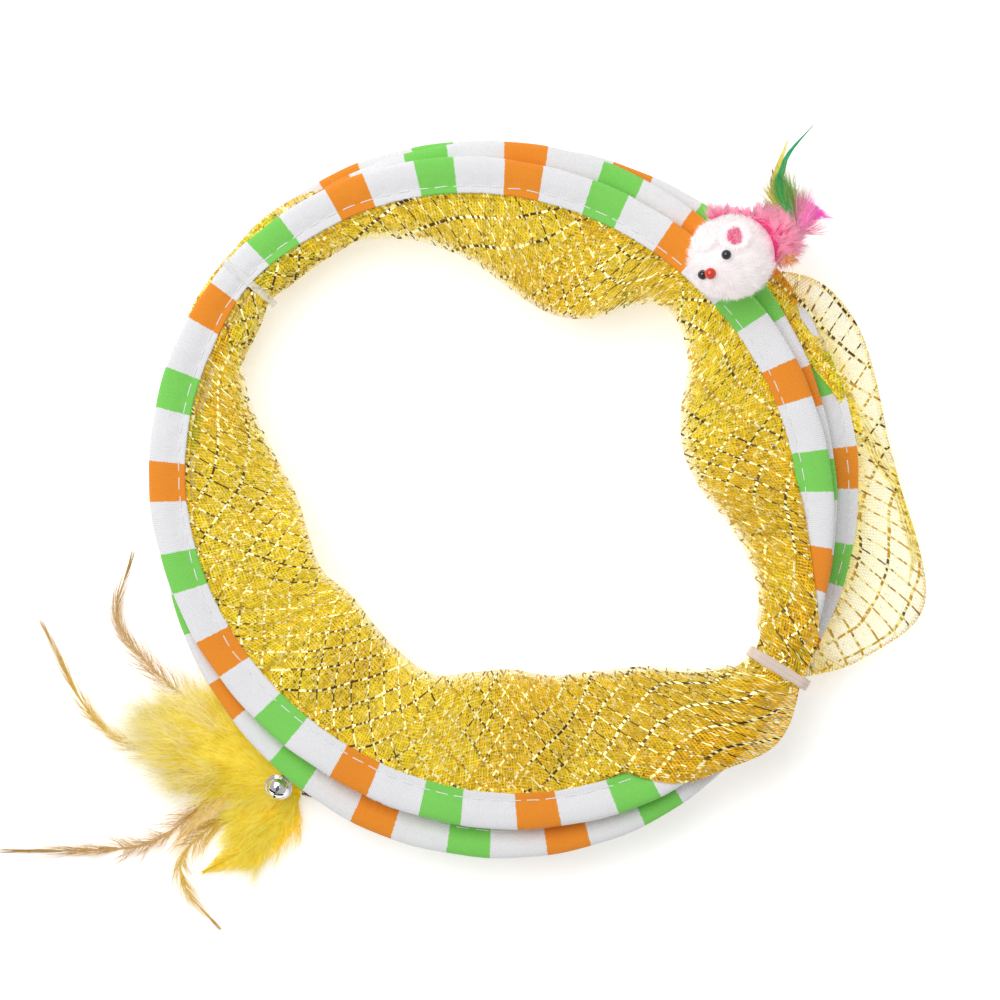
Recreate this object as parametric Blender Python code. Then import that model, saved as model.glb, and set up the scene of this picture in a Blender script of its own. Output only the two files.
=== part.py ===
"""Collapsible cat tunnel, pressed flat and tied, lying on the floor.

Five closed spring-wire hoops, each in a striped fabric casing, carry four gathered sections of gauze.
A plush mouse sits on the top hoop and a feather tuft with a bell is tied to the bottom one.

Lengths are in metres, +Z is up and the floor is at Z = 0. +X and +Y are right and up for someone who
looks straight down on the tunnel. The origin is the middle of the whole outline, on the floor.
"""

import math

import bmesh
import bpy
import numpy as np
from mathutils import Matrix, Vector

MM = 0.001
GAP = 0.3 * MM

# Wire hoops and their fabric casings
HOOP_RADIUS = 115.0 * MM
HOOP_SPACE = 2.5 * MM
WIRE_RADIUS = 1.0 * MM
WIRE_ROOM = 0.4 * MM
WIRE_SIDES = 6
WIRE_PLACE_SHARE = 0.17
CROWN_FABRIC = 0.6 * MM
FLANGE_FABRIC = 0.45 * MM
CASING_WIDTH = 13.0 * MM
CASING_HEIGHT = 2.0 * (WIRE_RADIUS + WIRE_ROOM + CROWN_FABRIC)
BULGE_SHARE = 0.15
SHOULDER_SHARE = 0.36
INNER_BULGE_SHARE = 0.19
FLANGE_WIDTH = 2.2 * MM
SHEET = 0.4 * MM
SLIT_HEIGHT = SHEET + 2.0 * GAP
HOOP_PITCH = CASING_HEIGHT + HOOP_SPACE
STRIPES_ROUND = 22
COLOURED_SHARE = 14.0 / 32.3
TIE_LIFT = 1.3 * MM
TIE_LIFT_SPREAD = math.radians(22.0)

# Each hoop, bottom to top, in shares of the hoop radius: the place of its own centre, its radius, and how
# oval it lies, as the cosine and sine parts of twice the angle. Its phase is the angle of one orange band.
HOOPS = [
    {"centre_shares": (0.078, 0.113), "radius_share": 0.990, "oval_shares": (0.007, -0.031), "phase": 70.0},
    {"centre_shares": (0.083, 0.148), "radius_share": 1.004, "oval_shares": (0.000, -0.026), "phase": 84.1},
    {"centre_shares": (0.130, 0.130), "radius_share": 1.017, "oval_shares": (0.013, 0.000), "phase": 3.2},
    {"centre_shares": (0.092, 0.089), "radius_share": 1.028, "oval_shares": (-0.029, -0.009), "phase": 85.3},
    {"centre_shares": (0.075, 0.110), "radius_share": 0.994, "oval_shares": (0.010, -0.037), "phase": 82.7},
]
HOOP_COUNT = len(HOOPS)
# The top casing was gathered unevenly when it was sewn, so its bands drift by this much round the hoop.
TOP_DRIFT = math.radians(3.2)
TOP_DRIFT_PEAK = math.radians(25.0)

# Gauze sections: each is one folded sheet from the slit of one hoop, in to a fold, and out under the next
HEM_IN_SLIT = 2.3 * MM
FOLD_RISE = 0.9 * MM
BILLOW = 1.1 * MM
GATHERS = 13
SLOW_GATHERS = 7
NET_MIDDLE_SHARES = HOOPS[-1]["centre_shares"]
# Distance of the innermost fold from the middle of the net, one value every 12 degrees from +X
FOLD_REACH_SHARES = (
    0.657, 0.609, 0.643, 0.748, 0.783, 0.626, 0.587, 0.630, 0.730, 0.826,
    0.896, 0.930, 0.939, 0.835, 0.700, 0.609, 0.583, 0.578, 0.539, 0.548,
    0.570, 0.591, 0.561, 0.552, 0.596, 0.639, 0.722, 0.896, 0.904, 0.796,
)
SHRINK_SHARES = (0.030, 0.043, 0.022, 0.0)

# The second section is pulled out between the hoops on the right: edge distance by angle in degrees
SIDE_LOBE_SHARES = (
    (-36.0, 0.974), (-34.0, 1.080), (-31.5, 1.100), (-30.0, 1.122), (-28.5, 1.177), (-27.0, 1.226),
    (-22.0, 1.296), (-18.0, 1.383), (-14.0, 1.407), (-8.0, 1.352), (0.0, 1.277), (8.0, 1.243),
    (16.0, 1.248), (24.0, 1.261), (30.0, 1.243), (34.0, 1.213), (37.0, 1.148), (40.0, 1.087), (45.0, 0.974),
)
SIDE_LOBE_HEIGHT = 9.0 * MM
# A thin edge of the third section shows outside the hoops beside the upper left tie
EDGE_PEEP_SHARES = (
    (108.0, 0.974), (116.0, 1.052), (121.0, 1.100), (130.0, 1.117), (136.0, 1.104), (142.0, 1.104),
    (150.0, 1.100), (157.0, 1.043), (164.0, 0.957),
)
OUTER_SHARES = {1: SIDE_LOBE_SHARES, 2: EDGE_PEEP_SHARES}
# The fourth section lies over the top hoop beside the lower right tie
OVER_LOBE_SHARES = (
    (-64.0, 0.965), (-60.0, 1.035), (-56.0, 1.090), (-50.0, 1.117), (-42.5, 1.183), (-38.6, 1.178),
    (-34.3, 1.147), (-31.5, 1.117), (-24.0, 1.117), (-20.0, 1.076), (-15.0, 1.033), (-8.5, 0.993),
    (0.0, 0.957),
)
# How far the edge of the fourth section has climbed from below the top hoop's flange to above the hoop
OVER_RAMP_SHARES = ((-77.0, 0.0), (-73.0, 0.0), (-67.0, 1.0), (2.0, 1.0), (8.0, 0.0), (12.0, 0.0))
FLANGE_DROP = SLIT_HEIGHT / 2.0 + FLANGE_FABRIC + GAP + SHEET
OVER_RISE = CASING_HEIGHT / 2.0 + GAP + SHEET
OVER_FALL = 5.0 * MM
OVER_EDGE = 1.0 * MM
OVER_BEND = 0.4 * MM
LOBE_FALL_LENGTH = 26.0 * MM
LOBE_BEND = 2.0 * MM
LEAST_FOLD = 6.0 * MM
TIED_FOLD = 4.0 * MM
TIED_FOLD_SPREAD = math.radians(6.0)
TIED_REACH_SHARE = 1.0
DEEP_FOLD = 24.0 * MM
WIDE_STEP = 8.6
CLOSE_STEP = 4.0
TIED_STATIONS = (-6.0, -3.0, 0.0, 3.0, 6.0)
CLOSE_STATIONS = {1: (-40.0, 48.0), 3: (-80.0, 16.0)}
EDGE_ROOM = 1.0 * MM

# Elastic ties that hold the flat bundle together
TIE_ANGLES = (math.radians(139.0), math.radians(-31.4))
TIE_WIDTH = 4.0 * MM
TIE_THICKNESS = 0.7 * MM
TIE_BEND = 3.0 * MM
TIE_REACH_IN = 5.4 * MM
TIE_REACH_OUT = (2.0 * MM, 3.5 * MM)
# Each tie gathers the inner side of the casings, so that this share of its width is taken up
PINCH_SHARES = (0.25, 0.62)
PINCH_SPREAD = math.radians(16.0)

# Plush mouse: it hangs at an angle round the top hoop. Places on it are shares of the length of its head.
MOUSE_ANGLE = math.radians(40.1)
HEAD_LENGTH = 32.4 * MM
HEAD_WIDTH = 31.2 * MM
HEAD_HEIGHT = 25.2 * MM
HEAD_SINK = 1.3 * MM
HEAD_TURN = math.radians(219.0)
HEAD_PLACE_SHARES = (-0.043, 0.340)
SNOUT_GROWTH = 0.16
BACK_LENGTH = 26.4 * MM
BACK_WIDTH = 23.6 * MM
BACK_HEIGHT = 22.4 * MM
BACK_LIFT = 0.6 * MM
BACK_TURN = math.radians(12.0)
BACK_PLACE_SHARES = (0.367, 0.194)
EYE_RADIUS = 1.8 * MM
NOSE_RADIUS = 2.1 * MM
NEAR_EYE_SHARES = (-0.077, 0.0)
FAR_EYE_SHARES = (-0.340, -0.219)
NOSE_SHARES = (-0.244, -0.198)
NEAR_EAR_SHARES = (0.015, 0.201)
FAR_EAR_SHARES = (-0.306, 0.188)
EAR_LENGTH = 8.6 * MM
EAR_WIDTH = 6.8 * MM
EAR_THICKNESS = 2.4 * MM
KNOT_RADIUS = 1.1 * MM

# Feathers: every one is a thin blade. A route is given in shares of the feather's own length, from its root.
FEATHER_THICKNESS = 0.9 * MM
FEATHER_POINTS = 8
LONG_FEATHER_POINTS = 12
LONG_FEATHER = 50.0 * MM
TAIL_SEAT = 0.85 * MM
GREEN_TAIL_LENGTH = 40.0 * MM
GREEN_TAIL_WIDTH = 5.2 * MM
YELLOW_TAIL_LENGTH = 30.0 * MM
YELLOW_TAIL_WIDTH = 3.6 * MM
MAGENTA_TAIL_LENGTH = 19.0 * MM
MAGENTA_TAIL_WIDTH = 5.2 * MM
PINK_TAIL_LENGTH = 12.7 * MM
PINK_TAIL_WIDTH = 8.4 * MM

# Each tail feather's aim is the direction of its root on the mouse's back: degrees round, degrees up
TAIL_FEATHERS = [
    {
        "name": "tail_feather_green", "aim": (15.0, 16.0),
        "length": GREEN_TAIL_LENGTH, "width": GREEN_TAIL_WIDTH,
        "route_shares": (
            (-0.055, 0.185, 0.030), (-0.132, 0.398, 0.040), (-0.115, 0.522, 0.030),
            (-0.048, 0.688, -0.005), (0.148, 0.915, -0.065),
        ),
        "width_shares": (0.13, 0.50, 0.35, 0.29, 0.21, 0.06), "colour": (0.05, 0.52, 0.24),
    },
    {
        "name": "tail_feather_yellow", "aim": (25.0, 8.0),
        "length": YELLOW_TAIL_LENGTH, "width": YELLOW_TAIL_WIDTH,
        "route_shares": ((-0.153, 0.300, 0.020), (-0.207, 0.580, 0.013), (-0.077, 0.990, -0.053)),
        "width_shares": (0.17, 0.50, 0.44, 0.08), "colour": (0.78, 0.75, 0.20),
    },
    {
        "name": "tail_feather_magenta", "aim": (36.0, 0.0),
        "length": MAGENTA_TAIL_LENGTH, "width": MAGENTA_TAIL_WIDTH,
        "route_shares": ((-0.221, 0.442, 0.021), (-0.342, 0.942, -0.032)),
        "width_shares": (0.12, 0.50, 0.10), "colour": (0.70, 0.10, 0.42),
    },
    {
        "name": "tail_feather_pink", "aim": (4.0, 1.0),
        "length": PINK_TAIL_LENGTH, "width": PINK_TAIL_WIDTH,
        "route_shares": ((0.260, 0.400, -0.016), (0.559, 0.827, -0.094)),
        "width_shares": (0.11, 0.50, 0.19), "colour": (0.85, 0.18, 0.62),
    },
]

# Feather tuft: it hangs by its tether at an angle round the bottom hoop
TUFT_ANGLE = math.radians(239.0)
TUFT_REACH = 8.3 * MM
TUFT_HEIGHT = 4.2 * MM
THREAD_RADIUS = 0.6 * MM
THREAD_POINTS = 5
BINDING_RADIUS = 2.4 * MM
BINDING_LENGTH = 6.0 * MM
BINDING_HEADING = math.radians(172.0)
BINDING_SHIFT_SHARE = 0.07
BINDING_GROOVE_SHARE = 0.82
BINDING_TURNS = 4
PLUME_START = 0.8 * MM
PLUME_LENGTH = 54.0 * MM
PLUME_WIDTH = 38.0 * MM
PLUME_HEIGHT = 12.8 * MM
PLUME_LIFT = 2.2 * MM
PLUME_CLEARANCE = 0.8 * MM
PLUME_SIDES = 12
HACKLE_WIDTH = 5.2 * MM
TOP_HACKLE_LENGTH = 100.0 * MM
LONG_HACKLE_LENGTH = 110.0 * MM
LEFT_HACKLE_LENGTH = 108.0 * MM
LOW_HACKLE_LENGTH = 66.0 * MM
LEAF_LENGTH = 25.0 * MM
LEAF_WIDTH = 6.6 * MM
VANE_LENGTH = 42.0 * MM
VANE_WIDTH = 14.8 * MM
QUILL_HEIGHT = PLUME_LIFT - GAP - FEATHER_THICKNESS / 2.0
# The plume's stations: place (x, y) from its start in shares of its length, half width in shares of its
# width, bottom and top in shares of its height
PLUME_SHARES = (
    (0.0, 0.0, 0.058, 0.010, 0.320),
    (-0.120, 0.046, 0.210, 0.010, 0.350),
    (-0.250, 0.131, 0.355, 0.010, 0.410),
    (-0.417, 0.222, 0.460, 0.010, 0.730),
    (-0.602, 0.294, 0.500, 0.0, 1.0),
    (-0.769, 0.343, 0.420, 0.0, 0.880),
    (-0.907, 0.369, 0.250, 0.015, 0.570),
    (-0.981, 0.376, 0.080, 0.080, 0.300),
)

# Each long feather's root is its place from the end of the binding, in shares of the plume's length
TUFT_FEATHERS = [
    {
        "name": "tuft_hackle_top", "root_shares": (-0.069, 0.078, 0.0),
        "length": TOP_HACKLE_LENGTH, "width": HACKLE_WIDTH,
        "route_shares": (
            (-0.174, 0.154, 0.0), (-0.354, 0.264, 0.0), (-0.509, 0.394, 0.011),
            (-0.634, 0.574, 0.025), (-0.579, 0.792, 0.045),
        ),
        "width_shares": (0.12, 0.31, 0.46, 0.50, 0.42, 0.06), "colour": (0.62, 0.42, 0.14),
    },
    {
        "name": "tuft_hackle_long", "root_shares": (-0.084, 0.038, 0.0),
        "length": LONG_HACKLE_LENGTH, "width": HACKLE_WIDTH,
        "route_shares": (
            (-0.260, 0.087, 0.0), (-0.496, 0.115, 0.001), (-0.660, 0.233, 0.014), (-0.808, 0.513, 0.032),
        ),
        "width_shares": (0.12, 0.31, 0.50, 0.42, 0.06), "colour": (0.62, 0.42, 0.14),
    },
    {
        "name": "tuft_hackle_left", "root_shares": (-0.091, -0.003, 0.0),
        "length": LEFT_HACKLE_LENGTH, "width": HACKLE_WIDTH,
        "route_shares": (
            (-0.224, -0.020, 0.0), (-0.446, -0.169, 0.0), (-0.631, -0.201, 0.003), (-0.948, -0.204, 0.023),
        ),
        "width_shares": (0.12, 0.31, 0.50, 0.42, 0.06), "colour": (0.62, 0.42, 0.14),
    },
    {
        "name": "tuft_hackle_low", "root_shares": (-0.080, -0.036, 0.0),
        "length": LOW_HACKLE_LENGTH, "width": HACKLE_WIDTH,
        "route_shares": (
            (-0.345, -0.120, -0.002), (-0.588, -0.324, -0.003),
            (-0.573, -0.521, 0.002), (-0.400, -0.721, 0.023),
        ),
        "width_shares": (0.12, 0.27, 0.50, 0.35, 0.06), "colour": (0.62, 0.42, 0.14),
    },
    {
        "name": "tuft_leaf_feather", "root_shares": (-0.465, 0.071, 0.012),
        "length": LEAF_LENGTH, "width": LEAF_WIDTH,
        "route_shares": ((-0.420, -0.120, -0.004), (-0.888, -0.448, 0.004)),
        "width_shares": (0.15, 0.50, 0.06), "colour": (0.70, 0.48, 0.20),
    },
    {
        "name": "tuft_vane_feather", "root_shares": (-0.039, -0.074, 0.036),
        "length": VANE_LENGTH, "width": VANE_WIDTH,
        "route_shares": ((-0.176, -0.186, 0.005), (-0.452, -0.426, 0.0), (-0.810, -0.617, -0.019)),
        "width_shares": (0.11, 0.46, 0.50, 0.03), "colour": (0.82, 0.66, 0.08),
    },
]

# Jingle bell, which hangs on the tuft by a thread. Its place is a share of the plume's length.
BELL_PLACE_SHARES = (-0.164, 0.019)
BELL_SEAT_SHARE = 0.350
BELL_STAND = 0.95 * MM
BELL_RADIUS = 4.3 * MM
BELL_WALL = 0.45 * MM
BELL_RIM = 0.7 * MM
BELL_RIM_THICKNESS = 0.55 * MM
BELL_TILT = math.radians(31.0)
BELL_HEADING = math.radians(68.0)
BELL_HANG = 1.4 * MM
BELL_SIDES = 16
BELL_STEPS = 5
BELL_SLOT_WIDTH = 0.9 * MM
BELL_SLOT_LENGTH = 5.6 * MM
BELL_SLOT_DEPTH_SHARE = 0.45
BELL_BALL_RADIUS = 1.3 * MM
BELL_LOOP_RADIUS = 1.3 * MM
BELL_LOOP_WIRE = 0.35 * MM
BELL_LOOP_STEPS = 14

GREEN = (0.13, 0.58, 0.10)
ORANGE = (0.88, 0.25, 0.03)
WHITE = (0.80, 0.80, 0.83)
GOLD = (0.80, 0.58, 0.06)
STEEL = (0.55, 0.55, 0.58)
CHROME = (0.80, 0.80, 0.82)
PLUME_YELLOW = (0.85, 0.68, 0.06)
FUR_WHITE = (0.90, 0.86, 0.88)
FUR_PINK = (0.85, 0.12, 0.32)
BLACK_BEAD = (0.02, 0.02, 0.03)
RED_BEAD = (0.80, 0.06, 0.02)
ELASTIC = (0.85, 0.72, 0.62)
ELASTIC_THREAD = (0.75, 0.72, 0.70)
DARK_THREAD = (0.25, 0.16, 0.06)
PIVOT_MARK = 5.0 * MM


def clear_scene():
    """Remove whatever the scene holds."""
    for obj in list(bpy.data.objects):
        bpy.data.objects.remove(obj, do_unlink=True)


def material(name, colour, roughness=0.8, metallic=0.0):
    """Return a Principled material, made once for each name."""
    found = bpy.data.materials.get(name)
    if found:
        return found
    made = bpy.data.materials.new(name)
    made.use_nodes = True
    shader = made.node_tree.nodes["Principled BSDF"]
    shader.inputs["Base Color"].default_value = (*colour, 1.0)
    shader.inputs["Roughness"].default_value = roughness
    shader.inputs["Metallic"].default_value = metallic
    return made


def face_outward(bm):
    """Make the faces of one closed body agree, and turn them all over if the body is inside out."""
    bmesh.ops.recalc_face_normals(bm, faces=bm.faces)
    if bm.calc_volume(signed=True) < 0.0:
        bmesh.ops.reverse_faces(bm, faces=bm.faces)


def add_object(name, bm, materials, parent=None):
    """Turn a bmesh into a named object, with its faces turned outward and its round sides smooth."""
    face_outward(bm)
    mesh = bpy.data.meshes.new(name)
    bm.to_mesh(mesh)
    bm.free()
    for one in materials:
        mesh.materials.append(one)
    mesh.shade_smooth()
    mesh.set_sharp_from_angle(angle=math.radians(35.0))
    obj = bpy.data.objects.new(name, mesh)
    bpy.context.collection.objects.link(obj)
    if parent:
        obj.parent = parent
        obj.matrix_parent_inverse = parent.matrix_world.inverted()
    return obj


def pivot(name, place):
    """Add the empty that a moving group hangs on, at a point of its joint's axis."""
    empty = bpy.data.objects.new(name, None)
    empty.empty_display_size = PIVOT_MARK
    empty.matrix_world = Matrix.Translation(place)
    bpy.context.collection.objects.link(empty)
    bpy.context.view_layer.update()
    return empty


def loft(sections, closed_path, colour_of=None):
    """Bridge equal closed outlines, given as an array (section, point, xyz), into one closed body."""
    bm = bmesh.new()
    rings = [[bm.verts.new(point) for point in section] for section in sections]
    count = len(rings)
    size = len(rings[0])
    spans = count if closed_path else count - 1
    for i in range(spans):
        here = rings[i]
        after = rings[(i + 1) % count]
        for j in range(size):
            k = (j + 1) % size
            face = bm.faces.new((here[j], here[k], after[k], after[j]))
            face.material_index = colour_of(i) if colour_of else 0
    if not closed_path:
        bm.faces.new(rings[0])
        bm.faces.new(reversed(rings[-1]))
    return bm


def sheet_loft(sections):
    """Bridge outlines of a thin sheet into one closed body, with its two faces cut along the same diagonals."""
    bm = bmesh.new()
    rings = [[bm.verts.new(point) for point in section] for section in sections]
    size = len(rings[0])
    for here, after in zip(rings, rings[1:] + rings[:1]):
        for j in range(size):
            k = (j + 1) % size
            if j < size // 2:
                bm.faces.new((here[j], here[k], after[k]))
                bm.faces.new((here[j], after[k], after[j]))
            else:
                bm.faces.new((here[j], here[k], after[j]))
                bm.faces.new((here[k], after[k], after[j]))
    return bm


def by_angle(table, angle, closed=False):
    """Read a smooth curve through (degrees, value) pairs at an angle in radians."""
    degrees = math.degrees(angle)
    keys = [pair[0] for pair in table]
    values = [pair[1] for pair in table]
    if closed:
        step = keys[1] - keys[0]
        at = (degrees - keys[0]) / step
        i = math.floor(at)
        picked = [values[(i + shift) % len(values)] for shift in (-1, 0, 1, 2)]
        return cubic(picked, at - i)
    while degrees > keys[-1]:
        degrees -= 360.0
    while degrees < keys[0]:
        degrees += 360.0
    if degrees > keys[-1]:
        return None
    return float(np.interp(degrees, keys, values))


def cubic(values, t):
    """Catmull-Rom value between the second and third of four neighbours."""
    before, start, end, after = values
    slope = (end - before) / 2.0
    slope_end = (after - start) / 2.0
    t2 = t * t
    t3 = t2 * t
    return (
        (2.0 * t3 - 3.0 * t2 + 1.0) * start
        + (t3 - 2.0 * t2 + t) * slope
        + (3.0 * t2 - 2.0 * t3) * end
        + (t3 - t2) * slope_end
    )


def smooth_route(points, count):
    """Sample a Catmull-Rom curve through points."""
    given = np.array(points, float)
    padded = np.vstack([2.0 * given[0] - given[1], given, 2.0 * given[-1] - given[-2]])
    places = np.linspace(0.0, len(given) - 1.0, count)
    route = []
    for at in places:
        i = min(int(at), len(given) - 2)
        route.append([cubic(padded[i : i + 4, axis], at - i) for axis in range(given.shape[1])])
    return np.array(route)


def turn_between(angle, other):
    """Signed angle from one direction to another, within half a turn."""
    return (angle - other + math.pi) % (2.0 * math.pi) - math.pi


def hoop_radius(index, angle):
    """Distance of a hoop's casing middle from that hoop's own centre."""
    hoop = HOOPS[index]
    cosine, sine = hoop["oval_shares"]
    oval = cosine * math.cos(2.0 * angle) + sine * math.sin(2.0 * angle)
    return HOOP_RADIUS * (hoop["radius_share"] + oval)


def hoop_height(index, angle):
    """Height of a hoop's wire: its place in the stack, lifted where a tie passes below the bundle."""
    lift = 0.0
    for tie in TIE_ANGLES:
        away = abs(turn_between(angle, tie)) / TIE_LIFT_SPREAD
        if away < 1.0:
            lift += TIE_LIFT * math.cos(away * math.pi / 2.0) ** 2
    return CASING_HEIGHT / 2.0 + HOOP_PITCH * index + lift


def near_tie(angle, number, spread):
    """1 at a tie, falling smoothly to 0 at a spread away from it."""
    away = min(1.0, abs(turn_between(angle, TIE_ANGLES[number])) / spread)
    return math.cos(away * math.pi / 2.0) ** 2


def slack(angle):
    """Share of its own width that the inner side of a casing keeps: less where a tie gathers it."""
    left = 1.0
    for number, share in enumerate(PINCH_SHARES):
        left -= share * near_tie(angle, number, PINCH_SPREAD)
    return left


def hoop_point(index, angle, outward=0.0, up=0.0):
    """Point of a hoop's cross-section, by its offset from the casing's middle.

    A tie gathers the cloth on the inner side, which the wire doesn't hold.
    """
    middle_x, middle_y = HOOPS[index]["centre_shares"]
    if outward < 0.0:
        outward *= slack(angle)
    radius = hoop_radius(index, angle) + outward
    return Vector((
        middle_x * HOOP_RADIUS + radius * math.cos(angle),
        middle_y * HOOP_RADIUS + radius * math.sin(angle),
        hoop_height(index, angle) + up,
    ))


def stripe_angles(index):
    """Angles at which a hoop's bands begin and end: coloured, white, coloured, white and so on."""
    step = 2.0 * math.pi / STRIPES_ROUND
    half = step * COLOURED_SHARE / 2.0
    phase = math.radians(HOOPS[index]["phase"])
    angles = []
    for band in range(STRIPES_ROUND):
        middle = phase + band * step
        if index == HOOP_COUNT - 1:
            middle += TOP_DRIFT * math.cos(middle - TOP_DRIFT_PEAK)
        angles += [middle - half, middle + half]
    return angles


def casing_outline():
    """Cross-section of the casing: a flat tube round the wire, open at a slit between its two flanges.

    The first half runs round the outside from the upper lip to the lower one, the rest back inside.
    """
    nose = CASING_WIDTH / 2.0
    lip = -CASING_WIDTH / 2.0
    stitch = lip + FLANGE_WIDTH
    bulge = BULGE_SHARE * CASING_WIDTH
    shoulder = SHOULDER_SHARE * CASING_WIDTH
    top = CASING_HEIGHT / 2.0
    flange_top = SLIT_HEIGHT / 2.0 + FLANGE_FABRIC
    tube_top = WIRE_RADIUS + WIRE_ROOM
    bulge_inside = INNER_BULGE_SHARE * CASING_WIDTH
    upper = [(lip, flange_top), (stitch, flange_top), (bulge, top), (shoulder, top)]
    lower = [(across, -up) for across, up in reversed(upper)]
    inside_low = [(lip, -SLIT_HEIGHT / 2.0), (bulge_inside, -tube_top)]
    inside_high = [(across, -up) for across, up in reversed(inside_low)]
    return upper + [(nose, 0.0)] + lower + inside_low + [(nose - FLANGE_FABRIC, 0.0)] + inside_high


def build_hoop(index):
    """Make one hoop: the spring wire and the striped casing folded and stitched round it."""
    angles = stripe_angles(index)
    outline = casing_outline()
    casing = [[hoop_point(index, a, across, up) for across, up in outline] for a in angles]
    name = f"hoop_{index + 1}"
    stripes = (material("green_band", GREEN), material("orange_band", ORANGE), material("white_band", WHITE))

    def band_colour(span):
        if span % 2 == 1:
            return 2
        return 1 if (span // 2) % 2 == 0 else 0

    add_object(f"{name}_casing", loft(casing, True, band_colour), stripes)
    wire_out = WIRE_PLACE_SHARE * CASING_WIDTH
    turns = [2.0 * math.pi * side / WIRE_SIDES for side in range(WIRE_SIDES)]
    wire = [
        [hoop_point(index, a, wire_out + WIRE_RADIUS * math.cos(t), WIRE_RADIUS * math.sin(t)) for t in turns]
        for a in angles
    ]
    add_object(f"{name}_wire", loft(wire, True), (material("spring_steel", STEEL, 0.35, 1.0),))


def net_middle():
    """Middle of the net on the floor."""
    return Vector((NET_MIDDLE_SHARES[0], NET_MIDDLE_SHARES[1], 0.0)) * HOOP_RADIUS


def seen_from_net(index, angle, edge):
    """Distance from the net's middle to a hoop's lip (edge -1), middle (0) or outer edge (1), and height."""
    away = edge * CASING_WIDTH / 2.0
    middle = net_middle()
    direction = angle
    for _ in range(4):
        place = hoop_point(index, direction, away)
        seen = math.atan2(place.y - middle.y, place.x - middle.x)
        direction += turn_between(angle, seen)
    return math.hypot(place.x - middle.x, place.y - middle.y), place.z


def net_reach(index, angle, edge):
    """Distance from the net's middle to one edge of a hoop along an angle."""
    return seen_from_net(index, angle, edge)[0]


def net_height(index, angle):
    """Height of a hoop's wire at an angle seen from the net's middle."""
    return seen_from_net(index, angle, -1)[1]


def gather_wave(angle):
    """Up and down wave of the gathers, from -1 to 1, uneven round the ring."""
    first = math.sin(GATHERS * angle + 0.8)
    second = math.sin(SLOW_GATHERS * angle + 2.1)
    return 0.62 * first + 0.38 * second


def fold_distance(section, angle, lip):
    """Distance of a section's inner fold from the net's middle: a tie pulls it out to the casing's lip."""
    step = 360.0 / len(FOLD_REACH_SHARES)
    table = [(i * step, reach) for i, reach in enumerate(FOLD_REACH_SHARES)]
    shrink = SHRINK_SHARES[section] * (1.0 + 0.35 * math.sin(3.0 * angle + section))
    share = by_angle(table, angle, closed=True) + shrink
    tied = sum(near_tie(angle, number, TIED_FOLD_SPREAD) for number in range(len(TIE_ANGLES)))
    share += (TIED_REACH_SHARE - share) * tied
    return min(share * HOOP_RADIUS, lip - LEAST_FOLD + (LEAST_FOLD - TIED_FOLD) * tied)


def away_from_ties(angle):
    """0 at a tie, rising to 1 well away from both."""
    nearest = min(abs(turn_between(angle, tie)) for tie in TIE_ANGLES)
    return min(1.0, nearest / TIE_LIFT_SPREAD)


def offset_line(points, half):
    """Close a line of (distance, height) points into an outline of twice the half thickness."""
    line = np.array(points)
    along = np.gradient(line, axis=0)
    along /= np.linalg.norm(along, axis=1)[:, None]
    side = np.stack([-along[:, 1], along[:, 0]], axis=1) * half
    return np.vstack([line + side, (line - side)[::-1]])


def casing_rise(across, angle):
    """Half height of a casing, at a distance from its middle towards the outer edge."""
    across = across / slack(angle) if across < 0.0 else across
    flange = SLIT_HEIGHT / 2.0 + FLANGE_FABRIC
    half = CASING_WIDTH / 2.0
    keys = (-half, -half + FLANGE_WIDTH, BULGE_SHARE * CASING_WIDTH, SHOULDER_SHARE * CASING_WIDTH, half)
    return float(np.interp(across, keys, (flange, flange, CASING_HEIGHT / 2.0, CASING_HEIGHT / 2.0, 0.0)))


def between_hoops(section, angle, reach):
    """Height halfway between the casings below and above a section, at a distance from the middle."""
    below, low = seen_from_net(section, angle, 0)
    above, high = seen_from_net(section + 1, angle, 0)
    return (low + casing_rise(reach - below, angle) + high - casing_rise(reach - above, angle)) / 2.0


def run_under(section, angle, start, end):
    """Three points that carry the upper sheet outward between two hoops, from start to end distance."""
    base = net_height(section, angle)
    outer = max(net_reach(section, angle, 1), net_reach(section + 1, angle, 1)) + LOBE_BEND
    lip = net_reach(section + 1, angle, -1)
    if end < lip + 1.5 * HEM_IN_SLIT * slack(angle):
        up = base + HOOP_PITCH - FLANGE_DROP
        return [(start + share * (end - start), up) for share in (0.4, 0.7, 1.0)]
    first = lip + min(0.42 * CASING_WIDTH, 0.5 * (end - lip))
    second = min(outer, first + 0.6 * (end - first))
    points = []
    for reach in (first, second, end):
        up = between_hoops(section, angle, min(reach, outer))
        fall = max(0.0, reach - outer) / LOBE_FALL_LENGTH
        points.append((reach, up + (SIDE_LOBE_HEIGHT - up) * min(1.0, fall)))
    return points


def run_over(angle, end):
    """Three points that carry the top sheet over the top hoop and down outside it."""
    top = HOOP_COUNT - 1
    height = net_height(top, angle) + OVER_RISE
    lip = net_reach(top, angle, -1)
    edge = net_reach(top, angle, 1)
    if end < edge + OVER_EDGE:
        return [(lip + (end - lip) * share, height) for share in (0.4, 0.7, 1.0)]
    fall = min(1.0, (end - edge) / LOBE_FALL_LENGTH)
    return [(lip + 0.6 * CASING_WIDTH, height), (edge + OVER_BEND, height), (end, height - OVER_FALL * fall)]


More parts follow.
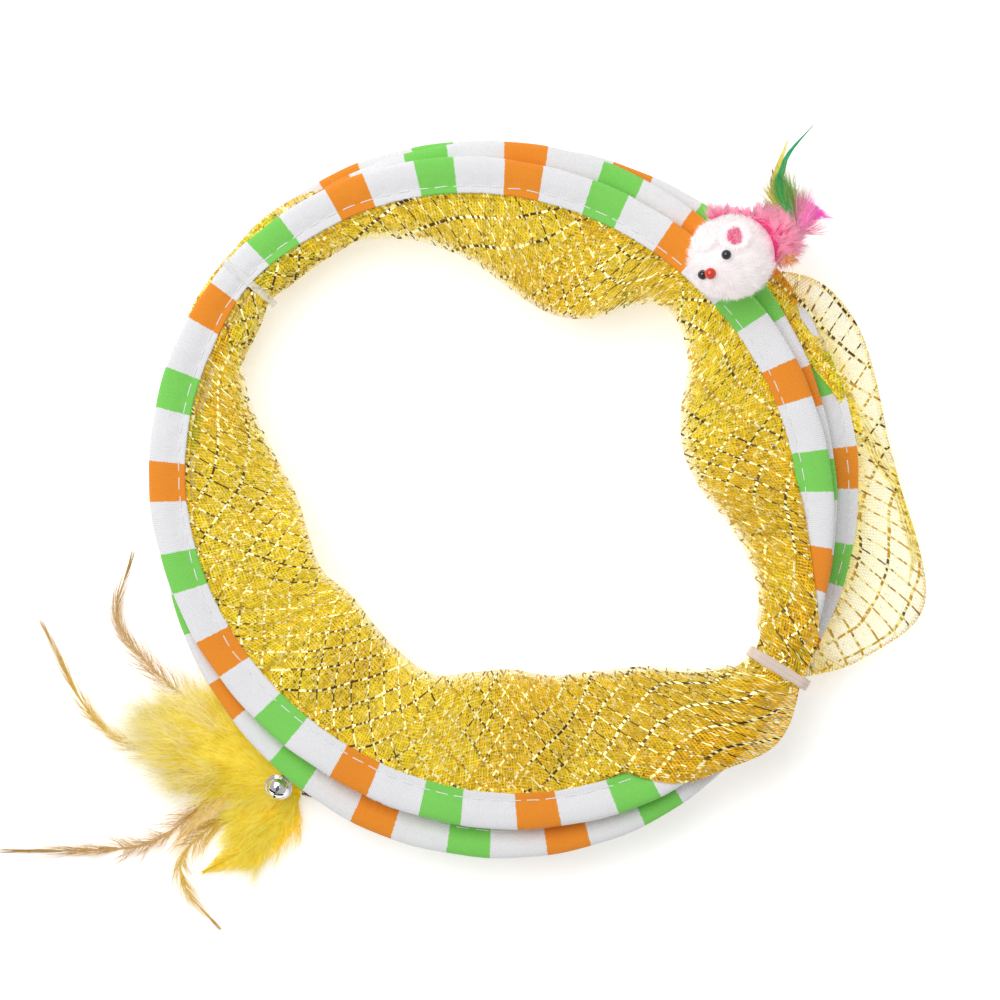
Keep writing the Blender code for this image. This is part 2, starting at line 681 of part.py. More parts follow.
def net_section(section, angle):
    """Outline, in (distance, height), of one gauze section: hem, lower sheet, fold, upper sheet, edge."""
    lip = net_reach(section, angle, -1)
    lip_above = net_reach(section + 1, angle, -1)
    base = net_height(section, angle)
    fold = fold_distance(section, angle, min(lip, lip_above))
    depth = min(1.0, (lip - fold) / DEEP_FOLD)
    wave = BILLOW * depth * away_from_ties(angle) * gather_wave(angle)
    low = fold + 0.52 * (lip - fold)
    high = fold + 0.55 * (lip_above - fold)
    fold_up = base + 0.42 * HOOP_PITCH + 0.7 * wave
    under_flange = base + HOOP_PITCH - FLANGE_DROP
    line = [
        (lip + HEM_IN_SLIT * slack(angle), base),
        (lip - EDGE_ROOM, base),
        (low, base + wave),
        (fold + 0.7 * FOLD_RISE, fold_up - FOLD_RISE),
        (fold + 0.7 * FOLD_RISE, fold_up + FOLD_RISE),
        (high, under_flange + wave),
    ]
    turn_up = lip_above - 1.6 * EDGE_ROOM
    end = lip_above + HEM_IN_SLIT * slack(angle)
    if section == HOOP_COUNT - 2 and by_angle(OVER_RAMP_SHARES, angle) is not None:
        up = under_flange + by_angle(OVER_RAMP_SHARES, angle) * (FLANGE_DROP + OVER_RISE)
        line.append((turn_up, up))
        over = by_angle(OVER_LOBE_SHARES, angle)
        if over is not None and over * HOOP_RADIUS > lip_above + EDGE_ROOM:
            line += run_over(angle, over * HOOP_RADIUS)
        else:
            line += [(turn_up + share * EDGE_ROOM, up) for share in (0.35, 0.7, 1.0)]
        return offset_line(line, SHEET / 2.0)
    line.append((turn_up, under_flange))
    if section not in OUTER_SHARES and section < HOOP_COUNT - 2:
        line.append((end, under_flange))
        return offset_line(line, SHEET / 2.0)
    if section in OUTER_SHARES:
        reach = by_angle(OUTER_SHARES[section], angle)
        if reach is not None:
            end = max(end, reach * HOOP_RADIUS)
    line += run_under(section, angle, turn_up, end)
    return offset_line(line, SHEET / 2.0)


def net_angles(section):
    """Stations round a gauze section: closer together at the ties, and where its lobe begins and ends."""
    start, end = CLOSE_STATIONS.get(section, (0.0, 0.0))
    fine = np.arange(start, end, CLOSE_STEP)
    rest = np.linspace(end, start + 360.0, round((360.0 - end + start) / WIDE_STEP), endpoint=False)
    stations = np.concatenate([fine, rest])
    tied = []
    for tie in TIE_ANGLES:
        middle = math.degrees(tie)
        away = np.abs((stations - middle + 180.0) % 360.0 - 180.0)
        stations = stations[away > TIED_STATIONS[-1] + CLOSE_STEP / 3.0]
        tied += [middle + step for step in TIED_STATIONS]
    return [math.radians(a) for a in sorted(np.concatenate([stations, tied]) % 360.0)]


def build_net(section):
    """Make one gauze section as a single folded sheet with its main gathers."""
    middle = net_middle()
    rings = []
    for angle in net_angles(section):
        outline = net_section(section, angle)
        rings.append([
            (middle.x + reach * math.cos(angle), middle.y + reach * math.sin(angle), up)
            for reach, up in outline
        ])
    add_object(f"net_{section + 1}", sheet_loft(rings), (material("gold_gauze", GOLD, 0.45, 0.3),))


def build_tie(number, angle):
    """Make one elastic tie: a flat band closed round all the hoops, a rounded frame seen from its side."""
    reaches_in = [net_reach(i, angle, -1) for i in range(HOOP_COUNT)]
    reaches_out = [net_reach(i, angle, 1) for i in range(HOOP_COUNT)]
    near = min(reaches_in) - TIE_REACH_IN
    far = max(reaches_out) + TIE_REACH_OUT[number - 1]
    floor = hoop_height(0, angle) - CASING_HEIGHT / 2.0 - GAP
    roof = hoop_height(HOOP_COUNT - 1, angle) + CASING_HEIGHT / 2.0 + 2.0 * GAP + 3.0 * SHEET
    inner = []
    outer = []
    corners = [
        (far - TIE_BEND, floor + TIE_BEND, -90.0), (far - TIE_BEND, roof - TIE_BEND, 0.0),
        (near + TIE_BEND, roof - TIE_BEND, 90.0), (near + TIE_BEND, floor + TIE_BEND, 180.0),
    ]
    for reach, up, start in corners:
        for step in range(4):
            turn = math.radians(start + 30.0 * step)
            inner.append((reach + TIE_BEND * math.cos(turn), up + TIE_BEND * math.sin(turn)))
            wide = TIE_BEND + TIE_THICKNESS
            outer.append((reach + wide * math.cos(turn), up + wide * math.sin(turn)))
    out_dir = Vector((math.cos(angle), math.sin(angle), 0.0))
    side_dir = Vector((-math.sin(angle), math.cos(angle), 0.0))
    middle = net_middle()

    def place(point, side):
        return middle + out_dir * point[0] + side_dir * side + Vector((0.0, 0.0, point[1]))

    half = TIE_WIDTH / 2.0
    rings = [
        [place(i, -half), place(o, -half), place(o, half), place(i, half)]
        for i, o in zip(inner, outer)
    ]
    add_object(f"tie_{number}", loft(rings, True), (material("elastic_tie", ELASTIC, 0.5),))


def ellipsoid(centre, sizes, turn, rings, sides, grow=None, extra=0.0):
    """Make a closed ellipsoid, turned about Z; grow swells it by direction, extra is added all round."""
    bm = bmesh.new()
    bmesh.ops.create_uvsphere(bm, u_segments=sides, v_segments=rings, radius=1.0)
    spin = Matrix.Rotation(turn, 3, "Z")
    for vert in bm.verts:
        swell = 1.0 + (grow(vert.co) if grow else 0.0)
        sized = Vector([vert.co[i] * (sizes[i] / 2.0 * swell + extra) for i in range(3)])
        vert.co = centre + spin @ sized
    return bm


def mouse_hang():
    """Point on the flat top of the top casing where the mouse's elastic knot sits."""
    flat_middle = (BULGE_SHARE + SHOULDER_SHARE) / 2.0 * CASING_WIDTH
    return hoop_point(HOOP_COUNT - 1, MOUSE_ANGLE, flat_middle, CASING_HEIGHT / 2.0)


def head_place(shares):
    """Plan offset on the mouse, given in shares of the length of its head."""
    return Vector((shares[0], shares[1], 0.0)) * HEAD_LENGTH


def head_centre():
    """Middle of the head, so low that its belly is pressed flat on the casing."""
    rise = GAP + HEAD_HEIGHT / 2.0 - HEAD_SINK
    return mouse_hang() + head_place(HEAD_PLACE_SHARES) + Vector((0.0, 0.0, rise))


def back_centre():
    """Middle of the back, beside the head and outside the hoop."""
    middle = head_centre() + head_place(BACK_PLACE_SHARES)
    middle.z = mouse_hang().z + BACK_LIFT + BACK_HEIGHT / 2.0
    return middle


def snout(direction):
    """How much the head swells towards its nose."""
    towards = direction.normalized().dot(Vector((0.8, 0.0, 0.6)))
    return SNOUT_GROWTH * max(0.0, towards) ** 4


def head_shape(extra=0.0):
    """The head: a plump egg that tapers forward into a short snout."""
    return ellipsoid(head_centre(), (HEAD_LENGTH, HEAD_WIDTH, HEAD_HEIGHT), HEAD_TURN, 10, 16, snout, extra)


def cut(obj, cutters):
    """Subtract closed cutters from an object, one after the other, and apply the result."""
    for number, bm in enumerate(cutters):
        mesh = bpy.data.meshes.new("cutter")
        face_outward(bm)
        bm.to_mesh(mesh)
        bm.free()
        tool = bpy.data.objects.new(f"cutter_{number}", mesh)
        tool.hide_render = True
        tool.display_type = "WIRE"
        bpy.context.collection.objects.link(tool)
        change = obj.modifiers.new("cut", "BOOLEAN")
        change.operation = "DIFFERENCE"
        change.solver = "EXACT"
        change.object = tool
        bpy.context.view_layer.update()
        graph = bpy.context.evaluated_depsgraph_get()
        result = bpy.data.meshes.new_from_object(obj.evaluated_get(graph))
        obj.modifiers.clear()
        obj.data = result
        bpy.data.objects.remove(tool, do_unlink=True)


def surface_above(shares):
    """Point of the head's upper surface over a place given in shares, and the surface's outward direction."""
    spin = Matrix.Rotation(-HEAD_TURN, 3, "Z")
    half = (HEAD_LENGTH / 2.0, HEAD_WIDTH / 2.0, HEAD_HEIGHT / 2.0)
    local = spin @ head_place(shares)
    across = local.x / half[0]
    side = local.y / half[1]
    rise = math.sqrt(max(0.03, 1.0 - across * across - side * side))
    normal = Vector((across / half[0], side / half[1], rise / half[2])).normalized()
    swell = 1.0 + snout(Vector((across, side, rise)))
    point = Vector((local.x, local.y, rise * half[2] * swell))
    turned = Matrix.Rotation(HEAD_TURN, 3, "Z")
    return head_centre() + turned @ point, turned @ normal


def bead(shares, radius, extra=0.0):
    """A round bead sunk to a third of its depth in the fur of the head."""
    point, normal = surface_above(shares)
    bm = bmesh.new()
    bmesh.ops.create_uvsphere(bm, u_segments=10, v_segments=6, radius=radius + extra)
    bmesh.ops.translate(bm, verts=bm.verts, vec=point + normal * radius * 0.3)
    return bm


def ear(shares, extra=0.0):
    """A small cupped ear, a thick oval disc standing a little off the head."""
    point, normal = surface_above(shares)
    bm = bmesh.new()
    bmesh.ops.create_uvsphere(bm, u_segments=12, v_segments=6, radius=1.0)
    back = Vector((math.cos(BACK_TURN), math.sin(BACK_TURN), 0.0))
    facing = (normal * 0.9 + back * -0.1).normalized()
    side = facing.cross(back).normalized()
    along = facing.cross(side)
    frame = Matrix((side, along, facing)).transposed()
    half = EAR_THICKNESS / 2.0
    sizes = (EAR_WIDTH / 2.0 + extra, EAR_LENGTH / 2.0 + extra, half + extra)
    for vert in bm.verts:
        co = vert.co.copy()
        cup = 0.45 * (co.x * co.x + co.y * co.y)
        shaped = Vector((co.x * sizes[0], co.y * sizes[1], co.z * sizes[2] + cup * half))
        vert.co = point + normal * half * 0.4 + frame @ shaped
    return bm


def blade(feather, root):
    """Loft a feather from its root: a diamond section along its route, as wide as its width shares say."""
    length = feather["length"]
    offsets = np.vstack([np.zeros(3), feather["route_shares"]]) * length
    count = LONG_FEATHER_POINTS if length > LONG_FEATHER else FEATHER_POINTS
    route = smooth_route(offsets + np.array(root), count)
    steps = np.linspace(0.0, 1.0, count)
    keys = np.linspace(0.0, 1.0, len(feather["width_shares"]))
    half_widths = np.interp(steps, keys, feather["width_shares"]) * feather["width"]
    thin = FEATHER_THICKNESS * (1.0 - 0.6 * steps)
    along = np.gradient(route, axis=0)
    side = np.stack([-along[:, 1], along[:, 0], np.zeros(count)], axis=1)
    side /= np.linalg.norm(side, axis=1)[:, None]
    up = np.array([0.0, 0.0, 1.0])
    rings = []
    for place, across, width, thick in zip(route, side, half_widths, thin):
        rings.append([
            place + across * width, place + up * thick / 2.0,
            place - across * width, place - up * thick / 2.0,
        ])
    return loft(rings, False)


def tail_root(aim):
    """Root of a tail feather: just off the back's surface, in a direction round and up in degrees."""
    around = math.radians(aim[0])
    up = math.radians(aim[1])
    direction = Vector((math.cos(up) * math.cos(around), math.cos(up) * math.sin(around), math.sin(up)))
    local = Matrix.Rotation(-BACK_TURN, 3, "Z") @ direction
    halves = (BACK_LENGTH / 2.0, BACK_WIDTH / 2.0, BACK_HEIGHT / 2.0)
    reach = 1.0 / math.sqrt(sum((local[i] / halves[i]) ** 2 for i in range(3)))
    return back_centre() + direction * (reach + TAIL_SEAT)


def build_mouse():
    """Make the plush mouse: head, back, ears, eyes, nose, its tail of feathers and its elastic knot."""
    hang = pivot("mouse_pivot", mouse_hang())
    white = (material("white_fur", FUR_WHITE, 0.95),)
    pink = (material("pink_fur", FUR_PINK, 0.95),)
    head = add_object("mouse_head", head_shape(), white, hang)
    beads = [(NEAR_EYE_SHARES, EYE_RADIUS), (FAR_EYE_SHARES, EYE_RADIUS), (NOSE_SHARES, NOSE_RADIUS)]
    cut(head, [bead(shares, radius, GAP) for shares, radius in beads])
    cut(head, [ear(shares, GAP) for shares in (NEAR_EAR_SHARES, FAR_EAR_SHARES)])
    cut(head, [flat_belly(), knot_ball(GAP)])
    back_sizes = (BACK_LENGTH, BACK_WIDTH, BACK_HEIGHT)
    back = add_object("mouse_back", ellipsoid(back_centre(), back_sizes, BACK_TURN, 9, 14), pink, hang)
    cut(back, [head_shape(GAP)])
    cut(back, [ear(NEAR_EAR_SHARES, GAP)])
    black = (material("black_bead", BLACK_BEAD, 0.15),)
    red = (material("red_bead", RED_BEAD, 0.2),)
    add_object("mouse_eye_near", bead(NEAR_EYE_SHARES, EYE_RADIUS), black, hang)
    add_object("mouse_eye_far", bead(FAR_EYE_SHARES, EYE_RADIUS), black, hang)
    add_object("mouse_nose", bead(NOSE_SHARES, NOSE_RADIUS), red, hang)
    add_object("mouse_ear_near", ear(NEAR_EAR_SHARES), pink, hang)
    add_object("mouse_ear_far", ear(FAR_EAR_SHARES), white, hang)
    for feather in TAIL_FEATHERS:
        dye = (material(feather["name"], feather["colour"], 0.6),)
        add_object(feather["name"], blade(feather, tail_root(feather["aim"])), dye, hang)
    add_object("mouse_knot", knot_ball(), (material("elastic_thread", ELASTIC_THREAD, 0.6),), hang)


def knot_ball(extra=0.0):
    """The round elastic knot under the mouse's belly, just above the casing."""
    ball = bmesh.new()
    bmesh.ops.create_uvsphere(ball, u_segments=10, v_segments=6, radius=KNOT_RADIUS + extra)
    bmesh.ops.translate(ball, verts=ball.verts, vec=mouse_hang() + Vector((0.0, 0.0, KNOT_RADIUS + GAP)))
    return ball


def flat_belly():
    """A slab that cuts off what the head would reach below its seat on the casing."""
    depth = 2.0 * HEAD_SINK
    middle = head_centre()
    middle.z = mouse_hang().z + GAP - depth / 2.0
    return box(Vector((2.0 * HEAD_LENGTH, 2.0 * HEAD_LENGTH, depth)), Matrix.Translation(middle))


def lower_edge(angle):
    """Outermost reach, from the net's middle, of the three lower hoops' casings."""
    return max(net_reach(index, angle, 1) for index in range(3))


def press_out(bm, clearance):
    """Move every vertex that would lie inside the lower hoops out to their edge."""
    middle = net_middle()
    for vert in bm.verts:
        across = vert.co.x - middle.x
        up = vert.co.y - middle.y
        angle = math.atan2(up, across)
        least = lower_edge(angle) + clearance
        if math.hypot(across, up) < least:
            vert.co.x = middle.x + least * math.cos(angle)
            vert.co.y = middle.y + least * math.sin(angle)


def tuft_hang():
    """Point outside the bottom hoop where the tuft turns on its tether."""
    reach = net_reach(0, TUFT_ANGLE, 1) + TUFT_REACH
    place = net_middle() + Vector((math.cos(TUFT_ANGLE), math.sin(TUFT_ANGLE), 0.0)) * reach
    place.z = TUFT_HEIGHT
    return place


def binding_direction():
    """Direction in which the quills leave the binding."""
    return Vector((math.cos(BINDING_HEADING), math.sin(BINDING_HEADING), 0.0))


def quill_end():
    """Point on the floor under the far end of the binding, from which the feathers are placed."""
    end = tuft_hang() + binding_direction() * BINDING_LENGTH * (0.5 + BINDING_SHIFT_SHARE)
    end.z = 0.0
    return end


def build_plume(parent):
    """Loft the fluffy plume as one swelling, flattened body that leans against the lower hoops."""
    sizes = np.array([PLUME_LENGTH, PLUME_LENGTH, PLUME_WIDTH, PLUME_HEIGHT, PLUME_HEIGHT])
    stations = np.array(PLUME_SHARES) * sizes
    start = quill_end() + binding_direction() * PLUME_START
    stations += np.array([start.x, start.y, 0.0, PLUME_LIFT, PLUME_LIFT])
    along = np.gradient(stations[:, :2], axis=0)
    side = np.stack([-along[:, 1], along[:, 0]], axis=1)
    side /= np.linalg.norm(side, axis=1)[:, None]
    rings = []
    for station, across in zip(stations, side):
        x, y, half, bottom, top = station
        ring = []
        for i in range(PLUME_SIDES):
            turn = 2.0 * math.pi * i / PLUME_SIDES
            out = half * math.cos(turn)
            up = (bottom + top) / 2.0 + (top - bottom) / 2.0 * math.sin(turn)
            ring.append((x + across[0] * out, y + across[1] * out, up))
        rings.append(ring)
    bm = loft(rings, False)
    press_out(bm, PLUME_CLEARANCE)
    add_object("tuft_plume", bm, (material("yellow_down", PLUME_YELLOW, 0.9),), parent)


def build_binding(parent):
    """Make the wound thread that gathers the quills, a short rod with a ridge for each turn."""
    along = binding_direction()
    side = Vector((-along.y, along.x, 0.0))
    up = Vector((0.0, 0.0, 1.0))
    start = tuft_hang() + along * BINDING_LENGTH * (BINDING_SHIFT_SHARE - 0.5)
    rings = []
    steps = 2 * BINDING_TURNS + 1
    for step in range(steps):
        radius = BINDING_RADIUS * (1.0 if step % 2 else BINDING_GROOVE_SHARE)
        middle = start + along * BINDING_LENGTH * step / (steps - 1)
        turns = [2.0 * math.pi * i / 10 for i in range(10)]
        rings.append([middle + side * radius * math.cos(t) + up * radius * math.sin(t) for t in turns])
    add_object("tuft_binding", loft(rings, False), (material("dark_thread", DARK_THREAD, 0.8),), parent)


def tube(name, route, radius, sides, look, parent=None):
    """Sweep a round thread along a route in space."""
    line = np.array(route)
    along = np.gradient(line, axis=0)
    rings = []
    for place, direction in zip(line, along):
        forward = Vector(direction).normalized()
        side = forward.orthogonal().normalized() if abs(forward.z) > 0.9 else forward.cross(Vector((0, 0, 1)))
        side.normalize()
        over = side.cross(forward)
        turns = [2.0 * math.pi * i / sides for i in range(sides)]
        rings.append([Vector(place) + (side * math.cos(t) + over * math.sin(t)) * radius for t in turns])
    return add_object(name, loft(rings, False), (look,), parent)


def half_shell(upper, inner, outer, rim, turn):
    """Revolve one bell half: a hemispherical wall that ends in a flat rim, open at the equator."""
    floor = GAP / 2.0
    angles = [math.radians(90.0 * i / BELL_STEPS) for i in range(BELL_STEPS + 1)]
    outside = [(outer * math.sin(a), outer * math.cos(a)) for a in angles]
    outside = [point for point in outside if point[1] > BELL_RIM_THICKNESS]
    inside = [(inner * math.sin(a), inner * math.cos(a)) for a in angles]
    inside[-1] = (inner, floor)
    outline = outside + [(outer, BELL_RIM_THICKNESS), (rim, BELL_RIM_THICKNESS), (rim, floor)] + inside[::-1]
    bm = bmesh.new()
    rows = []
    for reach, up in outline:
        height = up if upper else -up
        if reach == 0.0:
            rows.append([bm.verts.new((0.0, 0.0, height))])
            continue
        spins = [2.0 * math.pi * i / BELL_SIDES for i in range(BELL_SIDES)]
        around = [(reach * math.cos(spin), reach * math.sin(spin), height) for spin in spins]
        rows.append([bm.verts.new(point) for point in around])
    for first, second in zip(rows, rows[1:]):
        for i in range(BELL_SIDES):
            k = (i + 1) % BELL_SIDES
            if len(first) == 1:
                bm.faces.new((first[0], second[i], second[k]))
            elif len(second) == 1:
                bm.faces.new((first[i], second[0], first[k]))
            else:
                bm.faces.new((first[i], second[i], second[k], first[k]))
    bmesh.ops.transform(bm, matrix=turn, verts=bm.verts)
    return bm


def box(size, turn):
    """A closed box of the given sizes, turned and placed by a matrix."""
    bm = bmesh.new()
    bmesh.ops.create_cube(bm, size=1.0)
    bmesh.ops.scale(bm, vec=size, verts=bm.verts)
    bmesh.ops.transform(bm, matrix=turn, verts=bm.verts)
    return bm


def bell_centre():
    """Middle of the bell, so high that its loop stands just over the plume."""
    middle = quill_end() + Vector((BELL_PLACE_SHARES[0], BELL_PLACE_SHARES[1], 0.0)) * PLUME_LENGTH
    loop_end = BELL_RADIUS + GAP + 2.0 * (BELL_LOOP_RADIUS + BELL_LOOP_WIRE)
    middle.z = PLUME_LIFT + BELL_SEAT_SHARE * PLUME_HEIGHT + BELL_STAND + math.cos(BELL_TILT) * loop_end
    return middle


def build_bell(parent):
    """Make the jingle bell: two rimmed half shells, the crossed slots, the loop and the loose ball."""
    middle = bell_centre()
    lean = Vector((math.cos(BELL_HEADING), math.sin(BELL_HEADING), 0.0))
    axis = (Vector((0.0, 0.0, 1.0)) * math.cos(BELL_TILT) - lean * math.sin(BELL_TILT)).normalized()
    turn = Matrix.Translation(middle) @ axis.to_track_quat("Z", "Y").to_matrix().to_4x4()
    chrome = material("chrome_shell", CHROME, 0.08, 1.0)
    hang = pivot("bell_pivot", middle + lean * (BELL_RADIUS + BELL_HANG))
    hang.parent = parent
    hang.matrix_parent_inverse = parent.matrix_world.inverted()
    bpy.context.view_layer.update()
    inner = BELL_RADIUS - BELL_WALL
    rim = BELL_RADIUS + BELL_RIM
    slotted_shell = half_shell(True, inner, BELL_RADIUS, rim, turn)
    slotted = add_object("bell_slotted_half", slotted_shell, (chrome,), hang)
    depth = BELL_RADIUS * BELL_SLOT_DEPTH_SHARE
    lift = Matrix.Translation((0.0, 0.0, BELL_RADIUS))
    quarter = Matrix.Rotation(math.radians(90.0), 4, "Z")
    size = Vector((BELL_SLOT_LENGTH, BELL_SLOT_WIDTH, 2.0 * depth))
    cut(slotted, [box(size, turn @ lift), box(size, turn @ lift @ quarter)])
    add_object("bell_loop_half", half_shell(False, inner, BELL_RADIUS, rim, turn), (chrome,), hang)
    build_bell_loop(turn, chrome, hang)
    ball = bmesh.new()
    bmesh.ops.create_icosphere(ball, subdivisions=2, radius=BELL_BALL_RADIUS)
    drop = inner - BELL_BALL_RADIUS - 2.0 * GAP
    bmesh.ops.translate(ball, verts=ball.verts, vec=middle - Vector((0.0, 0.0, drop)))
    add_object("bell_ball", ball, (material("bell_ball", STEEL, 0.4, 1.0),), hang)


def build_bell_loop(turn, look, parent):
    """Make the bell's wire loop, a small ring that stands on the closed half's pole."""
    rings = []
    for step in range(BELL_LOOP_STEPS):
        spin = 2.0 * math.pi * step / BELL_LOOP_STEPS
        out = Vector((math.cos(spin), 0.0, math.sin(spin)))
        ring = []
        for i in range(WIRE_SIDES):
            t = 2.0 * math.pi * i / WIRE_SIDES
            local = out * (BELL_LOOP_RADIUS + BELL_LOOP_WIRE * math.cos(t))
            local += Vector((0.0, BELL_LOOP_WIRE * math.sin(t), 0.0))
            local.z -= BELL_RADIUS + BELL_LOOP_RADIUS + BELL_LOOP_WIRE + GAP
            ring.append(turn @ local)
        rings.append(ring)
    add_object("bell_loop", loft(rings, True), (look,), parent)


def build_tether():
    """Make the thread that ties the tuft to the bottom hoop."""
    end = tuft_hang()
    out = Vector((math.cos(TUFT_ANGLE), math.sin(TUFT_ANGLE), 0.0))
    start = end - out * (TUFT_REACH - GAP)
    start.z = hoop_height(0, TUFT_ANGLE)
    end = end - out * (BINDING_RADIUS + THREAD_RADIUS + GAP)
    route = [start.lerp(end, step / (THREAD_POINTS - 1)) for step in range(THREAD_POINTS)]
    tube("tuft_tether", route, THREAD_RADIUS, 8, material("dark_thread", DARK_THREAD, 0.8))


def build_tuft():
    """Make the feather tuft tied to the bottom hoop: tether, binding, plume, feathers and bell."""
    hang = pivot("tuft_pivot", tuft_hang())
    build_tether()
    build_binding(hang)
    build_plume(hang)
    for feather in TUFT_FEATHERS:
        root = quill_end() + Vector(feather["root_shares"]) * PLUME_LENGTH
        root.z += QUILL_HEIGHT
        look = (material(feather["name"], feather["colour"], 0.75),)
        add_object(feather["name"], blade(feather, root), look, hang)
    build_bell(hang)


def main():
    """Build the whole tunnel."""
    clear_scene()
    for index in range(HOOP_COUNT):
        build_hoop(index)
    for section in range(HOOP_COUNT - 1):
        build_net(section)
    for number, angle in enumerate(TIE_ANGLES, start=1):
        build_tie(number, angle)
    build_mouse()
    build_tuft()


main()
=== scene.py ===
"""Collapsible cat tunnel, pressed flat and tied, with a plush mouse and a feather tuft.

The file is laid out as a Blender add-on and is run as a script. Lengths are in metres, +Z is up and the
floor is at Z = 0. Every new piece is a surface worked out on a grid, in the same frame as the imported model.
"""

import math

import bpy
import numpy as np
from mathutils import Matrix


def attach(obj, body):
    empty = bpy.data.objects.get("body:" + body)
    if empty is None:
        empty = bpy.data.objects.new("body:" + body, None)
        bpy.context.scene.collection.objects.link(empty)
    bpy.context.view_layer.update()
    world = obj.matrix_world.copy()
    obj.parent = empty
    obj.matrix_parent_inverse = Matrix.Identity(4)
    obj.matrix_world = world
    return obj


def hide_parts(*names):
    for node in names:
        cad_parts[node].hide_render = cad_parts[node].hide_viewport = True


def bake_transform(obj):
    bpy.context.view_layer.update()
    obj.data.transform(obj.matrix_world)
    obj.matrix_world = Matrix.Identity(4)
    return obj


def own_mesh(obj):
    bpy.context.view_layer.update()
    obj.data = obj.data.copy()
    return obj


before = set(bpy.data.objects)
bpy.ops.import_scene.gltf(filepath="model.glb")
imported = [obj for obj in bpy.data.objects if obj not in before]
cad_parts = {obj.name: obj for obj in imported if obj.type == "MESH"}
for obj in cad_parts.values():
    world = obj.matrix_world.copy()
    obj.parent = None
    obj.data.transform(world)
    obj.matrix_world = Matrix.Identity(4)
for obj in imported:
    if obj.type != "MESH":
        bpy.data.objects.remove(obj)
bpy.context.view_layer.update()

bl_info = {
    "name": "Cat Tunnel Maker",
    "version": (1, 0, 0),
    "blender": (4, 5, 0),
    "location": "View3D > Sidebar > Cat Tunnel",
    "description": "Makes a flat-pressed cat tunnel with striped casings, gold gauze, a mouse and feathers",
    "category": "Add Mesh",
}

MM = 0.001
TURN = 2.0 * math.pi
UP = np.array([0.0, 0.0, 1.0])

# Hoops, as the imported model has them. Shares are of the hoop radius, angles in degrees.
HOOP_RADIUS = 115.0 * MM
HOOP_PITCH = 6.5 * MM
CASING_HALF = 6.5 * MM
CASING_RISE = 2.0 * MM
FLANGE_RISE = 0.95 * MM
FLANGE_WIDTH = 2.2 * MM
BULGE = 1.95 * MM
STRIPES_ROUND = 22
COLOURED_SHARE = 14.0 / 32.3
HOOPS = [
    {"centre_shares": (0.078, 0.113), "radius_share": 0.990, "oval_shares": (0.007, -0.031), "phase": 70.0},
    {"centre_shares": (0.083, 0.148), "radius_share": 1.004, "oval_shares": (0.000, -0.026), "phase": 84.1},
    {"centre_shares": (0.130, 0.130), "radius_share": 1.017, "oval_shares": (0.013, 0.000), "phase": 3.2},
    {"centre_shares": (0.092, 0.089), "radius_share": 1.028, "oval_shares": (-0.029, -0.009), "phase": 85.3},
    {"centre_shares": (0.075, 0.110), "radius_share": 0.994, "oval_shares": (0.010, -0.037), "phase": 82.7},
]
TOP_DRIFT = math.radians(3.2)
TOP_DRIFT_PEAK = math.radians(25.0)
TIE_ANGLES = (math.radians(139.0), math.radians(-31.4))
TIE_LIFT = 1.3 * MM
TIE_LIFT_SPREAD = math.radians(22.0)
# Each tie gathers the inner side of the casings, so that this share of its width is taken up
PINCH_SHARES = (0.25, 0.62)
PINCH_SPREAD = math.radians(16.0)
# The third casing's seam rolls over to the outside between these angles, in degrees, and back
SEAM_OUTSIDE = (-34.0, -28.0, 12.0, 27.0)

# Gauze sections
NET_MIDDLE = (0.075 * HOOP_RADIUS, 0.110 * HOOP_RADIUS)
HEM_IN_SLIT = 2.3 * MM
BILLOW = 1.1 * MM
FOLD_REACH_SHARES = (
    0.657, 0.609, 0.643, 0.748, 0.783, 0.626, 0.587, 0.630, 0.730, 0.826,
    0.896, 0.930, 0.939, 0.835, 0.700, 0.609, 0.583, 0.578, 0.539, 0.548,
    0.570, 0.591, 0.561, 0.552, 0.596, 0.639, 0.722, 0.896, 0.904, 0.796,
)
SHRINK_SHARES = (0.030, 0.043, 0.022, 0.0)
# Edge of the second section where it is pulled out on the right, by degrees
SIDE_LOBE_SHARES = (
    (-36.0, 0.974), (-34.0, 1.080), (-31.5, 1.100), (-30.0, 1.122), (-28.5, 1.177), (-27.0, 1.226),
    (-22.0, 1.296), (-18.0, 1.383), (-14.0, 1.407), (-8.0, 1.352), (0.0, 1.277), (8.0, 1.243),
    (16.0, 1.248), (24.0, 1.261), (30.0, 1.243), (34.0, 1.213), (37.0, 1.148), (40.0, 1.087), (45.0, 0.974),
)
# Edge of the third section where it peeps out beside the upper left tie
EDGE_PEEP_SHARES = (
    (102.0, 0.920), (108.0, 0.974), (116.0, 1.052), (121.0, 1.100), (130.0, 1.117), (136.0, 1.104),
    (142.0, 1.104), (150.0, 1.100), (157.0, 1.043), (164.0, 0.957), (170.0, 0.900),
)
# Edge of the fourth section where it lies over the top hoop
OVER_LOBE_SHARES = (
    (-70.0, 0.880), (-64.0, 0.965), (-60.0, 1.035), (-56.0, 1.090), (-50.0, 1.117), (-42.5, 1.183),
    (-38.6, 1.178), (-34.3, 1.147), (-31.5, 1.117), (-24.0, 1.117), (-20.0, 1.076), (-15.0, 1.033),
    (-8.5, 0.993), (0.0, 0.957), (6.0, 0.930), (12.0, 0.900),
)
OVER_RAMP = ((-77.0, 0.0), (-73.0, 0.0), (-67.0, 1.0), (2.0, 1.0), (8.0, 0.0), (12.0, 0.0))
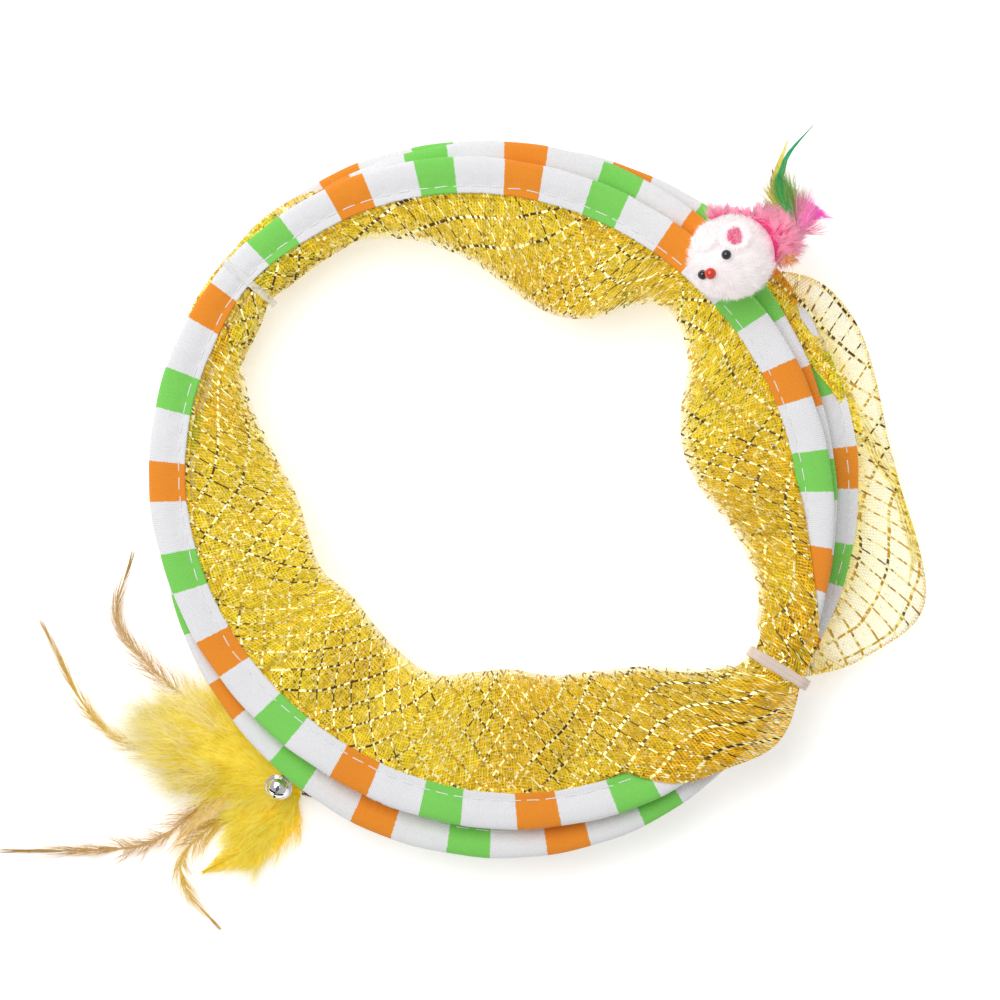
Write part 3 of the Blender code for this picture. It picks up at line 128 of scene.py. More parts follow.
# Where the second section's way back lies on top of the third hoop, and the crease that goes on past it
ON_THIRD_HOOP = ((-38.0, 0.0), (-35.0, 1.0), (43.0, 1.0), (47.0, 0.0))
CREASE_SHARES = (
    (-9.0, 1.330), (-3.2, 1.288), (1.4, 1.258), (4.3, 1.203), (7.9, 1.182), (11.3, 1.154), (14.9, 1.125),
    (20.7, 1.095), (26.4, 1.080), (35.0, 1.062),
)
SIDE_LOBE_HEIGHT = 9.0 * MM
LOBE_FALL_LENGTH = 26.0 * MM
LEAST_FOLD = 6.0 * MM
TIED_FOLD = 4.0 * MM
TIED_FOLD_SPREAD = math.radians(6.0)
DEEP_FOLD = 24.0 * MM
SHEET_ROOM = 0.35 * MM


# Settings that a user would change

def colour_property(name, description, default):
    """A colour setting."""
    return bpy.props.FloatVectorProperty(
        name=name, description=description, default=default, subtype="COLOR", size=3, min=0.0, max=1.0
    )


def length_property(name, description, default):
    """A length setting in metres."""
    return bpy.props.FloatProperty(
        name=name, description=description, default=default, unit="LENGTH", subtype="DISTANCE", min=0.0,
        precision=5,
    )


class CasingSettings(bpy.types.PropertyGroup):
    """Sizes and colours of the striped casings."""

    green: colour_property("Green", "Dye of the green bands", (0.225, 0.690, 0.120))
    orange: colour_property("Orange", "Dye of the orange bands", (0.900, 0.295, 0.026))
    white: colour_property("White", "Colour of the cloth between the bands", (0.860, 0.860, 0.875))
    stitch_pitch: length_property("Stitch pitch", "Distance from one stitch to the next", 6.5 * MM)
    stitch_length: length_property("Stitch length", "Length of one stitch", 5.4 * MM)
    stitch_radius: length_property("Thread radius", "Radius of the sewing thread", 0.22 * MM)
    pucker: length_property("Pucker", "Depth of the puckers along the seam", 0.22 * MM)


class GauzeSettings(bpy.types.PropertyGroup):
    """Sizes and colours of the gold gauze."""

    gold: colour_property("Gold", "Colour of the fine threads", (0.95, 0.74, 0.036))
    # Deep gold is painted shade where the layers crowd; sheer gold is painted light where the cloth is thin.
    deep: colour_property("Deep gold", "Fine threads where they crowd", (0.80, 0.46, 0.012))
    sheer: colour_property("Sheer gold", "Fine threads where they lie apart", (0.90, 0.87, 0.42))
    # Tinsel colours are painted reflection: bright where the twisting thread faces the light, middle and dark
    # as it turns away.
    bright: colour_property("Bright tinsel", "Flat tinsel thread where it faces the light", (1.0, 0.93, 0.42))
    middle: colour_property("Gold tinsel", "Flat tinsel thread where it is half turned", (0.62, 0.33, 0.015))
    dark: colour_property("Dark tinsel", "Flat tinsel thread turned on edge", (0.085, 0.035, 0.008))
    waver: length_property("Waver", "How far the threads stray from straight lines", 1.0 * MM)
    # The gauze glow is painted light: emission on the threads, standing in for light that comes through the
    # stacked layers.
    glow: bpy.props.FloatProperty(name="Glow", description="Light let through the threads", default=0.19)
    cell: length_property("Cell", "Distance between two tinsel threads", 7.6 * MM)
    tinsel_width: length_property("Tinsel width", "Width of a tinsel thread", 0.84 * MM)
    weave_pitch: length_property("Weave pitch", "Distance between two fine threads", 1.1 * MM)


class TieSettings(bpy.types.PropertyGroup):
    """Size and colour of the elastic ties."""

    colour: colour_property("Milky elastic", "Colour of the lower right tie", (0.86, 0.72, 0.62))
    width: length_property("Width", "Width of the lower right tie", 4.0 * MM)
    clear: colour_property("Clear elastic", "Colour of the upper left tie", (0.93, 0.93, 0.92))
    clear_width: length_property("Clear width", "Width of the upper left tie", 2.6 * MM)


class MouseSettings(bpy.types.PropertyGroup):
    """Pile and colours of the plush mouse."""

    white: colour_property("White fur", "Colour of the head's pile", (0.97, 0.90, 0.905))
    pink: colour_property("Pink fur", "Colour of the back's pile", (0.97, 0.40, 0.53))
    inner_ear: colour_property("Inner ear", "Colour of the nap in the ear", (0.84, 0.075, 0.24))
    red: colour_property("Nose", "Colour of the nose bead", (0.74, 0.035, 0.012))
    black: colour_property("Eyes", "Colour of the eye beads", (0.012, 0.012, 0.018))
    head_pile: length_property("Head pile", "Length of the white hairs", 2.1 * MM)
    back_pile: length_property("Back pile", "Length of the pink hairs", 3.0 * MM)


class FeatherSettings(bpy.types.PropertyGroup):
    """Colours of the feathers, and how full the plume is."""

    tan: colour_property("Tan", "Undyed hackles", (0.68, 0.43, 0.15))
    gold: colour_property("Gold", "Hackles with yellow dye", (0.80, 0.54, 0.08))
    yellow: colour_property("Yellow", "Dye of the plume", (0.86, 0.61, 0.012))
    pale: colour_property("Pale", "Tips of the down", (0.97, 0.81, 0.13))
    down_count: bpy.props.IntProperty(name="Down", description="Hairs in the plume", default=7400, min=100)


class BellSettings(bpy.types.PropertyGroup):
    """Colours of the bell and the threads."""

    chrome: colour_property("Chrome", "Plating of the bell", (0.88, 0.88, 0.90))
    thread_dark: colour_property("Thread, dark", "Dark fibres of the thread", (0.045, 0.022, 0.010))
    thread_pale: colour_property("Thread, pale", "Pale fibres of the thread", (0.30, 0.18, 0.07))


class StageSettings(bpy.types.PropertyGroup):
    """Floor, light and camera."""

    floor: colour_property("Floor", "Colour of the floor", (0.94, 0.94, 0.94))
    view_width: length_property("View width", "Width of the picture at the level of the hoops", 0.357)
    lens: bpy.props.FloatProperty(name="Lens", description="Focal length", default=300.0, unit="CAMERA")
    light: bpy.props.FloatProperty(name="Light", description="Strength of the overhead softbox", default=19.5)
    glow: bpy.props.FloatProperty(name="Glow", description="Light that the floor gives off", default=0.42)
    sky: bpy.props.FloatProperty(name="Sky", description="Strength of the even light all round", default=0.50)


# Numbers and curves

def smooth_step(low, high, values):
    """0 below low, 1 above high, and a smooth rise between them."""
    share = np.clip((values - low) / (high - low), 0.0, 1.0)
    return share * share * (3.0 - 2.0 * share)


def turn_between(angle, other):
    """Signed angle from one direction to another, within half a turn."""
    return (angle - other + math.pi) % TURN - math.pi


def ripple(angle, counts, seed):
    """Sum of sine waves that close round the hoop, with random starts, scaled to about -1 to 1."""
    random = np.random.default_rng(seed)
    starts = random.uniform(0.0, TURN, len(counts))
    waves = [np.sin(count * angle + start) for count, start in zip(counts, starts)]
    return sum(waves) / math.sqrt(len(counts))


def spline_basis(t):
    """Catmull-Rom weights of four neighbours at a share t between the middle two."""
    return np.stack([
        -0.5 * t + t**2 - 0.5 * t**3,
        1.0 - 2.5 * t**2 + 1.5 * t**3,
        0.5 * t + 2.0 * t**2 - 1.5 * t**3,
        -0.5 * t**2 + 0.5 * t**3,
    ])


def spline(points, count):
    """Sample a Catmull-Rom curve through points, given along the first axis of an array."""
    points = np.asarray(points, float)
    ghosts = np.concatenate([2.0 * points[:1] - points[1:2], points, 2.0 * points[-1:] - points[-2:-1]])
    places = np.linspace(0.0, len(points) - 1.0, count)
    start = np.minimum(places.astype(int), len(points) - 2)
    weights = spline_basis(places - start)
    shape = (count,) + (1,) * (points.ndim - 1)
    return sum(weights[k].reshape(shape) * ghosts[start + k] for k in range(4))


def closed_curve(values, angle):
    """Smooth closed curve through values at even steps from +X, read at angles."""
    values = np.asarray(values)
    at = (angle % TURN) / TURN * len(values)
    start = np.floor(at).astype(int)
    weights = spline_basis(at - start)
    return sum(weights[k] * values[(start + k - 1) % len(values)] for k in range(4))


def span_curve(table, angle, outside):
    """Values by degrees over part of the turn, read at even angles and softened; outside is the rest."""
    keys = np.radians([pair[0] for pair in table])
    values = [pair[1] for pair in table]
    turned = keys[0] + (angle - keys[0]) % TURN
    read = np.interp(turned, keys, values)
    read = np.where(turned > keys[-1], outside, read)
    return soften(read, 5)


def soften(values, reach):
    """Moving average along the first axis of a closed row, taken twice."""
    for _ in range(2):
        values = sum(np.roll(values, shift, axis=0) for shift in range(-reach, reach + 1)) / (2 * reach + 1)
    return values


# Hoops

def hoop_radius(index, angle):
    """Distance of a casing's middle from its own centre: a circle with a little oval in it."""
    cosine, sine = HOOPS[index]["oval_shares"]
    oval = cosine * np.cos(2.0 * angle) + sine * np.sin(2.0 * angle)
    return HOOP_RADIUS * (HOOPS[index]["radius_share"] + oval)


def hoop_height(index, angle):
    """Height of a wire: its place in the stack, lifted by a cosine hump where a tie passes below."""
    lift = 0.0
    for tie in TIE_ANGLES:
        away = np.clip(np.abs(turn_between(angle, tie)) / TIE_LIFT_SPREAD, 0.0, 1.0)
        lift = lift + TIE_LIFT * np.cos(away * math.pi / 2.0) ** 2
    return CASING_RISE + HOOP_PITCH * index + lift


def near_tie(angle, number, spread):
    """1 at a tie, falling as a squared cosine to 0 at a spread away from it."""
    away = np.clip(np.abs(turn_between(angle, TIE_ANGLES[number])) / spread, 0.0, 1.0)
    return np.cos(away * math.pi / 2.0) ** 2


def slack(angle):
    """Share of its own width that the inner side of a casing keeps: less where a tie gathers it."""
    taken = [share * near_tie(angle, number, PINCH_SPREAD) for number, share in enumerate(PINCH_SHARES)]
    return 1.0 - sum(taken)


def hoop_points(index, angle, across, up):
    """Points of a hoop's cross-section by angle, offset outward and offset up, as an array ending in xyz.

    A tie gathers the cloth on the inner side, so offsets inward are shortened there.
    """
    middle_x, middle_y = HOOPS[index]["centre_shares"]
    radius = hoop_radius(index, angle) + np.where(np.less(across, 0.0), across * slack(angle), across)
    return np.stack([
        middle_x * HOOP_RADIUS + radius * np.cos(angle),
        middle_y * HOOP_RADIUS + radius * np.sin(angle),
        hoop_height(index, angle) + up,
    ], axis=-1)


def seen_from_net(index, angle, edge):
    """Distance from the net's middle to a hoop's lip (-1), middle (0) or outer edge (1), and its height."""
    direction = angle
    for _ in range(4):
        place = hoop_points(index, direction, edge * CASING_HALF, 0.0)
        seen = np.arctan2(place[..., 1] - NET_MIDDLE[1], place[..., 0] - NET_MIDDLE[0])
        direction = direction + turn_between(angle, seen)
    return np.hypot(place[..., 0] - NET_MIDDLE[0], place[..., 1] - NET_MIDDLE[1]), place[..., 2]


def net_point(reach, angle, height):
    """Point at a distance and a direction from the net's middle, at a height."""
    x = NET_MIDDLE[0] + reach * math.cos(angle)
    y = NET_MIDDLE[1] + reach * math.sin(angle)
    return np.array([x, y, height])


def net_angle(index, angle):
    """Direction in which the net's middle sees a place on a hoop."""
    place = hoop_points(index, angle, 0.0, 0.0)
    return np.arctan2(place[..., 1] - NET_MIDDLE[1], place[..., 0] - NET_MIDDLE[0])


def band_place(index, angle):
    """Place along the striped cloth in bands: whole numbers are the middles of the coloured bands."""
    step = TURN / STRIPES_ROUND
    phase = math.radians(HOOPS[index]["phase"])
    if index == len(HOOPS) - 1:
        angle = angle - TOP_DRIFT * np.cos(angle - TOP_DRIFT_PEAK)
    return (angle - phase) / step


# Meshes

def grid_mesh(name, points, closed=(False, False), uv=None, caps=False):
    """Make one mesh of equal grids: points is an array (grid, row, column, xyz).

    A grid that closes on itself wraps along rows or columns. Where uv is given it has one more row or
    column there, so that the pattern runs on to the end. Caps fill the first and last row.
    """
    count, rows, columns = points.shape[:3]
    row, column = np.meshgrid(
        np.arange(rows if closed[0] else rows - 1), np.arange(columns if closed[1] else columns - 1),
        indexing="ij",
    )
    corner_rows = row.reshape(-1, 1) + np.array([0, 0, 1, 1])
    corner_columns = column.reshape(-1, 1) + np.array([0, 1, 1, 0])
    base = (np.arange(count) * rows * columns).reshape(-1, 1, 1)
    quads = base + (corner_rows % rows) * columns + corner_columns % columns
    corners = quads.reshape(-1)
    sizes = np.full(quads.shape[0] * quads.shape[1], 4)
    if caps:
        ring = np.arange(columns)
        ends = np.concatenate([ring[::-1], (rows - 1) * columns + ring]).reshape(1, -1)
        corners = np.concatenate([corners, (base.reshape(-1, 1) + ends).reshape(-1)])
        sizes = np.concatenate([sizes, np.full(2 * count, columns)])
    mesh = bpy.data.meshes.new(name)
    mesh.vertices.add(count * rows * columns)
    mesh.vertices.foreach_set("co", points.astype(np.float32).reshape(-1))
    mesh.loops.add(len(corners))
    mesh.loops.foreach_set("vertex_index", corners.astype(np.int32))
    mesh.polygons.add(len(sizes))
    mesh.polygons.foreach_set("loop_start", np.concatenate([[0], np.cumsum(sizes)[:-1]]).astype(np.int32))
    mesh.update(calc_edges=True)
    if uv is not None:
        layer = mesh.uv_layers.new(name="cloth")
        placed = np.zeros((len(corners), 2), np.float32)
        placed[: quads.size] = uv[:, corner_rows, corner_columns].reshape(-1, 2)
        layer.uv.foreach_set("vector", placed.reshape(-1))
    mesh.shade_smooth()
    return mesh


def point_values(mesh, name, values):
    """Store one number for each vertex, in the order of the grid."""
    made = mesh.attributes.new(name, "FLOAT", "POINT")
    made.data.foreach_set("value", np.asarray(values, np.float32).reshape(-1))


def add_piece(mesh, materials):
    """Link a mesh as a piece at the origin."""
    for one in materials:
        mesh.materials.append(one)
    piece = bpy.data.objects.new(mesh.name, mesh)
    bpy.context.collection.objects.link(piece)
    return piece


def tube_points(path, radius, sides, up=(0.0, 0.0, 1.0)):
    """Rings round many paths at once: path is (grid, row, xyz) and radius broadcasts to (grid, row).

    Each ring lies square to its path, and its first point is on the side that is level.
    """
    along = np.gradient(path, axis=1)
    along /= np.linalg.norm(along, axis=-1, keepdims=True)
    side = np.cross(along, np.array(up))
    side /= np.maximum(np.linalg.norm(side, axis=-1, keepdims=True), 1e-9)
    over = np.cross(along, side)
    spin = np.arange(sides) * TURN / sides
    wide = np.broadcast_to(np.asarray(radius), path.shape[:2])[..., None, None]
    ring = side[:, :, None] * np.cos(spin)[:, None] + over[:, :, None] * np.sin(spin)[:, None]
    return path[:, :, None] + ring * wide


# Shader nodes

def link_or_set(tree, value, socket):
    """Feed an input from another node's output, or set it to a constant."""
    if isinstance(value, bpy.types.NodeSocket):
        tree.links.new(value, socket)
    elif hasattr(value, "__len__") and len(value) == 3 and socket.type == "RGBA":
        socket.default_value = (*value, 1.0)
    else:
        socket.default_value = value


def add_node(tree, kind, inputs=None, **settings):
    """Add a node with its own settings, and feed its inputs, which are named or numbered."""
    made = tree.nodes.new(kind)
    for key, value in settings.items():
        setattr(made, key, value)
    for key, value in (inputs or {}).items():
        link_or_set(tree, value, made.inputs[key])
    return made


def calc(tree, operation, first, second=0.0, third=0.0):
    """Output of a Math node."""
    made = tree.nodes.new("ShaderNodeMath")
    made.operation = operation
    for socket, value in zip(made.inputs, (first, second, third)):
        link_or_set(tree, value, socket)
    return made.outputs[0]


def ease(tree, value, low, high, start=0.0, end=1.0):
    """Output of a smooth Map Range from low..high to start..end."""
    made = add_node(tree, "ShaderNodeMapRange", interpolation_type="SMOOTHSTEP")
    for key, given in ((0, value), (1, low), (2, high), (3, start), (4, end)):
        link_or_set(tree, given, made.inputs[key])
    return made.outputs[0]


def blend_colours(tree, factor, first, second):
    """Output of a colour mix."""
    made = add_node(tree, "ShaderNodeMix", data_type="RGBA")
    for key, given in ((0, factor), (6, first), (7, second)):
        link_or_set(tree, given, made.inputs[key])
    return made.outputs[2]


def noise(tree, place, scale, detail=2.0, roughness=0.5):
    """Value of a Noise Texture at a place."""
    inputs = {"Vector": place, "Scale": scale, "Detail": detail, "Roughness": roughness}
    return add_node(tree, "ShaderNodeTexNoise", inputs).outputs[0]


def object_place(tree):
    """Object coordinates."""
    return add_node(tree, "ShaderNodeTexCoord").outputs["Object"]


def cloth_place(tree):
    """Place on the piece's own flat cloth pattern."""
    return add_node(tree, "ShaderNodeUVMap", uv_map="cloth").outputs[0]


def attribute(tree, name):
    """Number that a piece stores for each of its points."""
    return add_node(tree, "ShaderNodeAttribute", attribute_name=name).outputs["Fac"]


def new_group(name, inputs, outputs):
    """Start a node group with named sockets; returns the group, its input node and its output node."""
    group = bpy.data.node_groups.new(name, "ShaderNodeTree")
    for label, kind, default in inputs:
        socket = group.interface.new_socket(label, in_out="INPUT", socket_type=f"NodeSocket{kind}")
        if default is not None:
            socket.default_value = default
    for label, kind in outputs:
        group.interface.new_socket(label, in_out="OUTPUT", socket_type=f"NodeSocket{kind}")
    return group, group.nodes.new("NodeGroupInput"), group.nodes.new("NodeGroupOutput")


def use_group(tree, maker, inputs):
    """Place a node group in a material, making the group the first time."""
    group = bpy.data.node_groups.get(maker.__name__) or maker()
    made = tree.nodes.new("ShaderNodeGroup")
    made.node_tree = group
    for key, value in inputs.items():
        link_or_set(tree, value, made.inputs[key])
    return made


def crossed_threads():
    """Node group: two families of fine threads on a flat cloth pattern, with their mask and height.

    Each family is a row of round threads at a pitch; the mask is where either one covers, and the height
    is the larger of the two rounds, which swap over and under like a plain weave. The tone drifts along
    each thread and differs from one to the next.
    """
    group, given, result = new_group(
        "crossed_threads",
        [("Place", "Vector", None), ("Pitch", "Float", 1.0 * MM), ("Fill", "Float", 0.4)],
        [("Mask", "Float"), ("Height", "Float"), ("Tone", "Float")],
    )
    axes = add_node(group, "ShaderNodeSeparateXYZ", {0: given.outputs["Place"]})
    rounds = []
    counts = []
    for axis in (0, 1):
        count = calc(group, "DIVIDE", axes.outputs[axis], given.outputs["Pitch"])
        away = calc(group, "ABSOLUTE", calc(group, "SUBTRACT", calc(group, "FRACT", count), 0.5))
        half = calc(group, "MULTIPLY", given.outputs["Fill"], 0.5)
        inner = calc(group, "MULTIPLY", half, 0.6)
        rounds.append(ease(group, away, half, inner))
        counts.append(count)
    both = calc(group, "ADD", counts[0], counts[1])
    swap = calc(group, "FRACT", calc(group, "MULTIPLY", calc(group, "FLOOR", both), 0.5))
    over = calc(group, "MULTIPLY_ADD", swap, 0.8, 0.6)
    under = calc(group, "SUBTRACT", 1.6, over)
    first = calc(group, "MULTIPLY", rounds[0], over)
    second = calc(group, "MULTIPLY", rounds[1], under)
    group.links.new(calc(group, "MAXIMUM", rounds[0], rounds[1]), result.inputs["Mask"])
    tones = []
    for own, other in (counts, counts[::-1]):
        number = calc(group, "MULTIPLY", calc(group, "FLOOR", own), 3.7)
        here = add_node(group, "ShaderNodeCombineXYZ", {0: number, 1: calc(group, "MULTIPLY", other, 0.22)})
        tones.append(noise(group, here.outputs[0], 1.0, 1.0))
    on_top = calc(group, "GREATER_THAN", second, first)
    tone = add_node(group, "ShaderNodeMix", {0: on_top, 2: tones[0], 3: tones[1]}, data_type="FLOAT")
    group.links.new(calc(group, "MAXIMUM", first, second), result.inputs["Height"])
    group.links.new(tone.outputs[0], result.inputs["Tone"])
    return group


def uneven_dye():
    """Node group: a colour that drifts slowly and is speckled finely, as dyed cloth is."""
    group, given, result = new_group(
        "uneven_dye",
        [("Colour", "Color", (1.0, 1.0, 1.0, 1.0)), ("Place", "Vector", None), ("Drift", "Float", 0.06),
         ("Speckle", "Float", 0.08)],
        [("Colour", "Color")],
    )
    slow = noise(group, given.outputs["Place"], 45.0)
    fine = noise(group, given.outputs["Place"], 1600.0, 3.0, 0.7)
    drift = calc(group, "MULTIPLY", calc(group, "SUBTRACT", slow, 0.5), given.outputs["Drift"])
    speckle = calc(group, "MULTIPLY", calc(group, "SUBTRACT", fine, 0.5), given.outputs["Speckle"])
    value = calc(group, "ADD", calc(group, "ADD", drift, speckle), 1.0)
    toned = add_node(group, "ShaderNodeHueSaturation", {"Value": value, "Color": given.outputs["Colour"]})
    group.links.new(toned.outputs[0], result.inputs["Colour"])
    return group


def mottled(tree, colour, place, drift, speckle):
    """Colour of an uneven dye at a place."""
    inputs = {"Colour": colour, "Place": place, "Drift": drift, "Speckle": speckle}
    return use_group(tree, uneven_dye, inputs).outputs[0]


def new_material(name):
    """Start a material; returns it with its node tree and its Principled shader."""
    made = bpy.data.materials.new(name)
    made.use_nodes = True
    return made, made.node_tree, made.node_tree.nodes["Principled BSDF"]


def set_shader(tree, shader, **inputs):
    """Feed the Principled shader; a word with _ for each blank names the socket."""
    for key, value in inputs.items():
        link_or_set(tree, value, shader.inputs[key.replace("_", " ")])


def bump(tree, height, distance, strength=1.0):
    """Normal from a height in metres."""
    inputs = {"Height": height, "Distance": distance, "Strength": strength}
    return add_node(tree, "ShaderNodeBump", inputs).outputs[0]


# Finishes

def casing_cloth(settings):
    """Striped cloth: orange and green bands by turns between white ones, with fine ribs across."""
    made, tree, shader = new_material("striped_casing")
    cloth = cloth_place(tree)
    place = object_place(tree)
    axes = add_node(tree, "ShaderNodeSeparateXYZ", {0: cloth})
    wobble = calc(tree, "MULTIPLY_ADD", noise(tree, place, 900.0), 0.022, -0.011)
    band = calc(tree, "ADD", axes.outputs[0], wobble)
    nearest = calc(tree, "ROUND", band)
    away = calc(tree, "ABSOLUTE", calc(tree, "SUBTRACT", band, nearest))
    edge = COLOURED_SHARE / 2.0
    white_share = ease(tree, away, edge - 0.006, edge + 0.006)
    odd = calc(tree, "PINGPONG", nearest, 1.0)
    dyed = blend_colours(tree, odd, tuple(settings.orange), tuple(settings.green))
    striped = blend_colours(tree, white_share, dyed, tuple(settings.white))
    ribs = calc(tree, "SINE", calc(tree, "MULTIPLY", axes.outputs[0], TURN * 46.0))
    grain = noise(tree, place, 1900.0, 4.0, 0.75)
    height = calc(tree, "MULTIPLY_ADD", grain, 0.9, calc(tree, "MULTIPLY", ribs, 0.22))
    set_shader(
        tree, shader, Base_Color=mottled(tree, striped, place, 0.10, 0.22), Roughness=0.92, Sheen_Weight=0.12,
        Specular_IOR_Level=0.25, Normal=bump(tree, height, 0.22 * MM, 0.8),
    )
    return made


def sewing_thread():
    """White polyester thread, a two-ply twist."""
    made, tree, shader = new_material("sewing_thread")
    place = object_place(tree)
    tone = ease(tree, noise(tree, place, 2500.0), 0.3, 0.7)
    colour = blend_colours(tree, tone, (0.78, 0.78, 0.78), (0.93, 0.93, 0.92))
    set_shader(tree, shader, Base_Color=colour, Roughness=0.5)
    return made


def tinsel_family(tree, along, across, settings, seed, width_share):
    """One family of flat tinsel threads: a mask on the lines and the share of it that faces the light.

    Lines lie at whole numbers of across. Along a line the thread twists, so it turns from bright to dark
    and back in dashes of uneven length, which start at a random place on each line.
    """
    line = calc(tree, "ROUND", across)
    away = calc(tree, "ABSOLUTE", calc(tree, "SUBTRACT", across, line))
    half = settings.tinsel_width * width_share / settings.cell / 2.0
    mask = ease(tree, away, half * 1.25, half * 0.75)
    number = calc(tree, "ADD", line, seed)
    start = add_node(tree, "ShaderNodeTexWhiteNoise", {"W": number}, noise_dimensions="1D")
    here = add_node(tree, "ShaderNodeCombineXYZ", {0: calc(tree, "MULTIPLY", along, 1.7), 1: line, 2: seed})
    drift = calc(tree, "MULTIPLY", noise(tree, here.outputs[0], 1.0), 2.6)
    phase = calc(tree, "ADD", calc(tree, "MULTIPLY_ADD", along, 1.9, drift), start.outputs[0])
    turned_away = calc(tree, "ABSOLUTE", calc(tree, "SUBTRACT", calc(tree, "FRACT", phase), 0.5))
    return mask, ease(tree, turned_away, 0.24, 0.30)


def crease_lines(tree, place):
    """Bunched threads of the side lobe's crease: a mask for their lines and a fainter one between them."""
    crease = attribute(tree, "crease")
    wander = calc(tree, "MULTIPLY_ADD", noise(tree, place, 110.0, 2.0), 3.4, -1.7)
    away = calc(tree, "ADD", crease, wander)
    lines = 0.0
    for offset, strength in ((0.0, 1.0), (1.4, 0.8), (-1.3, 0.7), (2.7, 0.6), (4.2, 0.5)):
        apart = calc(tree, "ABSOLUTE", calc(tree, "SUBTRACT", away, offset))
        lines = calc(tree, "MAXIMUM", ease(tree, apart, 0.46, 0.14, 0.0, strength), lines)
    return lines, ease(tree, calc(tree, "ABSOLUTE", calc(tree, "SUBTRACT", away, 1.0)), 5.0, 0.8, 0.0, 0.42)


def tinsel_grid(tree, place, settings):
    """Two families of tinsel on the diagonals of the cloth: their mask, share facing the light and colour."""
    axes = add_node(tree, "ShaderNodeSeparateXYZ", {0: place})
    scale = 1.0 / (settings.cell * math.sqrt(2.0))
    first = calc(tree, "MULTIPLY", calc(tree, "ADD", axes.outputs[0], axes.outputs[1]), scale)
    second = calc(tree, "MULTIPLY", calc(tree, "SUBTRACT", axes.outputs[0], axes.outputs[1]), scale)
    mask_a, facing_a = tinsel_family(tree, second, first, settings, 3.0, 1.0)
    mask_b, facing_b = tinsel_family(tree, first, second, settings, 41.0, 0.8)
    facing = blend_colours(tree, mask_a, facing_b, facing_a)
    region = ease(tree, noise(tree, place, 34.0, 2.0), 0.47, 0.57)
    # Painted reflection: tinsel that is turned away is painted dark or middle gold, and tinsel that faces the
    # light is painted bright.
    away = blend_colours(tree, region, tuple(settings.dark), tuple(settings.middle))
    colour = blend_colours(tree, facing, away, tuple(settings.bright))
    return calc(tree, "MAXIMUM", mask_a, mask_b), facing, colour


def thread_gold(tree, place, gather, tone, settings):
    """Colour of the fine threads: deeper where they crowd, which is painted shade, and in random patches;
    paler where the cloth is sheer, which is painted light.
    """
    # Painted shade: crowded layers darken the threads, and the noise adds random deeper patches.
    crowded_shade = ease(tree, gather, 1.1, 2.6, 0.0, 0.6)
    deeper = calc(tree, "ADD", crowded_shade, ease(tree, noise(tree, place, 17.0, 2.0), 0.40, 0.66, 0.0, 0.55))
    gold = blend_colours(tree, deeper, tuple(settings.gold), tuple(settings.deep))
    # Painted light: sheer cloth takes a paler gold.
    gold = blend_colours(tree, ease(tree, gather, 0.35, 0.80), tuple(settings.sheer), gold)
    # Painted shade: crowded threads reach darker tones than sheer ones.
    least = ease(tree, gather, 0.40, 0.90, 0.88, 0.54)
    value = add_node(tree, "ShaderNodeMapRange", {0: tone, 1: 0.34, 2: 0.64, 3: least, 4: 1.18}).outputs[0]
    return add_node(tree, "ShaderNodeHueSaturation", {"Value": value, "Color": gold}).outputs[0]


def stray_place(tree, place, cloth, waver):
    """Place on the cloth pattern, moved about by a slow noise so that threads waver."""
    stray = add_node(tree, "ShaderNodeTexNoise", {"Vector": place, "Scale": 42.0, "Detail": 2.0}).outputs[1]
    centred = add_node(tree, "ShaderNodeVectorMath", {0: stray, 1: (0.5, 0.5, 0.5)}, operation="SUBTRACT")
    reach = 4.0 * waver
    inputs = {0: centred.outputs[0], 1: (reach, reach, reach), 2: cloth}
    return add_node(tree, "ShaderNodeVectorMath", inputs, operation="MULTIPLY_ADD").outputs[0]


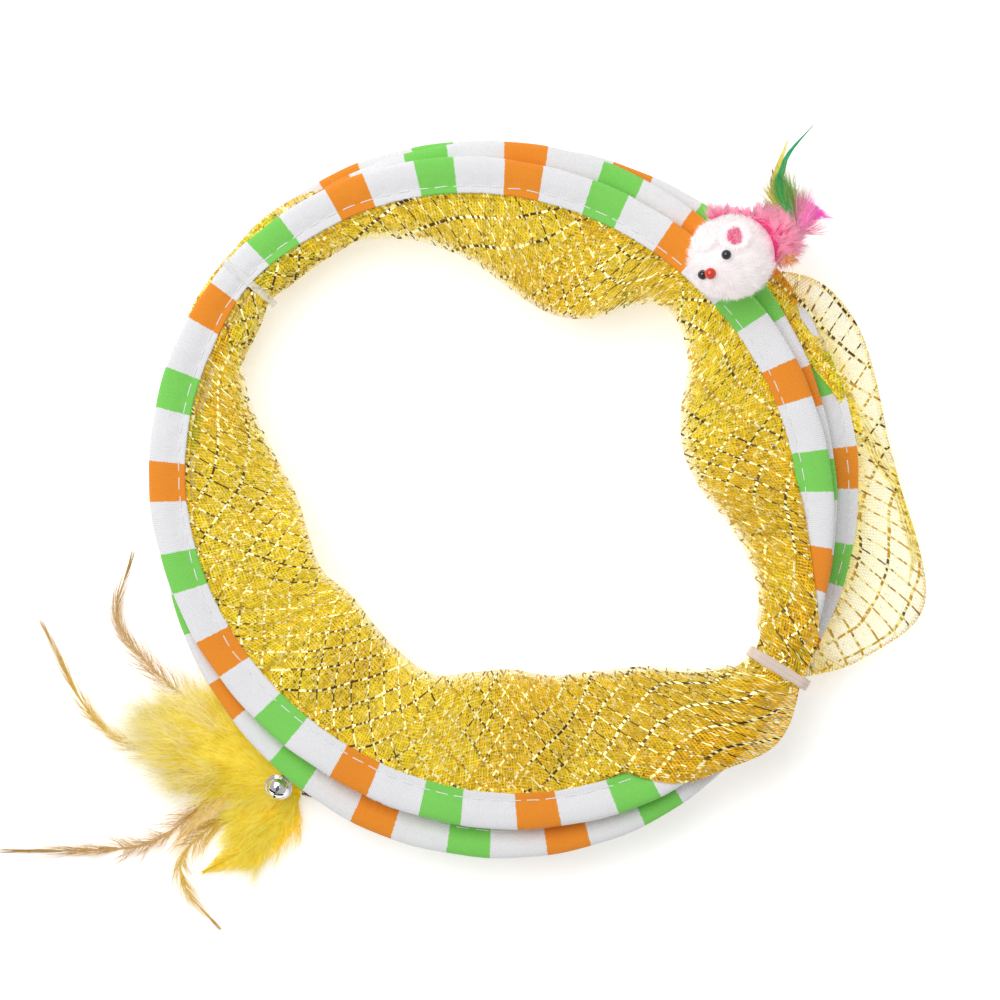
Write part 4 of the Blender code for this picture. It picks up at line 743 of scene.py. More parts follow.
def gold_gauze(settings):
    """Sheer gold gauze: a fine open weave crossed by a diagonal grid of twisting flat tinsel."""
    made, tree, shader = new_material("gold_gauze")
    cloth = cloth_place(tree)
    place = object_place(tree)
    gather = attribute(tree, "gather")
    moved = stray_place(tree, place, cloth, settings.waver)
    tinsel, facing, tinsel_colour = tinsel_grid(tree, moved, settings)
    weave = use_group(tree, crossed_threads, {"Place": cloth, "Pitch": settings.weave_pitch, "Fill": 0.58})
    threads = thread_gold(tree, place, gather, weave.outputs["Tone"], settings)
    colour = blend_colours(tree, tinsel, threads, tinsel_colour)
    lines, veil = crease_lines(tree, place)
    # Painted reflection on the crease's bunched threads, by how the tinsel faces the light.
    crease_colour = blend_colours(tree, facing, tuple(settings.middle), tuple(settings.gold))
    colour = blend_colours(tree, lines, colour, crease_colour)
    # Painted glints of the tinsel: bright specks where it catches the light, dark specks where it turns away.
    glint_noise = noise(tree, moved, 640.0, 1.0, 0.6)
    colour = blend_colours(tree, ease(tree, glint_noise, 0.655, 0.685, 0.0, 0.9), colour, (1.0, 0.98, 0.66))
    colour = blend_colours(tree, ease(tree, glint_noise, 0.330, 0.300, 0.0, 0.8), colour, tuple(settings.dark))
    cover = calc(tree, "MULTIPLY_ADD", weave.outputs["Mask"], 0.44, 0.06)
    thick = calc(tree, "ADD", calc(tree, "MULTIPLY", cover, gather), calc(tree, "MAXIMUM", lines, veil))
    alpha = calc(tree, "MAXIMUM", calc(tree, "MINIMUM", thick, 1.0), calc(tree, "MULTIPLY", tinsel, 0.95))
    height = calc(tree, "MAXIMUM", weave.outputs["Height"], calc(tree, "MULTIPLY", tinsel, 1.5))
    # The emission is painted light, standing in for light that comes up through the stacked layers.
    set_shader(
        tree, shader, Base_Color=colour, Alpha=alpha, Metallic=calc(tree, "MULTIPLY_ADD", tinsel, 0.25, 0.05),
        Roughness=calc(tree, "MULTIPLY_ADD", tinsel, -0.25, 0.5), Specular_IOR_Level=0.15,
        Emission_Color=colour, Emission_Strength=settings.glow, Normal=bump(tree, height, 0.15 * MM, 0.6),
    )
    return made


def elastic_band(name, colour, cover):
    """Elastic band with fine ribs along it, as see-through as its cover says."""
    made, tree, shader = new_material(name)
    cloth = cloth_place(tree)
    place = object_place(tree)
    weave = use_group(tree, crossed_threads, {"Place": cloth, "Pitch": 0.5 * MM, "Fill": 0.8})
    alpha = calc(tree, "MULTIPLY_ADD", weave.outputs["Mask"], 0.3 * cover, 0.7 * cover)
    set_shader(
        tree, shader, Base_Color=mottled(tree, tuple(colour), place, 0.2, 0.1), Roughness=0.4, Alpha=alpha,
        Normal=bump(tree, weave.outputs["Height"], 0.1 * MM, 0.4),
    )
    return made


def plush_fur(name, root, tip, glow, contrast=0.22):
    """Pile or down: darker at the roots, paler at the tips, each hair with a tone of its own.

    Its glow stands for the light that wanders about among the hairs.
    """
    made, tree, shader = new_material(name)
    place = object_place(tree)
    out = attribute(tree, "out")
    tone = attribute(tree, "tone")
    colour = blend_colours(tree, ease(tree, out, 0.0, 0.8), root, tip)
    patch = calc(tree, "MULTIPLY_ADD", noise(tree, place, 260.0, 2.0), contrast, 1.0 - contrast)
    value = calc(tree, "MULTIPLY_ADD", tone, contrast, patch)
    toned = add_node(tree, "ShaderNodeHueSaturation", {"Value": value, "Color": colour})
    set_shader(
        tree, shader, Base_Color=toned.outputs[0], Roughness=0.85, Sheen_Weight=0.08, Specular_IOR_Level=0.2,
        Emission_Color=toned.outputs[0], Emission_Strength=glow,
        Normal=bump(tree, noise(tree, place, 1400.0, 3.0), 0.3 * MM, 0.5),
    )
    return made


def dyed_feather(name, down, vane, tip, glow=0.16):
    """Feather: one colour in the down at its root, one in the vane, one at its tip, and a silky gloss. Its
    glow is painted light, standing in for light scattered among the barbs.
    """
    made, tree, shader = new_material(name)
    place = object_place(tree)
    out = attribute(tree, "out")
    tone = attribute(tree, "tone")
    lower = blend_colours(tree, ease(tree, tone, 0.12, 0.42), down, vane)
    upper = blend_colours(tree, ease(tree, tone, 0.70, 1.0), lower, tip)
    value = calc(tree, "MULTIPLY_ADD", noise(tree, place, 700.0, 3.0), 0.6, 0.72)
    value = calc(tree, "ADD", value, calc(tree, "MULTIPLY", out, 0.16))
    toned = add_node(tree, "ShaderNodeHueSaturation", {"Value": value, "Color": upper})
    rough = calc(tree, "MULTIPLY_ADD", noise(tree, place, 400.0), 0.3, 0.35)
    # The emission is painted light among the barbs.
    set_shader(
        tree, shader, Base_Color=toned.outputs[0], Roughness=rough, Sheen_Weight=0.1,
        Emission_Color=toned.outputs[0], Emission_Strength=glow,
        Normal=bump(tree, noise(tree, place, 2600.0, 2.0), 0.06 * MM, 0.4),
    )
    return made


def glossy_bead(name, colour):
    """Glass bead: a deep glossy colour with faint swirls and fine wear."""
    made, tree, shader = new_material(name)
    place = object_place(tree)
    rough = calc(tree, "MULTIPLY_ADD", noise(tree, place, 900.0, 3.0), 0.14, 0.05)
    set_shader(
        tree, shader, Base_Color=mottled(tree, colour, place, 0.5, 0.3), Roughness=rough, Coat_Weight=0.6,
        Coat_Roughness=0.04, Normal=bump(tree, noise(tree, place, 500.0, 1.0), 0.03 * MM, 0.5),
    )
    return made


def plated_metal(name, colour, roughness):
    """Plated or drawn metal with faint polishing marks and tarnish."""
    made, tree, shader = new_material(name)
    place = object_place(tree)
    tarnish = ease(tree, noise(tree, place, 300.0, 4.0), 0.35, 0.75)
    tone = blend_colours(tree, tarnish, colour, tuple(0.86 * part for part in colour))
    rough = calc(tree, "MULTIPLY_ADD", noise(tree, place, 1500.0, 3.0), roughness, 0.6 * roughness)
    set_shader(
        tree, shader, Base_Color=tone, Metallic=1.0, Roughness=rough,
        Normal=bump(tree, noise(tree, place, 420.0, 2.0), 0.02 * MM, 0.35),
    )
    return made


def spun_thread(name, dark, pale):
    """Spun thread: fibres of two tones, matt and a little hairy."""
    made, tree, shader = new_material(name)
    place = object_place(tree)
    fibres = noise(tree, place, 2200.0, 4.0, 0.7)
    colour = blend_colours(tree, ease(tree, fibres, 0.35, 0.65), dark, pale)
    set_shader(tree, shader, Base_Color=colour, Roughness=0.8, Normal=bump(tree, fibres, 0.12 * MM, 0.6))
    return made


# Casings

CASING_STATIONS = 740


def seam_rolled(seen):
    """How far the third casing's seam has rolled to its outer side, 0 to 1, by direction from the net."""
    start, full, leave, end = np.radians(SEAM_OUTSIDE)
    about = turn_between(seen, 0.0)
    return smooth_step(start, full, about) * (1.0 - smooth_step(leave, end, about))


def seam_side(index, angle):
    """0 where a casing's seam is on the inside, 1 where it has rolled to the outside."""
    return seam_rolled(net_angle(index, angle)) if index == 2 else np.zeros_like(angle)


def stitch_line(angle, index):
    """Distance of the stitches from the casing's middle, on the seam's own side: it wanders a little."""
    return -CASING_HALF + 2.8 * MM + 0.5 * MM * ripple(angle, (3, 5, 8), 20 + index)


def cloth_rise(angle, index, across, settings):
    """Half height of a casing, by angle and distance from its middle.

    A thin flange, a smooth swell up to the wire's room and a round nose. The seam sinks a groove, and
    the cloth beside it puckers between the stitches. Where the seam rolls over, the form is mirrored.
    """
    def form(away, wander):
        """Height over the middle of the cloth, at a place across the casing."""
        swell = smooth_step(-CASING_HALF + FLANGE_WIDTH, BULGE, away)
        nose = np.clip((away - BULGE) / (CASING_HALF - BULGE), 0.0, 1.0)
        body = FLANGE_RISE + (CASING_RISE - FLANGE_RISE) * swell
        body = body * np.sqrt(np.clip(1.0 - nose**3.2, 0.0, 1.0))
        off = away - wander
        groove = settings.pucker * np.exp(-((off / (0.55 * MM)) ** 2))
        stitches = ripple(angle, (107, 109, 54), 50 + index)
        pucker = 0.55 * settings.pucker * np.exp(-(((off - 1.6 * MM) / (1.5 * MM)) ** 2)) * stitches
        return body - groove + pucker

    wander = stitch_line(angle, index)
    side = seam_side(index, angle)
    slow = 0.10 * MM * ripple(angle, (17, 29, 41), 80 + index) * (1.0 - (across / CASING_HALF) ** 2)
    return (1.0 - side) * form(across, wander) + side * form(-across, wander) + slow


def build_casing(index, look, settings):
    """Make one casing: the closed outline of the folded cloth carried round its hoop.

    Columns run over the top from the lip to the nose, back underneath, and into the slit between the
    flanges. The u of the cloth pattern counts bands round the hoop and v is the distance across.
    """
    angle = np.arange(CASING_STATIONS + 1) * TURN / CASING_STATIONS
    flat = np.linspace(-CASING_HALF, BULGE, 14)
    nose = BULGE + (CASING_HALF - BULGE) * np.sin(np.linspace(0.0, math.pi / 2.0, 11)[1:])
    top = np.concatenate([flat, nose])
    across = np.concatenate([top, top[-2::-1], [-CASING_HALF, -CASING_HALF + 1.6 * MM, -CASING_HALF]])
    sign = np.concatenate([np.ones(len(top)), -np.ones(len(top) - 1), [-1.0, 0.0, 1.0]])
    station = angle[:-1, None]
    spread = np.broadcast_to(across, (CASING_STATIONS, len(across)))
    rise = cloth_rise(station, index, spread, settings) * sign
    slit = np.array([-0.5, 0.0, 0.5]) * MM
    least = np.abs(rise[:, :1]) * 0.6
    rise[:, -3:] = np.clip(slit, -least, least)
    random = np.random.default_rng(300 + index)
    frayed = random.normal(0.0, 0.10 * MM, (CASING_STATIONS, 1)) * (np.abs(across + CASING_HALF) < 0.1 * MM)
    edge = 0.18 * MM * ripple(station, (9, 16, 31), 110 + index) * smooth_step(0.0, CASING_HALF, spread)
    points = hoop_points(index, station, spread + frayed + edge, rise)
    bands = np.broadcast_to(band_place(index, angle)[:, None], (CASING_STATIONS + 1, len(across) + 1))
    over = np.broadcast_to(np.append(across, across[0]) + 2.0 * CASING_HALF, bands.shape)
    uv = np.stack([bands + 2.0 * STRIPES_ROUND, over], axis=-1)
    mesh = grid_mesh(f"hoop_{index + 1}_striped_casing", points[None], (True, True), uv[None])
    return add_piece(mesh, [look])


def build_stitches(index, look, settings):
    """Make a casing's seam: short rods of thread above and below, whose ends dip into the cloth."""
    count = round(TURN * (HOOP_RADIUS - CASING_HALF) / settings.stitch_pitch)
    middles = np.arange(count) * TURN / count
    reach = settings.stitch_length / 2.0 / HOOP_RADIUS
    share = np.linspace(-1.0, 1.0, 7)
    angle = middles[:, None] + share * reach
    side = seam_side(index, angle)
    random = np.random.default_rng(400 + index)
    tilt = random.normal(0.0, 0.10 * MM, (count, 1)) * share
    across = stitch_line(angle, index) * np.where(side > 0.5, -1.0, 1.0) + tilt
    rise = cloth_rise(angle, index, across, settings)
    lift = rise + settings.stitch_radius * (0.9 - 2.4 * np.abs(share) ** 5)
    paths = np.concatenate([
        hoop_points(index, angle, across, lift),
        hoop_points(index, angle, across, -lift),
    ])
    points = tube_points(paths, settings.stitch_radius, 6)
    mesh = grid_mesh(f"hoop_{index + 1}_seam_stitches", points, (False, True), caps=True)
    return add_piece(mesh, [look])


# Gauze

GAUZE_STATIONS = 840
GAUZE_ROWS = 72


def gather_wave(angle):
    """Up and down wave of the gathers, from -1 to 1, uneven round the ring."""
    return 0.62 * np.sin(13.0 * angle + 0.8) + 0.38 * np.sin(7.0 * angle + 2.1)


def between_hoops(section, angle, reach):
    """Height halfway between the casings below and above a section, at a distance from the middle."""
    below, low = seen_from_net(section, angle, 0)
    above, high = seen_from_net(section + 1, angle, 0)
    return (low + casing_room(reach - below, angle) + high - casing_room(reach - above, angle)) / 2.0


def casing_room(away, angle):
    """Half height that a casing takes at a distance from its middle, 0 beyond its edges."""
    away = np.where(away < 0.0, away / slack(angle), away)
    keys = (-CASING_HALF, -CASING_HALF + FLANGE_WIDTH, BULGE, 4.68 * MM, CASING_HALF)
    return np.interp(away, keys, (FLANGE_RISE, FLANGE_RISE, CASING_RISE, CASING_RISE, 0.0))


def fold_distance(section, angle, lip):
    """Distance of a section's inner fold from the net's middle: a tie pulls it out to the casing's lip."""
    shrink = SHRINK_SHARES[section] * (1.0 + 0.35 * np.sin(3.0 * angle + section))
    share = closed_curve(FOLD_REACH_SHARES, angle) + shrink
    tied = sum(near_tie(angle, number, TIED_FOLD_SPREAD) for number in range(len(TIE_ANGLES)))
    share = share + (1.0 - share) * tied
    return np.minimum(share * HOOP_RADIUS, lip - LEAST_FOLD + (LEAST_FOLD - TIED_FOLD) * tied)


def gauze_reach(section, angle, lip):
    """How far out a section's outer fold comes: just to the lip, or out to its lobe's edge."""
    lobes = {1: SIDE_LOBE_SHARES, 2: EDGE_PEEP_SHARES, 3: OVER_LOBE_SHARES}
    reach = lip - 0.6 * MM
    if section in lobes:
        reach = np.maximum(reach, span_curve(lobes[section], angle, 0.0) * HOOP_RADIUS)
    return reach


def lower_sheet(section, angle):
    """Lines of the sheet from the slit of the lower hoop in to the fold, and back out to the next lip."""
    lip, base = seen_from_net(section, angle, -1)
    upper_lip, roof = seen_from_net(section + 1, angle, -1)
    gap = roof - base
    fold = fold_distance(section, angle, np.minimum(lip, upper_lip))
    depth = np.clip((lip - fold) / DEEP_FOLD, 0.0, 1.0)
    nearest = np.minimum(*[np.abs(turn_between(angle, tie)) for tie in TIE_ANGLES])
    wave = BILLOW * depth * np.clip(nearest / TIE_LIFT_SPREAD, 0.0, 1.0) * gather_wave(angle)
    low = fold + 0.52 * (lip - fold)
    high = fold + 0.55 * (upper_lip - fold)
    turn = np.minimum(3.0 * MM, 0.3 * (lip - fold))
    return [
        (lip + HEM_IN_SLIT * slack(angle), base + 0.2 * MM),
        (lip - 1.0 * MM, base + 0.2 * MM),
        (low, base + 0.06 * gap + wave),
        (fold + turn, base + 0.26 * gap + 0.8 * wave),
        (fold, base + 0.42 * gap + 0.7 * wave),
        (fold + turn, base + 0.58 * gap + 0.8 * wave),
        (high, base + 0.72 * gap + wave),
    ]


def gauze_lines(section, angle):
    """Control lines of a folded section, as an array (line, angle, reach and height).

    The cloth leaves the slit of its lower hoop, runs in to the inner fold and back out between the hoops
    to its outer fold, and returns to the slit of its upper hoop. The fourth section's outer part lies
    over the top hoop instead. The second section's way back lies on top of the third hoop, whose seam it
    follows from the inner side over the top to the outer side.
    """
    base = seen_from_net(section, angle, -1)[1]
    upper_lip, roof = seen_from_net(section + 1, angle, -1)
    upper, rise = seen_from_net(section + 1, angle, 0)
    edge = seen_from_net(section + 1, angle, 1)[0]
    outer = np.maximum(seen_from_net(section, angle, 1)[0], edge) + 2.0 * MM
    rolled = seam_rolled(angle) if section == 1 else np.zeros_like(angle)
    loose = smooth_step(0.0, 0.15, rolled)
    hem = upper_lip + HEM_IN_SLIT * slack(angle)
    hem = hem + (edge - HEM_IN_SLIT - hem) * rolled
    start = upper_lip - 1.6 * MM
    back = start + (hem + 2.4 * MM - start) * loose
    reach = np.maximum(gauze_reach(section, angle, upper_lip), back + 0.4 * MM)
    over = span_curve(OVER_RAMP, angle, 0.0) if section == 3 else np.zeros_like(angle)
    on_top = span_curve(ON_THIRD_HOOP, angle, 0.0) if section == 1 else np.zeros_like(angle)
    bare = 1.0 - smooth_step(0.80, 1.0, rolled)

    def run_height(place, shift):
        """Height of a way out, at a place along the reach, a little under or over its middle."""
        fall = np.clip((place - outer) / LOBE_FALL_LENGTH, 0.0, 1.0)
        under = between_hoops(section, angle, np.minimum(place, outer))
        under = under + (SIDE_LOBE_HEIGHT - under) * fall + shift * (1.0 + 4.0 * fall)
        top_edge = seen_from_net(4, angle, 0)[0]
        above = roof + casing_room(place - top_edge, angle) + 1.1 * MM + shift
        rest = np.clip((place - top_edge - CASING_HALF) / LOBE_FALL_LENGTH, 0.0, 1.0)
        above = np.maximum(above, roof + 1.2 * MM) - 5.0 * MM * rest
        inside = base + (0.70 if shift < 0.0 else 0.86) * (roof - base)
        near = smooth_step(0.0, 4.0 * MM, place - start)
        under = inside + (under - inside) * near
        return under + (above - under) * over

    def back_height(place):
        """Height of the way back, which lies on the third hoop for a part of the round."""
        lying = rise + (casing_room(place - upper, angle) + 0.90 * MM) * bare
        here = on_top * (1.0 - smooth_step(0.5 * MM, 9.0 * MM, place - edge))
        low = run_height(place, SHEET_ROOM)
        return low + (lying - low) * here

    lines = lower_sheet(section, angle)
    for share in (0.0, 0.15, 0.35, 0.55, 0.78, 1.0):
        place = start + (reach - start) * share
        lines.append((place, run_height(place, -SHEET_ROOM)))
    for share in (0.80, 0.55, 0.30, 0.10):
        place = back + (reach - back) * share
        lines.append((place, back_height(place)))
    turn_reach = upper_lip - 1.2 * MM
    turn_height = roof - 0.4 * MM + over * 0.9 * MM + on_top * 0.8 * MM
    hem_room = (casing_room(hem - upper, angle) + 0.70 * MM) * bare
    lines.append((
        turn_reach + (hem + 1.2 * MM - turn_reach) * loose,
        turn_height + (rise + hem_room - turn_height) * loose,
    ))
    lines.append((hem, roof - 0.2 * MM + (rise + hem_room - roof + 0.2 * MM) * loose))
    return np.stack([np.stack(np.broadcast_arrays(*line), axis=-1) for line in lines])


def gauze_texture_length(section, angle, cell):
    """Length of cloth round the ring up to each angle: more where a lobe is pulled out.

    The whole length is a whole number of pattern repeats, so that the grid closes.
    """
    reach = np.full_like(angle, HOOP_RADIUS)
    if section == 1:
        reach = reach + 0.28 * HOOP_RADIUS * span_curve(
            ((-40.0, 0.0), (-30.0, 1.0), (36.0, 1.0), (46.0, 0.0)), angle, 0.0
        )
    step = np.diff(angle, append=angle[0] + TURN)
    length = np.concatenate([[0.0], np.cumsum(reach * step)])
    repeat = cell * math.sqrt(2.0)
    return length * round(length[-1] / repeat) * repeat / length[-1]


def gauze_gather(section, angle, reach, crowd):
    """How much the cloth is gathered, by place: 1 is flat cloth, more is denser.

    The crowding of the threads gives most of it. A lobe is thin but for its folded edge, the layers over
    the top hoop are dense, and the innermost fold is thin.
    """
    edge = seen_from_net(min(section + 1, 4), angle, 1)[0]
    furthest = reach.max(axis=0)
    fold = reach[8:40].min(axis=0)
    out = smooth_step(-1.0 * MM, 5.0 * MM, reach - edge)
    rim = np.exp(-(((furthest - reach) / (1.1 * MM)) ** 2))
    thin = crowd * (1.0 - 0.55 * np.exp(-(((reach - fold) / (2.4 * MM)) ** 2)))
    thin = thin + 0.5 * np.exp(-(((reach - edge + 2.0 * CASING_HALF) / (7.0 * MM)) ** 2))
    if section == 1:
        degrees = np.degrees(turn_between(angle, 0.0))
        bunched = smooth_step(31.0, 39.0, degrees) + (1.0 - smooth_step(-29.0, -24.0, degrees))
        return thin * (1.0 - 0.56 * out) + out * (0.8 * rim + 1.1 * bunched)
    if section == 2:
        return thin + 1.2 * out
    if section == 3:
        return thin + 2.0 * smooth_step(-CASING_HALF * 2.0, -CASING_HALF, reach - edge)
    return thin


def gauze_crease(section, angle, reach):
    """Distance of each place from the crease in the side lobe, in millimetres, and far off elsewhere.

    Divided by how much of the crease is left, so that its lines narrow to nothing at both ends.
    """
    if section != 1:
        return np.full(reach.shape, 90.0)
    keys, shares = np.array(CREASE_SHARES).T
    degrees = np.degrees(turn_between(angle, 0.0))
    away = reach - np.interp(degrees, keys, shares) * HOOP_RADIUS
    along = smooth_step(-14.0, -2.0, degrees) * (1.0 - smooth_step(34.0, 42.0, degrees))
    return away / MM / np.maximum(along, 0.02)


def build_gauze(section, look, settings):
    """Make one gauze section: smooth curves through its control lines, with gathers and fine pleats.

    Rows run along the cloth from the lower hem to the upper one, columns round the ring. The pleats are
    waves round the ring, tied down at the hems and folds, the same in every section so that the sheets
    don't cross. The cloth pattern runs on round the inner fold, so the grids there cross, and back on
    itself at the outer one, so the two layers of a lobe lie in register.
    """
    angle = np.arange(GAUZE_STATIONS) * TURN / GAUZE_STATIONS
    curves = spline(gauze_lines(section, angle), GAUZE_ROWS)
    reach, height = curves[..., 0], curves[..., 1]
    lip = seen_from_net(section, angle, -1)[0]
    inward = np.clip((lip - reach) / (30.0 * MM), 0.0, 1.0)
    free = smooth_step(0.0, 0.35, inward) * (1.0 - 0.7 * smooth_step(0.6, 1.0, inward))
    twist = angle + 0.25 * inward * np.sin(3.0 * angle + 1.0)
    pleats = 0.42 * MM * ripple(twist, (43, 57, 71), 7) + 0.16 * MM * ripple(twist, (113, 139, 171), 8)
    nearest = np.minimum(*[np.abs(turn_between(angle, tie)) for tie in TIE_ANGLES])
    height = height + pleats * free * smooth_step(0.0, TIE_LIFT_SPREAD, nearest)
    x = NET_MIDDLE[0] + reach * np.cos(angle)
    y = NET_MIDDLE[1] + reach * np.sin(angle)
    points = np.stack([x, y, height], axis=-1)
    run = np.diff(reach, axis=0)
    returning = (run < 0.0) & (np.arange(GAUZE_ROWS - 1)[:, None] > GAUZE_ROWS // 2)
    steps = np.hypot(run, 0.5 * np.diff(height, axis=0)) * np.where(returning, -1.0, 1.0)
    along = np.concatenate([np.zeros((1, GAUZE_STATIONS)), np.cumsum(steps, axis=0)])
    round_length = gauze_texture_length(section, angle, settings.cell)
    u = np.broadcast_to(round_length, (GAUZE_ROWS, GAUZE_STATIONS + 1))
    v = np.concatenate([along, along[:, :1]], axis=1)
    uv = np.stack([u, v + 3.1 * MM * section], axis=-1)
    mesh = grid_mesh(f"gauze_section_{section + 1}", points[None], (False, True), uv[None])
    width = np.linalg.norm(np.roll(points, -1, axis=1) - points, axis=-1)
    crowd = np.clip(np.diff(round_length) / np.maximum(width, 1e-6), 0.6, 2.6)
    point_values(mesh, "gather", gauze_gather(section, angle, reach, soften(crowd.T, 3).T))
    point_values(mesh, "crease", gauze_crease(section, angle, reach))
    piece = add_piece(mesh, [look])
    area = sum(polygon.area for polygon in mesh.polygons)
    return piece, float(round_length[-1]), float(area)


# Ties

TIE_BEND = 3.0 * MM
TIE_REACH_IN = 5.4 * MM
TIE_REACH_OUT = (2.0 * MM, 3.5 * MM)
TIE_HALF_THICKNESS = 0.3 * MM


def tie_frame(number):
    """Inner end, outer end, bottom and top of the frame that a tie makes round the casings."""
    angle = np.array([TIE_ANGLES[number]])
    lips = [seen_from_net(index, angle, -1)[0][0] for index in range(len(HOOPS))]
    edges = [seen_from_net(index, angle, 1)[0][0] for index in range(len(HOOPS))]
    floor = hoop_height(0, angle)[0] - CASING_RISE - 0.3 * MM
    roof = hoop_height(len(HOOPS) - 1, angle)[0] + CASING_RISE + 1.8 * MM
    return min(lips) - TIE_REACH_IN, max(edges) + TIE_REACH_OUT[number], floor, roof


def build_tie(number, look, width):
    """Make one elastic tie: a flat band with round edges, carried round a frame with round corners.

    Its width wavers a little along the way, as a stretched band's does.
    """
    near, far, floor, roof = tie_frame(number)
    arc = np.radians(np.linspace(0.0, 90.0, 9))
    turns = np.concatenate([arc - math.pi / 2.0, arc, arc + math.pi / 2.0, arc + math.pi])
    corner_reach = np.repeat([far - TIE_BEND, far - TIE_BEND, near + TIE_BEND, near + TIE_BEND], 9)
    corner_up = np.repeat([floor + TIE_BEND, roof - TIE_BEND, roof - TIE_BEND, floor + TIE_BEND], 9)
    out = np.stack([np.cos(turns), np.sin(turns)], axis=-1)
    path = np.stack([corner_reach, corner_up], axis=-1) + out * TIE_BEND
    ends = np.concatenate([path, path[:1]])
    steps = np.concatenate([[0.0], np.cumsum(np.linalg.norm(np.diff(ends, axis=0), axis=1))])
    even = np.linspace(0.0, steps[-1], 161)[:-1]
    path = np.stack([np.interp(even, steps, ends[:, axis]) for axis in (0, 1)], axis=-1)
    outs = np.concatenate([out, out[:1]])
    out = np.stack([np.interp(even, steps, outs[:, axis]) for axis in (0, 1)], axis=-1)
    out /= np.linalg.norm(out, axis=1, keepdims=True)
    spin = -np.arange(20) * TURN / 20
    waver = 1.0 + 0.05 * np.sin(TURN * even / steps[-1] * 5.0) + 0.03 * np.sin(TURN * even / steps[-1] * 11.0)
    side = np.sign(np.cos(spin)) * np.abs(np.cos(spin)) ** 0.5 * width / 2.0 * waver[:, None]
    thick = np.sin(spin) * TIE_HALF_THICKNESS + TIE_HALF_THICKNESS + 0.03 * MM * np.sin(9.0 * spin)
    angle = TIE_ANGLES[number]
    reach = path[:, :1] + out[:, :1] * thick
    height = path[:, 1:] + out[:, 1:] * thick
    points = np.stack([
        NET_MIDDLE[0] + reach * math.cos(angle) - side * math.sin(angle),
        NET_MIDDLE[1] + reach * math.sin(angle) + side * math.cos(angle),
        height,
    ], axis=-1)
    run = np.append(even, steps[-1])[:, None]
    around = np.append(spin, -TURN)[None] * width / math.pi
    uv = np.stack(np.broadcast_arrays(run, around), axis=-1)
    mesh = grid_mesh(f"elastic_tie_{number + 1}", points[None], (True, True), uv[None])
    return add_piece(mesh, [look])


# Hair and feathers

def unit(vectors):
    """Vectors scaled to length one along the last axis."""
    return vectors / np.maximum(np.linalg.norm(vectors, axis=-1, keepdims=True), 1e-12)


def hair_paths(roots, aims, lengths, bends, rows):
    """Paths of many hairs: straight along their aims, bent by a pull that grows as the way squared."""
    share = np.linspace(0.0, 1.0, rows)[None, :, None]
    return roots[:, None] + lengths[:, None, None] * (aims[:, None] * share + bends[:, None] * share**2)


def build_hair(name, paths, radius, looks, soft=None, tone=None):
    """Make hairs with three sides each, which taper to a fine tip.

    Attributes hold how far along each hair a point is, and a tone of its own for each hair. Soft gives
    each hair the shading direction of the surface that it grows on, so the pile shades as one.
    """
    count, rows = paths.shape[:2]
    share = np.linspace(0.0, 1.0, rows)
    taper = np.reshape(radius, (-1, 1)) * (1.0 - 0.88 * share**1.6)
    points = tube_points(paths, np.broadcast_to(taper, (count, rows)), 3)
    mesh = grid_mesh(name, points, (False, True), caps=True)
    point_values(mesh, "out", np.broadcast_to(share[None, :, None], (count, rows, 3)))
    tone = np.full(count, 0.5) if tone is None else tone
    point_values(mesh, "tone", np.broadcast_to(tone[:, None, None], (count, rows, 3)))
    if soft is not None:
        mesh.normals_split_custom_set_from_vertices(np.repeat(soft, rows * 3, axis=0))
    return add_piece(mesh, looks)


def along_path(path, share):
    """Read a path, whose points are at even steps, at shares of its length."""
    at = np.clip(share, 0.0, 1.02) * (len(path) - 1)
    start = np.clip(np.floor(at).astype(int), 0, len(path) - 2)
    part = (at - start)[..., None]
    return path[start] * (1.0 - part) + path[start + 1] * part


def level_sides(path):
    """Level direction square to a path, at each of its points."""
    along = np.gradient(path, axis=0)
    return unit(np.stack([-along[:, 1], along[:, 0], np.zeros(len(path))], axis=1))


def barb_paths(path, share, side, reach, forward, lift, rows):
    """Barbs of a feather: each leaves the quill sideways and bends towards the tip.

    The sideways offset of a point at s is reach * (1 - (1 - s)^1.7), and its place along the quill is
    share + forward * s, so that barbs follow the curve of their quill.
    """
    s = np.linspace(0.0, 1.0, rows)
    place = share[:, None] + forward[:, None] * s
    points = along_path(path, place)
    across = along_path(level_sides(path), np.clip(place, 0.0, 1.0))
    points = points + across * ((side * reach)[:, None] * (1.0 - (1.0 - s) ** 1.7))[..., None]
    points[..., 2] += lift[:, None] * s**1.5
    return points


